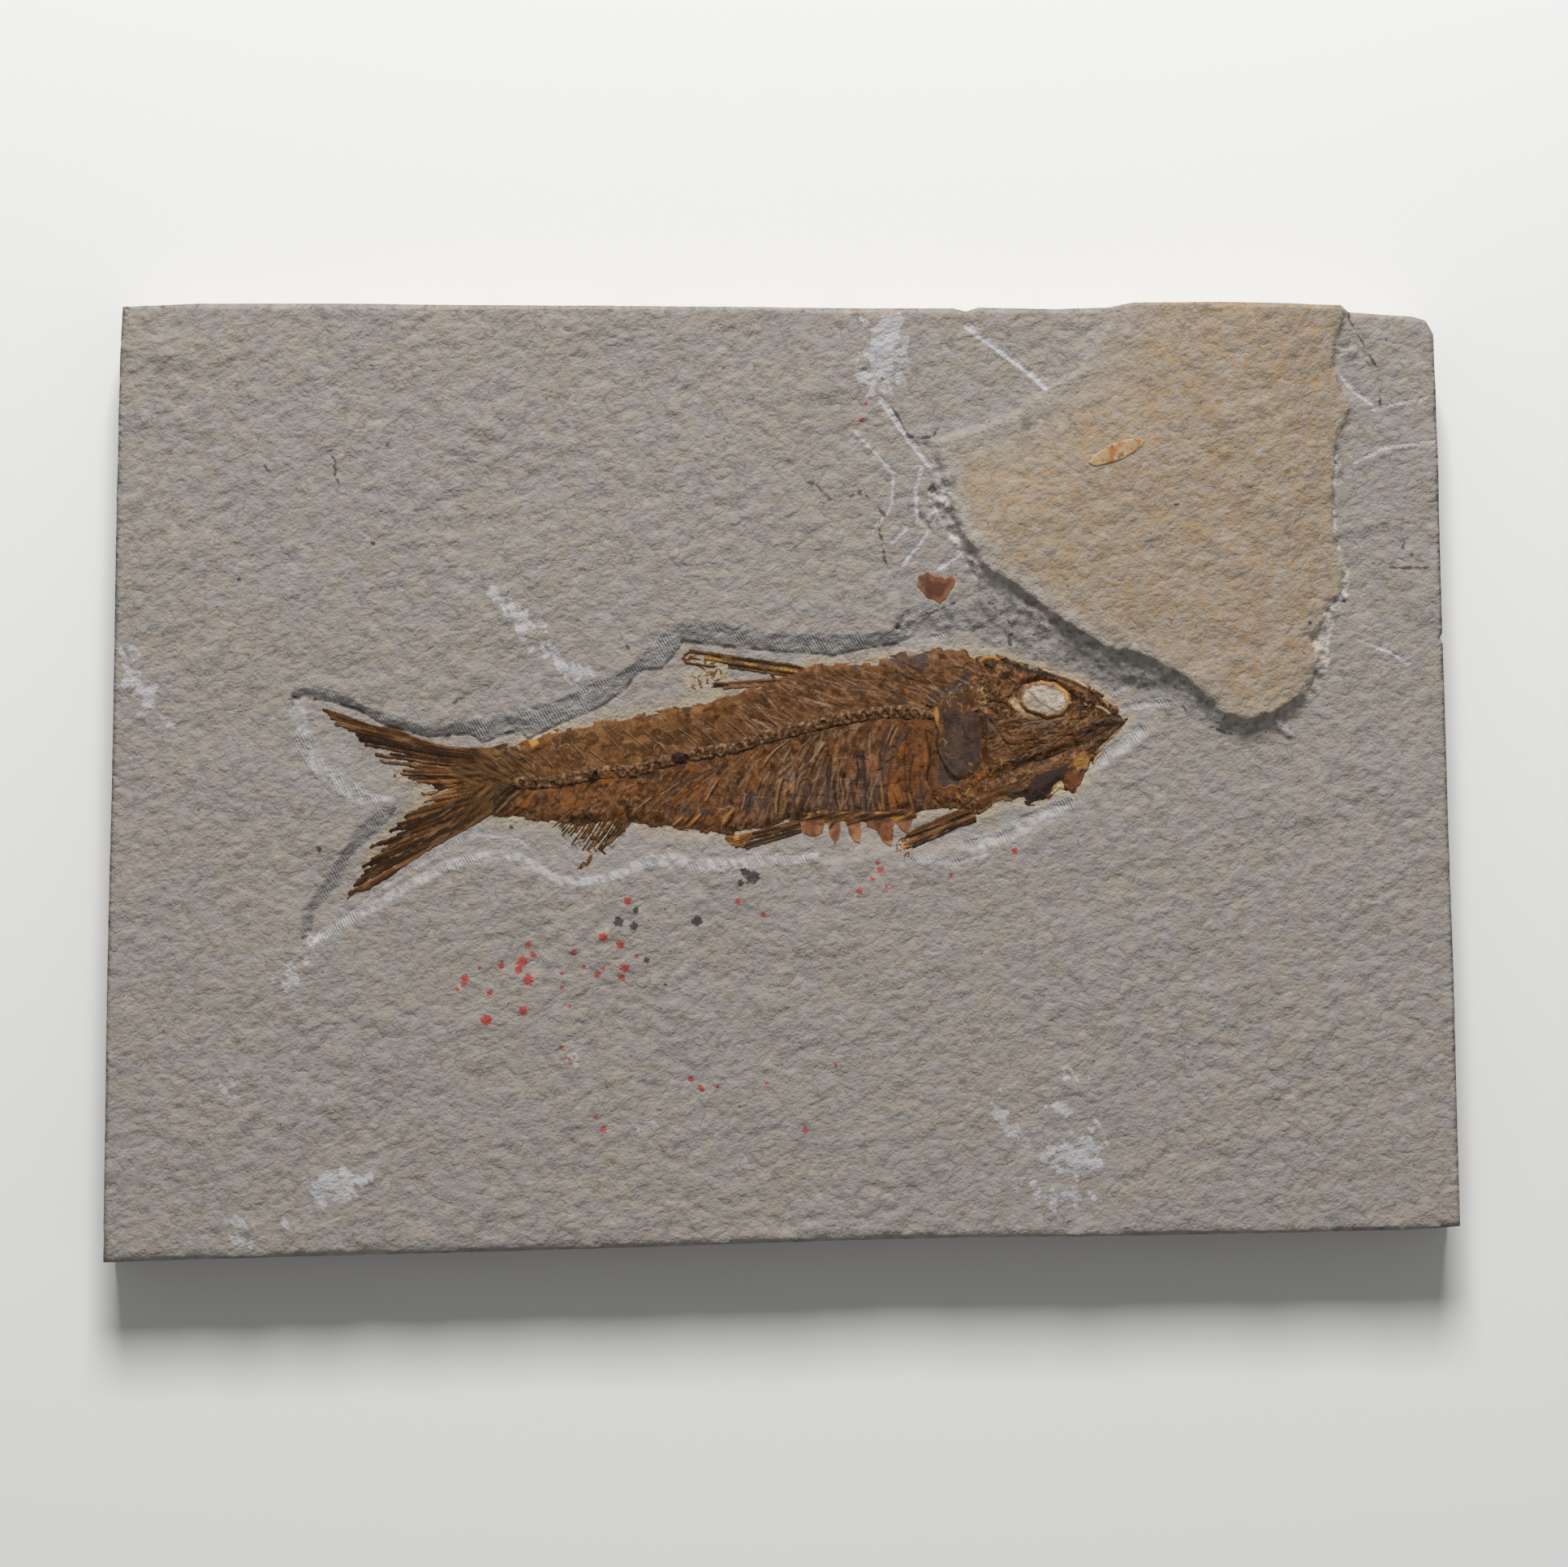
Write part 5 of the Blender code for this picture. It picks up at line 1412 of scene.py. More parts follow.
# The ribs and slivers of the belly side: ink, half width in millimetres, strength and points
RIBS = [
    (SLATE, 0.14, 0.8, [(1004, 906), (992, 916), (982, 929), (975, 942), (968, 956), (961, 972),
                        (957, 1002)]),
    (LIGHT, 0.08, 0.8, [(1007, 906), (995, 917), (985, 930), (978, 943), (971, 957)]),
    (INK, 0.10, 0.9, [(1010, 908), (1000, 918), (994, 930), (988, 940), (982, 950), (980, 970),
                      (978, 988)]),
    (LIGHT, 0.08, 0.7, [(1000, 908), (988, 920), (980, 933), (973, 946)]),
    (INK, 0.08, 0.8, [(1003, 909), (991, 921), (983, 934)]),
    (SLATE, 0.24, 0.7, [(966, 938), (958, 952), (953, 965), (951, 985)]),
    (OCHRE, 0.12, 0.6, [(963, 958), (959, 972), (956, 988), (956, 1004)]),
    (INK, 0.10, 0.9, [(966, 958), (962, 974), (959, 990), (959, 1006)]),
    (TAN, 0.12, 0.6, [(970, 960), (967, 976), (966, 990)]),
    (INK, 0.10, 0.9, [(972, 914), (958, 925), (948, 936), (942, 945)]),
    (PALE, 0.07, 0.8, [(968, 915), (956, 923), (946, 933), (941, 941)]),
    (INK, 0.08, 0.8, [(962, 917), (950, 925), (944, 932)]),
    (INK, 0.12, 0.9, [(1018, 918), (1012, 926), (1007, 936), (1001, 948), (998, 958)]),
    (LIGHT, 0.07, 0.6, [(1015, 926), (1009, 936), (1004, 946)]),
    (INK, 0.10, 0.8, [(1025, 932), (1020, 945), (1018, 960)]),
    (INK, 0.12, 0.9, [(1036, 935), (1030, 948), (1027, 962), (1029, 980), (1034, 1002)]),
    (PALE, 0.07, 0.6, [(1034, 938), (1029, 950), (1025, 962)]),
    (TAN, 0.10, 0.6, [(1037, 940), (1033, 952), (1032, 970)]),
    (INK, 0.09, 0.8, [(1039, 948), (1040, 970), (1046, 1000)]),
    (TAN, 0.12, 0.6, [(1044, 955), (1045, 975), (1042, 992)]),
    (INK, 0.10, 0.9, [(1056, 935), (1058, 950), (1056, 966), (1052, 985)]),
    (ORANGE, 0.16, 0.7, [(1053, 968), (1056, 982), (1060, 994)]),
    (INK, 0.09, 0.8, [(1063, 925), (1065, 950), (1066, 978), (1068, 1000)]),
    (LIGHT, 0.07, 0.5, [(1067, 926), (1069, 945), (1069, 965)]),
    (INK, 0.09, 0.7, [(1048, 960), (1050, 980), (1054, 1000)]),
    (LIGHT, 0.09, 0.9, [(1102, 892), (1096, 905), (1091, 918)]),
    (INK, 0.10, 0.9, [(1104, 894), (1098, 907), (1093, 920), (1089, 936)]),
    (PALE, 0.07, 0.7, [(1106, 896), (1100, 909), (1096, 920)]),
    (INK, 0.08, 0.8, [(1098, 893), (1092, 906), (1087, 922)]),
    (SLATE, 0.30, 0.8, [(1096, 910), (1091, 930), (1090, 948), (1087, 964)]),
    (SLATE, 0.22, 0.9, [(1122, 895), (1112, 907), (1105, 918), (1100, 930), (1096, 946)]),
    (INK, 0.08, 0.8, [(1125, 897), (1115, 909), (1108, 920), (1103, 932)]),
    (OCHRE, 0.18, 0.4, [(1086, 966), (1088, 984), (1090, 1003)]),
    (INK, 0.08, 0.7, [(1092, 966), (1093, 984), (1097, 1000)]),
    (INK, 0.09, 0.7, [(1100, 975), (1105, 988), (1108, 1000)]),
    (INK, 0.10, 0.8, [(1127, 930), (1122, 950), (1121, 970), (1127, 992)]),
    (TAN, 0.12, 0.6, [(1119, 975), (1123, 990), (1127, 1002)]),
    (INK, 0.12, 0.8, [(1146, 915), (1147, 940), (1142, 958), (1148, 974)]),
    (ORANGE, 0.22, 0.6, [(1140, 915), (1141, 935), (1140, 952)]),
    (INK, 0.12, 0.9, [(1000, 1003), (1020, 1005), (1035, 1008)]),
    (SLATE, 0.14, 0.8, [(888, 944), (870, 952), (853, 961), (838, 968), (826, 977), (812, 990),
                        (805, 1002)]),
    (LIGHT, 0.08, 0.8, [(838, 963), (822, 974), (811, 984), (799, 999)]),
    (INK, 0.20, 0.8, [(887, 961), (879, 974), (872, 986)]),
    (PALE, 0.08, 0.9, [(884, 962), (876, 974), (868, 988)]),
    (INK, 0.09, 0.8, [(880, 950), (864, 963), (850, 973), (842, 981)]),
    (ORANGE, 0.18, 0.6, [(872, 964), (862, 976), (854, 990)]),
    (INK, 0.09, 0.7, [(900, 958), (896, 975), (891, 992)]),
    (PALE, 0.08, 0.7, [(918, 978), (916, 990), (913, 998)]),
    (TAN, 0.16, 0.6, [(929, 984), (932, 994), (934, 1004)]),
    (INK, 0.18, 0.9, [(905, 1002), (897, 1014), (889, 1024)]),
    (OCHRE, 0.14, 0.8, [(902, 998), (896, 1006), (890, 1016)]),
    (INK, 0.15, 0.9, [(858, 1002), (848, 1012), (840, 1019)]),
    (OCHRE, 0.10, 0.8, [(864, 1004), (852, 1013), (846, 1019)]),
    (CREAM, 0.08, 0.8, [(841, 1007), (832, 1014), (826, 1019)]),
    (SLATE, 0.20, 0.8, [(824, 985), (825, 1000), (827, 1012)]),
    (PALE, 0.07, 0.7, [(803, 982), (795, 988), (786, 996)]),
    (INK, 0.08, 0.7, [(806, 984), (798, 990), (789, 999)]),
]
# The thin spines of the back: each one's upper and lower end
BACK_SPINES = [
    (600, 932, 617, 947), (612, 930, 634, 952), (639, 929, 660, 948), (662, 926, 682, 946),
    (686, 920, 701, 947), (704, 916, 722, 936), (726, 925, 746, 940), (748, 906, 765, 925),
    (767, 899, 800, 925), (792, 899, 823, 927), (813, 897, 834, 912), (835, 897, 860, 916),
    (854, 891, 884, 918), (872, 889, 896, 911), (897, 889, 920, 908), (918, 884, 938, 902),
    (940, 880, 960, 896), (962, 872, 984, 890),
]
HEAD_PATCHES = [
    (DARK, [(1212, 808), (1224, 808), (1228, 820), (1218, 828), (1208, 820)], 0.6),
    (DARK, [(1232, 812), (1262, 826), (1290, 832), (1310, 840), (1300, 844), (1262, 838),
            (1236, 830)], 0.4),
    (linear(186, 160, 126), [(1243, 862), (1250, 858), (1258, 862), (1264, 872), (1262, 880),
                             (1250, 874)], 0.85),
    (linear(150, 118, 92), [(1256, 876), (1272, 880), (1280, 886), (1262, 896), (1254, 888)], 0.7),
    (OCHRE, [(1256, 850), (1266, 844), (1268, 850), (1260, 860)], 0.7),
    (INK, [(1318, 850), (1334, 852), (1352, 866), (1356, 876), (1336, 872), (1322, 866)], 0.55),
    (SLATE, [(1338, 892), (1356, 886), (1368, 890), (1366, 900), (1346, 910), (1336, 904)], 0.75),
    (SLATE, [(1356, 884), (1376, 882), (1386, 888), (1376, 896), (1362, 894)], 0.6),
    (GREY, [(1256, 890), (1276, 886), (1296, 888), (1300, 896), (1270, 898)], 0.5),
    (WARM, [(1216, 890), (1224, 900), (1240, 930), (1250, 950), (1232, 962), (1218, 945),
            (1214, 915)], 0.4),
    (linear(70, 58, 54), [(1212, 880), (1222, 884), (1236, 904), (1232, 918), (1220, 908),
                          (1213, 896)], 0.6),
    (linear(132, 96, 64), [(1190, 846), (1200, 836), (1210, 842), (1212, 868), (1206, 876),
                           (1196, 860)], 0.6),
    (linear(128, 92, 62), [(1236, 846), (1252, 840), (1256, 852), (1244, 866), (1234, 860)], 0.6),
    (ORANGE, [(1200, 952), (1214, 948), (1220, 960), (1208, 966)], 0.7),
    (SLATE, [(1246, 936), (1262, 932), (1266, 942), (1252, 946)], 0.8),
    (OCHRE, [(1262, 944), (1274, 938), (1280, 944), (1268, 952)], 0.7),
]
HEAD_STROKES = [
    (INK, [(1232, 811), (1250, 820), (1268, 827), (1284, 829), (1302, 834)], 0.34 * MM, 0.95),
    (INK, [(1300, 834), (1325, 842), (1343, 852), (1354, 860)], 0.14 * MM, 0.8),
    (CREAM, [(1284, 824), (1305, 830), (1325, 837), (1342, 847)], 0.16 * MM, 0.9),
    (OCHRE, [(1208, 815), (1214, 809), (1224, 809), (1232, 814)], 0.16 * MM, 0.8),
    (INK, [(1312, 882), (1296, 884), (1282, 887), (1266, 889), (1256, 892)], 0.08 * MM, 0.9),
    (INK, [(1214, 866), (1224, 864), (1232, 866), (1244, 867)], 0.16 * MM, 0.9),
    (TAN, [(1213, 884), (1222, 896), (1234, 912), (1246, 924)], 0.08 * MM, 0.4),
    (INK, [(1218, 884), (1229, 898), (1238, 914), (1248, 928)], 0.09 * MM, 0.8),
    (INK, [(1214, 882), (1216, 900), (1215, 925), (1219, 944)], 0.09 * MM, 0.7),
    (OCHRE, [(1280, 950), (1298, 946), (1314, 940), (1330, 930), (1344, 922)], 0.14 * MM, 0.9),
    (INK, [(1268, 946), (1290, 934), (1312, 926), (1334, 923), (1352, 916)], 0.18 * MM, 0.9),
    (INK, [(1336, 906), (1350, 900), (1362, 890)], 0.16 * MM, 0.6),
    (INK, [(1318, 852), (1326, 860), (1336, 862)], 0.24 * MM, 0.8),
    (CREAM, [(1344, 851), (1350, 844), (1352, 851)], 0.12 * MM, 0.9),
    (CREAM, [(1350, 870), (1358, 872), (1366, 878), (1374, 878)], 0.12 * MM, 0.8),
    (INK, [(1352, 858), (1356, 868), (1366, 872), (1372, 866), (1372, 860)], 0.16 * MM, 0.95),
    (OCHRE, [(1358, 862), (1364, 866), (1366, 872)], 0.10 * MM, 0.8),
    (INK, [(1366, 876), (1378, 882), (1388, 886), (1392, 888)], 0.22 * MM, 1),
    (DARK, [(1374, 878), (1384, 876), (1396, 877)], 0.14 * MM, 1),
    (LIGHT, [(1330, 896), (1344, 890), (1352, 884)], 0.08 * MM, 0.6),
    (CREAM, [(1336, 866), (1340, 870)], 0.14 * MM, 0.7),
]
THROAT_PLATE = [
    (1276, 954), (1290, 950), (1304, 946), (1318, 939), (1312, 954), (1308, 960), (1298, 966),
    (1294, 978), (1268, 992), (1264, 984), (1260, 974), (1270, 964),
]
JAW_PATCHES = [
    (linear(60, 46, 42), THROAT_PLATE, 1),
    (CREAM, [(1296, 978), (1299, 967), (1308, 961), (1312, 972)], 0.9),
    (linear(92, 62, 42), [(1206, 978), (1238, 966), (1262, 970), (1256, 986), (1240, 982), (1226, 980),
                          (1210, 1000)], 0.7),
    (RED_BROWN, [(1310, 953), (1322, 950), (1334, 953), (1334, 962), (1322, 978), (1312, 966)], 0.9),
    (OCHRE, [(1322, 934), (1336, 926), (1346, 930), (1342, 946), (1326, 948)], 0.5),
    (SLATE, [(1238, 978), (1254, 972), (1262, 976), (1260, 984), (1246, 988)], 0.8),
    (RED_BROWN, [(1204, 984), (1224, 972), (1236, 974), (1230, 988), (1210, 998)], 0.5),
    (TAN, [(1222, 984), (1236, 980), (1248, 984), (1246, 1000), (1232, 1003), (1222, 996)], 0.8),
]
JAW_STROKES = [
    (linear(214, 186, 140), [(1389, 893), (1374, 909), (1360, 922), (1348, 940)], 0.38 * MM, 0.95),
    (INK, [(1388, 888), (1372, 903), (1358, 916), (1344, 930)], 0.14 * MM, 0.85),
    (INK, [(1341, 928), (1345, 936), (1340, 945)], 0.16 * MM, 0.7),
    (ORANGE, [(1380, 902), (1364, 922), (1350, 942)], 0.08 * MM, 0.8),
    (INK, [(1320, 978), (1324, 972), (1322, 966)], 0.1 * MM, 0.8),
]
GILL_STROKES = [
    (WARM, [(1176, 892), (1175, 900), (1180, 907), (1186, 905), (1185, 898)], 0.10 * MM, 0.8),
    (RED_BROWN, [(1180, 880), (1187, 884), (1194, 881)], 0.12 * MM, 0.8),
    (LIGHT, [(1166, 861), (1168, 867), (1172, 871)], 0.07 * MM, 0.8),
    (TAN, [(1184, 846), (1190, 856), (1196, 864), (1200, 870)], 0.14 * MM, 0.8),
    (INK, [(1160, 879), (1180, 881), (1207, 877)], 0.08 * MM, 0.6),
    (OCHRE, [(1157, 876), (1155, 886), (1157, 896)], 0.16 * MM, 0.9),
    (GREY, [(1156, 918), (1161, 932), (1170, 946), (1180, 956)], 0.07 * MM, 0.4),
    (INK, [(1154, 920), (1159, 936), (1168, 950), (1178, 959)], 0.09 * MM, 0.9),
    (LIGHT, [(1164, 926), (1170, 934), (1180, 934)], 0.10 * MM, 0.5),
    (TAN, [(1160, 908), (1166, 914), (1164, 920)], 0.14 * MM, 0.7),
]


def height_at(line, x):
    """The y of a line that runs from left to right, at each x."""
    return np.interp(x, line[:, 0], line[:, 1])


def flank_share(points, edge_line):
    """0 at the backbone and 1 at the back or the belly."""
    spine = height_at(plan(BACKBONE_LINE), points[:, 0])
    return (points[:, 1] - spine) / (height_at(plan(edge_line), points[:, 0]) - spine)


def by_column(points, columns, values):
    """A value that changes from column to column of the photograph."""
    return np.interp(points[:, 0], plan_x(np.array(columns)), values)


def back_flow(point):
    """Which way the spines of the back run at a point, towards the head."""
    return math.radians(-by_column(point[None], [700, 900, 980], (42, 40, 27))[0])


def belly_flow(point):
    """Which way the ribs run at a point, down and towards the tail."""
    share = np.clip(flank_share(point[None], BELLY_LINE)[0], 0, 1)
    columns = [640, 800, 900, 960, 1090, 1150]
    above = by_column(point[None], columns, (225, 222, 222, 225, 240, 262))[0]
    below = by_column(point[None], columns, (218, 232, 245, 262, 268, 272))[0]
    return math.radians(above + (below - above) * share)


def cheek_flow(point):
    """Up and forward, with bends."""
    return math.radians(20 + 50 * noise.noise((point[0] / MM / 1.5, point[1] / MM / 1.5, 9.2)))


def crumb_flow(point):
    """A way that turns from crumb to crumb."""
    return math.pi * noise.noise((point[0] / MM, point[1] / MM, 4.2)) * 2


def strewn(seed, count, zone, flow, length, half_width, inks, faint=0.15, strong=0.6):
    """Strokes strewn over a zone of the photograph, each drawn along the flow in one of the inks."""
    draw = np.random.default_rng(seed)
    outline = plan(zone)
    low, high = outline.min(axis=0), outline.max(axis=0)
    starts = low + draw.random((6 * count, 2)) * (high - low)
    starts = starts[depth_inside(starts, outline) > 0][:count]
    strokes = []
    for start in starts:
        step = length * draw.uniform(0.12, 0.33)
        turn = draw.normal(0, 0.22)
        line = [start]
        for _ in range(4):
            angle = flow(line[-1]) + turn
            line.append(line[-1] + step * np.array([math.cos(angle), math.sin(angle)]))
        ink = inks[draw.integers(len(inks))]
        width = half_width * draw.uniform(0.6, 1.5)
        strokes.append((ink, np.array(line), width, draw.uniform(faint, strong)))
    return strokes


def drawn_by_hand(strokes):
    """Strokes whose points are read off the photograph."""
    return [(ink, plan(line), half_width, strength) for ink, line, half_width, strength in strokes]


def stroke_share(points, line, half_width):
    """Which points a stroke comes near, and its share at each. It tapers towards its ends."""
    low, high = line.min(axis=0) - 2 * half_width, line.max(axis=0) + 2 * half_width
    near = np.flatnonzero(((points > low) & (points < high)).all(axis=1))
    ends = np.minimum(*(np.linalg.norm(points[near] - end, axis=1) for end in (line[0], line[-1])))
    width = half_width * ramp(ends, -1.5 * half_width, 5 * half_width)
    return near, ridge(distance(points[near], line), width)


def brushed(points, colour, strokes):
    """The colour with strokes laid over it."""
    colour = colour.copy()
    for ink, line, half_width, strength in strokes:
        near, share = stroke_share(points, line, half_width)
        colour[near] = mixed(colour[near], ink, share * strength)
    return colour


def stroke_relief(points, strokes):
    """Pale strokes stand up and dark ones are hollows, in millimetres."""
    relief = np.zeros(len(points))
    for ink, line, half_width, strength in strokes:
        near, share = stroke_share(points, line, half_width)
        lift = STROKE_RELIEF if ink.sum() > BROWN.sum() else -STROKE_RELIEF
        relief[near] += (lift * strength - relief[near] * 0.7) * share
    return relief


def painted(points, colour, patches, strokes):
    """The colour with ragged patches and strokes laid over it."""
    ragged = 0.14 * MM * layered(points, 0.7 * MM, 31.7)
    for ink, outline, strength in patches:
        share = strength * ramp(depth_in(points, outline) + ragged, -0.08 * MM, 0.08 * MM)
        colour = mixed(colour, ink, share)
    return brushed(points, colour, drawn_by_hand(strokes))


def mottled(points, first, blots, seed):
    """A colour with ragged blots over it: each blot's colour, size, least noise and strength."""
    colour = np.tile(first, (len(points), 1))
    for i, (ink, size, least, strength) in enumerate(blots):
        share = ramp(layered(points, size, seed + 9.1 * i, 4), least, least + 0.3)
        colour = mixed(colour, ink, share * strength)
    return colour


def cut_bone(cover, base):
    """Thickness of a bone: its base, and past the edge of its cover a dive into the stone."""
    edge = np.minimum(base, BONE_EDGE) + DIVE
    rest = np.maximum(base - BONE_EDGE, 0)
    return -DIVE + edge * ramp(cover, -0.10 * MM, 0.08 * MM) + rest * ramp(cover, 0, 1.3 * MM)


def body_cover(points):
    """Depth inside the body, with an edge of ragged scales."""
    tone = flakes(wandering(points, 0.8 * MM, 0.2 * MM, 3.1), 1.1 * MM, 4.0)[0]
    scales = 0.6 * (tone - 0.45) + 0.12 * layered(points, 0.7 * MM, 21.4)
    return depth_inside(points, body_outline()) + scales * MM


def make_piece(node, slot, outline, height, foot, tint):
    """A closed relief of a bone within its outline, painted and in its slot's material."""
    grid = lattice(outline.min(axis=0), outline.max(axis=0), BONE_SPACING)
    grid = grid[depth_inside(grid, outline) > 0.6 * BONE_SPACING]
    bone = closed_piece(node + "_bone", outline, 2 * BONE_SPACING, grid, height, [foot])
    store_colours(bone, "tint", tint(plan_points(bone)))
    bone.data.materials.append(bone_material(slot))
    finished(bone, node)


def make_bone(node, slot, outline, thickness, tint):
    """A relief of one bone or group of bones, on the floor of the recess."""

    def height(points):
        return face(points) + thickness(points)

    def foot(rim):
        return np.column_stack([rim[:, :2], np.full(len(rim), BONE_FOOT)])

    make_piece(node, slot, outline, height, foot, tint)


def scales_of_body(points):
    """The flakes of the body's scales."""
    return flakes(wandering(points, 1.0 * MM, 0.3 * MM, 7.7), 1.6 * MM, 1.0)


def flaky_relief(points):
    """Scales and flakes that tilt this way and that, in millimetres."""
    return 0.28 * scales_of_body(points)[1] + 0.05 * layered(points, 1.1 * MM, 7.2, 4)


def flaky_tint(points, inks):
    """Brown scales and flakes, each in one of the inks, with darker gaps and a few pale edges."""
    tone, _, gap = scales_of_body(points)
    colour = np.array(inks)[(tone * len(inks)).astype(int)]
    noisy = layered(points, 0.8 * MM, 35.2)
    colour = covered(colour, [
        (BROWN, 0.35 + 0.25 * layered(points, 0.9 * MM, 5.1)),
        (SCALE_SHADOW, ramp(noisy, 0.05, 0.6) * 0.6),
        (SCALE_LIGHT, ramp(noisy, -0.1, -0.6) * 0.7),
    ])
    return covered(tail_root(points, colour), [
        (PALE, ridge(gap, 0.05) * ramp(layered(points, 2 * MM, 36.2), 0.1, 0.5) * 0.6),
        (INK, ridge(gap - 0.03, 0.05) * ramp(layered(points, 1.5 * MM, 37.2), 0, 0.4) * 0.45),
    ])


def tail_root(points, colour):
    """Streaks of the tail's root, which cross the body's rear end and the rays alike."""
    below = ramp(-points[:, 1], 0, 0.6 * MM)
    falling = layered(turned(points, math.radians(-28), 7), 0.5 * MM, 38.2)
    rising = layered(turned(points, math.radians(42), 7), 0.5 * MM, 39.2)
    streaks = falling + (rising - falling) * below
    ink = mixed(ROOT_BROWN, ROOT_DARK, ramp(streaks, -0.05, 0.3))
    ink = mixed(ink, ROOT_LIGHT, ramp(streaks, -0.3, -0.55) * 0.7)
    return mixed(colour, ink, by_column(points, [560, 600, 640, 668], [0, 0.9, 0.85, 0]))


def moved_up(line, rise):
    """The line moved along Y."""
    return line + np.array([0.0, rise])


def make_flank(node, outline, strokes, base, inks, coats):
    """One side of the body: flaky scales, with strokes that stand up or lie low."""

    def thickness(points):
        relief = base + flaky_relief(points) + stroke_relief(points, strokes)
        return cut_bone(body_cover(points), relief * MM)

    def tint(points):
        colour = covered(flaky_tint(points, inks), coats(points))
        return brushed(points, painted(points, colour, BODY_PATCHES, []), strokes)

    make_bone(node, "flank_scales", outline, thickness, tint)


def back_strokes():
    """The streaks and spines of the back."""
    rear = [(612, 928), (680, 908), (780, 890), (880, 870), (960, 842), (960, 890), (880, 915),
            (780, 940), (680, 953), (620, 955)]
    front = [(900, 862), (975, 828), (1100, 812), (1190, 806), (1195, 835), (1150, 868), (1060, 878),
             (980, 893), (900, 912)]
    rear_inks = [INK, WARM, LIGHT, DARK, RED_BROWN]
    front_inks = [LIGHT, PALE, INK, INK, SLATE, DARK, WARM]
    strokes = strewn(1, 110, rear, back_flow, 1.8 * MM, 0.09 * MM, rear_inks, 0.15, 0.5)
    strokes += strewn(2, 420, front, back_flow, 2.6 * MM, 0.085 * MM, front_inks)
    for u0, v0, u1, v1 in BACK_SPINES:
        line = plan([(u0, v0), ((u0 + u1) / 2, (v0 + v1) / 2 - 1), (u1, v1)])
        faint = 0.4 + 0.6 * chance(u0, 1.1)
        # Each spine: a dark line just below it as a painted shadow, and a pale line, the spine's own colour
        # with a painted highlight
        strokes.append((INK, line - 0.12 * MM, 0.08 * MM, 0.9 * faint))
        strokes.append((PALE, line, 0.06 * MM, 0.5 * faint))
    return strokes + drawn_by_hand(BODY_STROKES)


def back_coats(points):
    """Pale blots and slate smudges towards the head, and orange places along the back."""
    blots = by_column(points, [930, 1010], [0.1, 0.45]) * ramp(layered(points, 1.3 * MM, 8.8), 0, 0.5)
    smudges = by_column(points, [980, 1060], [0, 0.6]) * ramp(layered(points, 1.1 * MM, 18.8), 0.1, 0.5)
    share = flank_share(points, BACK_LINE) + 0.1 * layered(points, 1.2 * MM, 13.3)
    rim = ramp(share, 0.88, 1.0) * ramp(layered(points, 1.0 * MM, 15.5), 0, 0.4)
    return [(BACK_LIGHT, blots), (SLATE, smudges), (ORANGE, rim * 0.6)]


def make_upper_flank():
    """The back: scales over thin spines that lean towards the head."""
    spine = moved_up(plan(BACKBONE_LINE), -0.2 * MM)
    front = plan([(1222, 812), (1215, 870), (1165, 892), (1150, 888)])
    rear = plan([(615, 966), (594, 962), (594, 917)])
    outline = np.concatenate([moved_up(plan(BACK_LINE), 0.7 * MM), front, spine[::-1], rear])
    make_flank("upper_flank", outline, back_strokes(), 0.40, BACK_INKS, back_coats)


def belly_strokes():
    """The streaks and ribs of the belly side."""
    rear = [(615, 975), (680, 968), (800, 955), (870, 935), (860, 1015), (760, 1010), (680, 1008),
            (612, 998)]
    middle = [(800, 950), (960, 912), (950, 1016), (840, 1018)]
    ribs = [(950, 915), (1010, 898), (1092, 885), (1094, 975), (940, 985)]
    low = [(915, 950), (1092, 950), (1092, 1004), (915, 1012)]
    bands = [(1092, 888), (1150, 886), (1158, 940), (1150, 990), (1094, 998)]
    throat = [(1135, 985), (1200, 960), (1218, 966), (1212, 1000), (1150, 1012), (1130, 1010)]
    low_inks = [INK, SLATE, DARK, OCHRE, TAN, INK]
    throat_inks = [INK, INK, OCHRE, TAN, ORANGE, DARK]
    return (
        strewn(3, 230, rear, belly_flow, 1.8 * MM, 0.10 * MM, [INK, INK, DARK, ORANGE, WARM, LIGHT])
        + strewn(4, 130, middle, belly_flow, 2.6 * MM, 0.11 * MM, [INK, DARK, SLATE, ORANGE, LIGHT])
        + strewn(5, 90, ribs, belly_flow, 4 * MM, 0.11 * MM, [INK, SLATE, DARK, PALE, WARM])
        + strewn(6, 150, low, belly_flow, 2.0 * MM, 0.12 * MM, low_inks, 0.2, 0.7)
        + strewn(7, 40, bands, belly_flow, 4 * MM, 0.16 * MM, [DARK, INK, ORANGE, BROWN], 0.15, 0.5)
        + strewn(8, 300, throat, crumb_flow, 1.0 * MM, 0.09 * MM, throat_inks, 0.3, 0.8)
        + [(ink, plan(line), half_width * MM, strength) for ink, half_width, strength, line in RIBS]
        + drawn_by_hand(BODY_STROKES)
    )


def belly_coats(points):
    """Slate low on the ribs, a red band behind the gills, and orange, dark and pale places."""
    share = flank_share(points, BELLY_LINE) + 0.15 * layered(points, 2 * MM, 4.1)
    slate = ramp(share, 0.35, 0.8) * by_column(points, [900, 960, 1080, 1100], [0, 0.5, 0.5, 0])
    orange = ramp(layered(points, 1.0 * MM, 25.5), 0.1, 0.5)
    pale = ramp(layered(turned(points, math.radians(70), 3), 0.7 * MM, 46.5), 0.2, 0.5)
    return [
        (SLATE, slate),
        (BELLY_RED, by_column(points, [1085, 1100, 1140, 1155], [0, 0.6, 0.6, 0.2])),
        (BELLY_ORANGE, orange * by_column(points, [900, 960], [0.6, 0.3])),
        (INK, ramp(layered(points, 0.9 * MM, 26.5), 0.1, 0.5) * 0.6),
        (RIB_PALE, pale * by_column(points, [860, 960, 1090, 1110], [0.15, 0.5, 0.5, 0])),
    ]


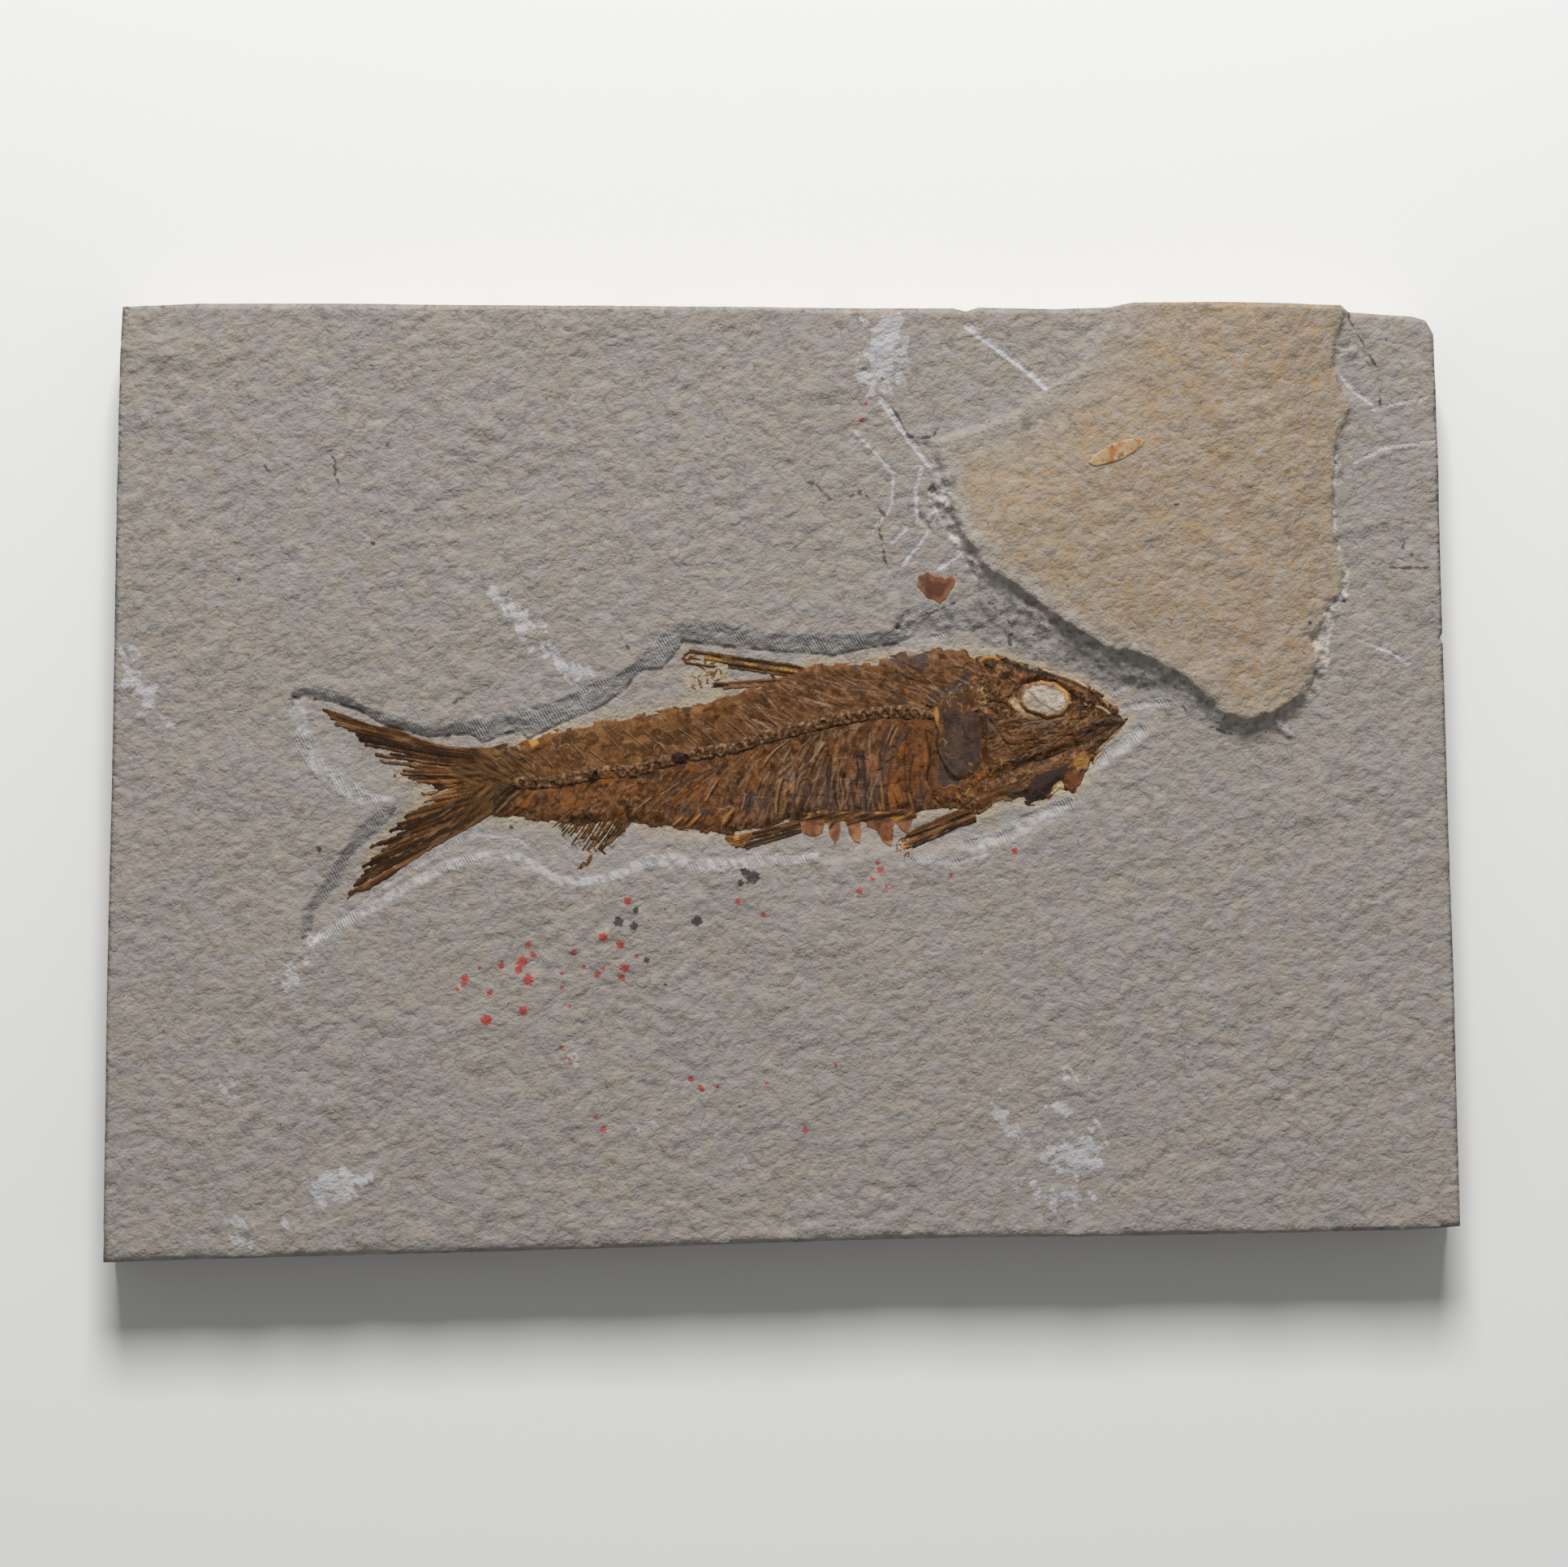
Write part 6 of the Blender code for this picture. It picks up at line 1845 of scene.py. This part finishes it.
def make_lower_flank():
    """The belly side: scales over ribs that sweep down and back."""
    spine = moved_up(plan(BACKBONE_LINE), 0.2 * MM)
    front = plan([(1165, 880), (1205, 910), (1218, 960), (1214, 1006), (1187, 1006)])
    belly = moved_up(plan(BELLY_LINE[:-1]), -0.7 * MM)
    outline = np.concatenate([spine, front, belly[::-1], plan([(596, 1012), (594, 965)])])
    make_flank("lower_flank", outline, belly_strokes(), 0.38, BELLY_INKS, belly_coats)


def make_backbone():
    """The row of vertebrae, each a knob with a hollow."""
    spine = plan(BACKBONE_LINE)
    upper, lower = moved_up(spine, 0.85 * MM), moved_up(spine, -0.85 * MM)
    outline = np.concatenate([upper, plan([(1152, 884)]), lower[::-1], plan([(628, 966)])])

    def hollows(points):
        across = (points[:, 1] - height_at(spine, points[:, 0])) / (0.82 * MM)
        index, offset = comb(points[:, 0] + 0.3 * across * MM, 1.28 * MM, 2.5, 0.35)
        deep = ramp(chance(index, 4.4), 0.1, 0.5)
        ragged = across + 0.15 + 0.25 * layered(points, 0.6 * MM, 6.9)
        return across, ridge(offset, 0.25 * MM) * ramp(np.abs(ragged), 0.6, 0.25) * deep

    def thickness(points):
        across, hollow = hollows(points)
        crown = 1 - np.clip(np.abs(across), 0, 1) ** 2
        return (0.38 + 0.24 * crown - 0.32 * hollow + 0.12 * layered(points, 0.5 * MM, 4.8)) * MM

    def tint(points):
        across, hollow = hollows(points)
        knobbly = layered(points, 0.45 * MM, 4.8)
        colour = covered(mixed(KNOB_DARK, KNOB_LIGHT, ramp(knobbly, -0.2, 0.5)), [
            (PALE, ramp(knobbly, 0.4, 0.7) * 0.5),
            (INK, ramp(-knobbly, 0.1, 0.5) * 0.6),
            # Painted shade in each vertebra's hollow
            (INK, hollow * 0.9),
            # A painted shadow along the backbone's lower edge, which faces away from the light
            (INK, ridge(across + 1.0, 0.3) * 0.6),
        ])
        return painted(points, colour, SPINE_PATCHES, [])

    make_bone("backbone", "vertebra_bone", outline, thickness, tint)


def head_strokes():
    """The crumbs of the skull, and the fine lines of the cheek."""
    roof = [(1206, 812), (1262, 824), (1320, 842), (1370, 874), (1340, 885), (1318, 882), (1318, 852),
            (1285, 838), (1250, 848), (1240, 872), (1262, 884), (1240, 894), (1212, 880), (1198, 850)]
    cheek = [(1216, 888), (1260, 884), (1318, 884), (1376, 888), (1350, 905), (1300, 930), (1236, 950),
             (1214, 930)]
    behind = [(1188, 845), (1212, 845), (1212, 880), (1196, 872)]
    low = [(1186, 952), (1250, 944), (1262, 958), (1225, 976), (1190, 992)]
    roof_inks = [TAN, INK, DARK, INK, ORANGE, LIGHT]
    cheek_inks = [TAN, INK, DARK, LIGHT, WARM, INK]
    low_inks = [OCHRE, INK, ORANGE, INK, RED_BROWN, TAN]
    return (
        strewn(11, 800, roof, crumb_flow, 0.8 * MM, 0.085 * MM, roof_inks, 0.2, 0.75)
        + strewn(12, 420, cheek, cheek_flow, 1.6 * MM, 0.09 * MM, cheek_inks, 0.2, 0.7)
        + strewn(13, 90, behind, crumb_flow, 0.8 * MM, 0.08 * MM, [CREAM, OCHRE, INK, INK, PALE], 0.3, 0.9)
        + strewn(14, 240, low, crumb_flow, 1.0 * MM, 0.1 * MM, low_inks, 0.3, 0.8)
        + drawn_by_hand(HEAD_STROKES)
    )


def eye_depth(points):
    """Depth inside the eye's opening or the gap at the snout."""
    openings = deepest(points, [EYE_OUTLINE, SNOUT_GAP])
    return openings + 0.18 * MM * layered(points, 0.9 * MM, 12.2)


def make_skull():
    """Skull roof, snout and cheek, open at the eye, where the stone shows."""
    strokes = head_strokes()

    def thickness(points):
        own = depth_in(points, SKULL_OUTLINE)
        eye = eye_depth(points)
        crown = 0.60 + 0.18 * ramp(own, 0, 2.5 * MM) + 0.04 * ridge(eye + 0.35 * MM, 0.35 * MM)
        tilt = flakes(wandering(points, 0.7 * MM, 0.2 * MM, 2.2), 0.9 * MM, 11.0)[1]
        relief = 0.09 * layered(points, 0.8 * MM, 41.2, 4) + 0.3 * tilt
        relief += 1.2 * stroke_relief(points, strokes)
        cover = np.minimum(np.minimum(body_cover(points) + 0.1 * MM, own + 0.1 * MM), -eye)
        return cut_bone(cover, (crown + relief) * MM)

    def tint(points):
        rim = ridge(eye_depth(points) + 0.15 * MM, 0.22 * MM)
        rim *= ramp(layered(points, 0.6 * MM, 23.8), -0.3, 0.2)
        flesh = layered(turned(points, math.radians(25), 2), 1.6 * MM, 43.8)
        colour = covered(mottled(points, BROWN, SKULL_BLOTS, 22.6), [
            (EYE_RIM, rim * 0.8),
            (FLESH_DARK, ramp(flesh, 0.1, 0.5) * 0.6),
            (FLESH_LIGHT, ramp(flesh, -0.1, -0.5) * 0.5),
        ])
        return brushed(points, painted(points, colour, HEAD_PATCHES, []), strokes)

    make_bone("skull", "skull_bone", plan(SKULL_OUTLINE), thickness, tint)


def make_lower_jaw():
    """Lower jaw and throat plates."""
    zone = [(1200, 985), (1240, 958), (1300, 940), (1340, 922), (1340, 950), (1262, 988), (1206, 1004)]
    inks = [INK, DARK, OCHRE, ORANGE, RED_BROWN, TAN]
    crumbs = strewn(15, 330, zone, cheek_flow, 1.4 * MM, 0.09 * MM, inks)

    def thickness(points):
        own = depth_in(points, LOWER_JAW_OUTLINE)
        step = ramp(depth_in(points, THROAT_PLATE), -0.05 * MM, 0.05 * MM)
        relief = (0.06 * layered(points, 0.8 * MM, 2.9) + stroke_relief(points, crumbs)) * (1 - 0.8 * step)
        return cut_bone(np.minimum(body_cover(points) + 0.1 * MM, own), (0.46 + 0.14 * step + relief) * MM)

    def tint(points):
        colour = brushed(points, mottled(points, UMBER, JAW_BLOTS, 33.4), crumbs)
        return painted(points, colour, JAW_PATCHES, JAW_STROKES)

    make_bone("lower_jaw", "skull_bone", plan(LOWER_JAW_OUTLINE), thickness, tint)


def make_gill_cover():
    """The smooth dark plates behind the cheek."""

    def plate_depth(points):
        return depth_in(wandering(points, MM, 0.2 * MM, 8.3), GILL_PLATE)

    def thickness(points):
        plate = ramp(plate_depth(points), -0.06 * MM, 0.06 * MM)
        tilt = flakes(wandering(points, 1.5 * MM, 0.3 * MM, 2.9), 2.6 * MM, 17.0)[1]
        relief = 0.74 + 0.04 * plate + 0.2 * tilt + 0.03 * layered(points, 1 * MM, 6.4)
        return cut_bone(depth_in(points, GILL_COVER_OUTLINE), relief * MM)

    def tint(points):
        below = ramp(-plate_depth(points), 0, 0.1 * MM)
        flecks = mixed(BROWN, TAN, ramp(layered(points, 0.5 * MM, 28.1), 0.1, 0.5))
        colour = mottled(points, GILL_BROWN, GILL_BLOTS, 12.1)
        colour = mixed(colour, flecks, below * ramp(layered(points, 0.8 * MM, 29.1), -0.3, 0.1) * 0.8)
        return painted(points, colour, [], GILL_STROKES)

    make_bone("gill_cover", "gill_plate", plan(GILL_COVER_OUTLINE), thickness, tint)


def nearest_ray(points, rays):
    """The index of the ray nearest each point, and how far it is."""
    away = np.array([distance(points, ray) for ray in rays])
    index = away.argmin(axis=0)
    return index, away[index, np.arange(len(points))]


def fan(roots, ends, count, fray, seed, bow=0.0):
    """Rays from points along the roots to points along the ends, some of them broken off short."""
    draw = np.random.default_rng(seed)
    roots, ends = (resampled(plan(line), 0.05 * MM) for line in (roots, ends))
    rays = []
    for k in range(count):
        share = (k + draw.uniform(0.2, 0.8)) / count
        root = roots[int(share * (len(roots) - 1))]
        end = ends[int(share * (len(ends) - 1))]
        end = root + (end - root) * (1 - fray * min(1, 2 * share) * draw.random())
        rays.append(np.array([root, (root + end) / 2 + (0, bow * (1 - share)), end]))
    return rays


def crumb_depth(seed, count, zone, length, half_width):
    """Depth inside short thin crumbs of bone that lie this way and that in a zone."""
    lines = [stroke[1] for stroke in strewn(seed, count, zone, crumb_flow, length, half_width, [DARK])]

    def depth(points):
        thick = half_width * (1 + 0.6 * layered(points, 0.6 * MM, seed + 0.5))
        return thick - np.min([distance(points, line) for line in lines], axis=0)

    return depth


def make_fin(node, skirt, rays, half_width, inks, base, lean, bounds=None, extra=None):
    """A fin of fine rays, with stone showing where they part. The inks run from first ray to last."""

    def ray_cover(points):
        index, away = nearest_ray(points, rays)
        cover = half_width * (1 + 0.6 * layered(points, 0.7 * MM, 9.9)) - away
        if bounds is not None:
            edge = depth_in(points, bounds) + 0.1 * MM * layered(points, 0.8 * MM, 3.1)
            cover = np.minimum(cover, edge)
        scraps = np.full(len(points), -MM) if extra is None else extra(points)
        return index, away, cover, scraps

    def thickness(points):
        _, away, cover, scraps = ray_cover(points)
        ribs = 0.16 * ramp(away, half_width, 0) + 0.05 * layered(points, 0.6 * MM, 2.7)
        return cut_bone(np.maximum(cover, scraps), (base + ribs) * MM)

    def tint(points):
        index, away, cover, scraps = ray_cover(points)
        place = index / max(1, len(rays) - 1) * (len(inks) - 1) + 3 * (chance(index, 5.5) - 0.5)
        colour = np.array(inks)[np.clip(np.round(place), 0, len(inks) - 1).astype(int)]
        drawn = turned(points, math.radians(lean), 5)
        colour = covered(colour, [
            (TAN, ramp(layered(drawn, 0.5 * MM, 5.7), 0.2, 0.5) * 0.6),
            (INK, ramp(layered(drawn, 0.6 * MM, 8.7), -0.1, 0.4) * 0.65),
            # Painted shade in the grooves between the rays
            (INK, ramp(away, 0.3 * half_width, 0.7 * half_width) * 0.8),
            (OCHRE, ramp(cover, 0.06 * MM, -0.05 * MM) * 0.5),
        ])
        scrap = mixed(WARM, OCHRE, ramp(layered(points, 0.8 * MM, 2.2), 0, 0.6))
        return mixed(tail_root(points, colour), scrap, ramp(scraps - cover, 0, 0.1 * MM))

    make_bone(node, "fin_rays", plan(skirt), thickness, tint)


def make_tail():
    """The two lobes of the tail."""
    inks = [WARM, BROWN, DARK, INK, DARK, BROWN, DARK, WARM, DARK, ORANGE, BROWN, DARK, TAN, ORANGE,
            OCHRE]
    upper = fan([(640, 930), (632, 946), (622, 966)], TAIL_UPPER_ENDS, 34, 0.34, 1, -0.7 * MM)
    make_fin("tail_fin_upper", TAIL_UPPER_OUTLINE, upper, 0.22 * MM, inks, 0.28, -17, TAIL_UPPER_OUTLINE)
    lower = fan([(640, 986), (636, 972), (626, 962)], TAIL_LOWER_ENDS, 38, 0.26, 2)
    make_fin("tail_fin_lower", TAIL_LOWER_OUTLINE, lower, 0.22 * MM, inks, 0.28, 32, TAIL_LOWER_OUTLINE)


def make_dorsal_fin():
    """The few rays left of the fin of the back."""
    rays = [plan(line) for line in DORSAL_RAYS]
    rays += fan([(1004, 822), (1004, 838)], [(846, 800), (858, 806), (880, 820)], 8, 0.2, 6)
    rays += fan([(985, 834), (985, 844)], [(874, 842), (880, 850)], 4, 0.15, 7)
    zone = [(842, 804), (862, 800), (888, 812), (890, 838), (870, 852), (850, 848)]
    wisps = crumb_depth(21, 46, zone, 1.1 * MM, 0.07 * MM)
    inks = [TAN, WARM, BROWN, DARK, OCHRE, DARK, BROWN, INK, WARM, DARK, TAN]
    make_fin("dorsal_fin", DORSAL_SKIRT, rays, 0.16 * MM, inks, 0.3, -10, extra=wisps)


def make_anal_fin():
    """The anal fin, and the scrap torn off it."""
    rays = fan([(786, 1002), (760, 1010), (690, 1010)], ANAL_ENDS, 24, 0.5, 3, -0.3 * MM)
    rays.append(plan(ANAL_STRONG_RAY))
    zone = [(690, 1024), (784, 1012), (760, 1046), (735, 1056), (708, 1052)]
    tips = crumb_depth(22, 40, zone, 1.0 * MM, 0.06 * MM)
    inks = [DARK, BROWN, ORANGE, BROWN, WARM, DARK]
    make_fin("anal_fin", ANAL_SKIRT, rays, 0.12 * MM, inks, 0.28, 45, extra=tips)
    scrap_zone = [(712, 1070), (720, 1058), (732, 1056), (728, 1068)]
    bits = crumb_depth(23, 14, scrap_zone, 0.7 * MM, 0.08 * MM)
    scrap = [plan(ANAL_SCRAP_RAY)]
    make_fin("anal_fin_scrap", ANAL_SCRAP_SKIRT, scrap, 0.2 * MM, [ORANGE, BROWN], 0.28, 45, extra=bits)


def make_paired_fins():
    """The pelvic fin with the scales at its tip, and the pectoral fin."""

    def pelvic_scales(points):
        return depth_in(points, PELVIC_SCALES) + 0.15 * MM * layered(points, 0.8 * MM, 15.3)

    pelvic_ends = [(914, 1026), (892, 1036), (900, 1046), (920, 1046)]
    pelvic = fan([(988, 1010), (988, 1026)], pelvic_ends, 12, 0.2, 4)
    inks = [DARK, BROWN, DARK, DARK, BROWN]
    make_fin("pelvic_fin", PELVIC_SKIRT, pelvic, 0.15 * MM, inks, 0.34, 14, extra=pelvic_scales)
    pectoral = fan([(1204, 988), (1204, 1012)], [(1122, 1024), (1112, 1036), (1118, 1048)], 13, 0.1, 5)
    zone = [(1106, 1036), (1122, 1030), (1130, 1044), (1118, 1054), (1106, 1050)]
    tip = crumb_depth(24, 30, zone, 0.8 * MM, 0.08 * MM)
    inks = [DARK, BROWN, INK, WARM, DARK, TAN, DARK]
    make_fin("pectoral_fin", PECTORAL_SKIRT, pectoral, 0.15 * MM, inks, 0.42, 25, extra=tip)


def make_scutes():
    """Keeled belly scales whose tips hang below the belly."""

    def cover(points):
        return deepest(points, SCUTE_OUTLINES) + 0.14 * MM * layered(points, 1.1 * MM, 3.8, 4)

    def thickness(points):
        return cut_bone(cover(points), (0.26 + 0.05 * layered(points, 0.8 * MM, 4.8)) * MM)

    def tint(points):
        tone = flakes(wandering(points, 0.8 * MM, 0.2 * MM, 3.3), 1.4 * MM, 14.0)[0]
        upper = ramp(points[:, 1], -5.1 * MM, -4.4 * MM)
        slivers = layered(turned(points, math.radians(15), 4), 0.5 * MM, 54.8)
        colour = mixed(SCUTE_LIGHT, SCUTE_DARK, tone + 0.5 * layered(points, 0.9 * MM, 44.8))
        colour = covered(colour, [
            (SCUTE_EDGE, ramp(cover(points), 0.2 * MM, 0) * 0.6),
            (mixed(BROWN, INK, ramp(slivers, -0.1, 0.3)), upper * 0.9),
            (OCHRE, upper * ramp(slivers, -0.25, -0.5) * 0.7),
        ])
        return painted(points, colour, [], BODY_STROKES)

    make_bone("belly_scutes", "red_brown_scale", plan(SCUTE_SKIRT), thickness, tint)


def make_chip(node, slot, outline, tint, lift):
    """A small flat bit that lies on the open stone."""
    outline = plan(outline)

    def height(points):
        own = depth_inside(points, outline) + 0.06 * MM * layered(points, 0.8 * MM, 5.1)
        return ground(points) - CHIP_DIVE + (lift + CHIP_DIVE) * ramp(own, 0, 0.22 * MM)

    def foot(rim):
        return np.column_stack([rim[:, :2], rim[:, 2] - CHIP_SIDE])

    make_piece(node, slot, outline, height, foot, tint)


def make_chips():
    """The scale and the sliver of bone that lie apart from the fish."""

    def scale_tint(points):
        own = depth_in(points, LOOSE_SCALE_OUTLINE) + 0.3 * MM * layered(points, 1.4 * MM, 8.4)
        colour = mixed(CHIP_RIM, CHIP_MIDDLE, ramp(own, 0.1 * MM, 1.0 * MM))
        return mixed(colour, CHIP_STAIN, ramp(layered(points, 1.2 * MM, 18.4), 0.1, 0.5) * 0.6)

    def fragment_tint(points):
        colour = mixed(FRAGMENT_PALE, FRAGMENT_RUST, ramp(layered(points, 1.4 * MM, 7.4), 0.0, 0.5))
        return mixed(colour, FRAGMENT_STAIN, ramp(layered(points, 0.6 * MM, 17.4), 0.3, 0.6) * 0.6)

    make_chip("loose_scale", "red_brown_scale", LOOSE_SCALE_OUTLINE, scale_tint, 0.09 * MM)
    make_chip("bone_fragment", "rusty_bone", BONE_FRAGMENT_OUTLINE, fragment_tint, 0.16 * MM)


def make_fish():
    """All the bones."""
    make_upper_flank()
    make_lower_flank()
    make_backbone()
    make_skull()
    make_lower_jaw()
    make_gill_cover()
    make_scutes()
    make_tail()
    make_dorsal_fin()
    make_anal_fin()
    make_paired_fins()
    make_chips()


def add_camera():
    """The camera, straight above the plate."""
    camera = bpy.data.cameras.new("camera")
    camera.lens = CAMERA_LENS
    camera.sensor_width = CAMERA_SENSOR
    camera.clip_start = CAMERA_NEAR
    camera.clip_end = CAMERA_FAR
    holder = bpy.data.objects.new("camera", camera)
    holder.location = (CAMERA_X, CAMERA_Y, SLAB_TOP + CAMERA_HEIGHT)
    bpy.context.scene.collection.objects.link(holder)
    bpy.context.scene.camera = holder


def add_key_light():
    """A soft square light beyond the fish's back that faces the middle of the plate."""
    lamp = bpy.data.lights.new("key", "AREA")
    lamp.size = KEY_SIZE
    lamp.energy = KEY_POWER
    holder = bpy.data.objects.new("key", lamp)
    holder.location = KEY_PLACE
    holder.rotation_euler = (-Vector(KEY_PLACE)).to_track_quat("-Z", "Y").to_euler()
    bpy.context.scene.collection.objects.link(holder)


def add_floor():
    """A plain pale floor just under the plate."""
    corners = [(-FLOOR_HALF, -FLOOR_HALF, 0), (FLOOR_HALF, -FLOOR_HALF, 0)]
    corners += [(FLOOR_HALF, FLOOR_HALF, 0), (-FLOOR_HALF, FLOOR_HALF, 0)]
    floor = new_object("floor", corners, [(0, 1, 2, 3)])
    floor.location = (0, 0, -FLOOR_DROP)
    plain = bpy.data.materials.new("floor")
    plain.use_nodes = True
    shader = plain.node_tree.nodes["Principled BSDF"]
    shader.inputs["Base Color"].default_value = (*FLOOR_COLOUR, 1)
    shader.inputs["Roughness"].default_value = FLOOR_ROUGHNESS
    floor.data.materials.append(plain)


def add_studio():
    """The floor, the key light and an even fill from all round."""
    add_floor()
    add_key_light()
    world = bpy.data.worlds.new("studio")
    world.use_nodes = True
    background = world.node_tree.nodes["Background"]
    background.inputs["Color"].default_value = (1, 1, 1, 1)
    background.inputs["Strength"].default_value = FILL_STRENGTH
    bpy.context.scene.world = world
    bpy.context.scene.view_settings.view_transform = "Standard"


def main():
    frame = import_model()
    assert "slab" in frame["nodes"]
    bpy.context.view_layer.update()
    make_slab()
    make_fish()
    add_camera()
    add_studio()


main()
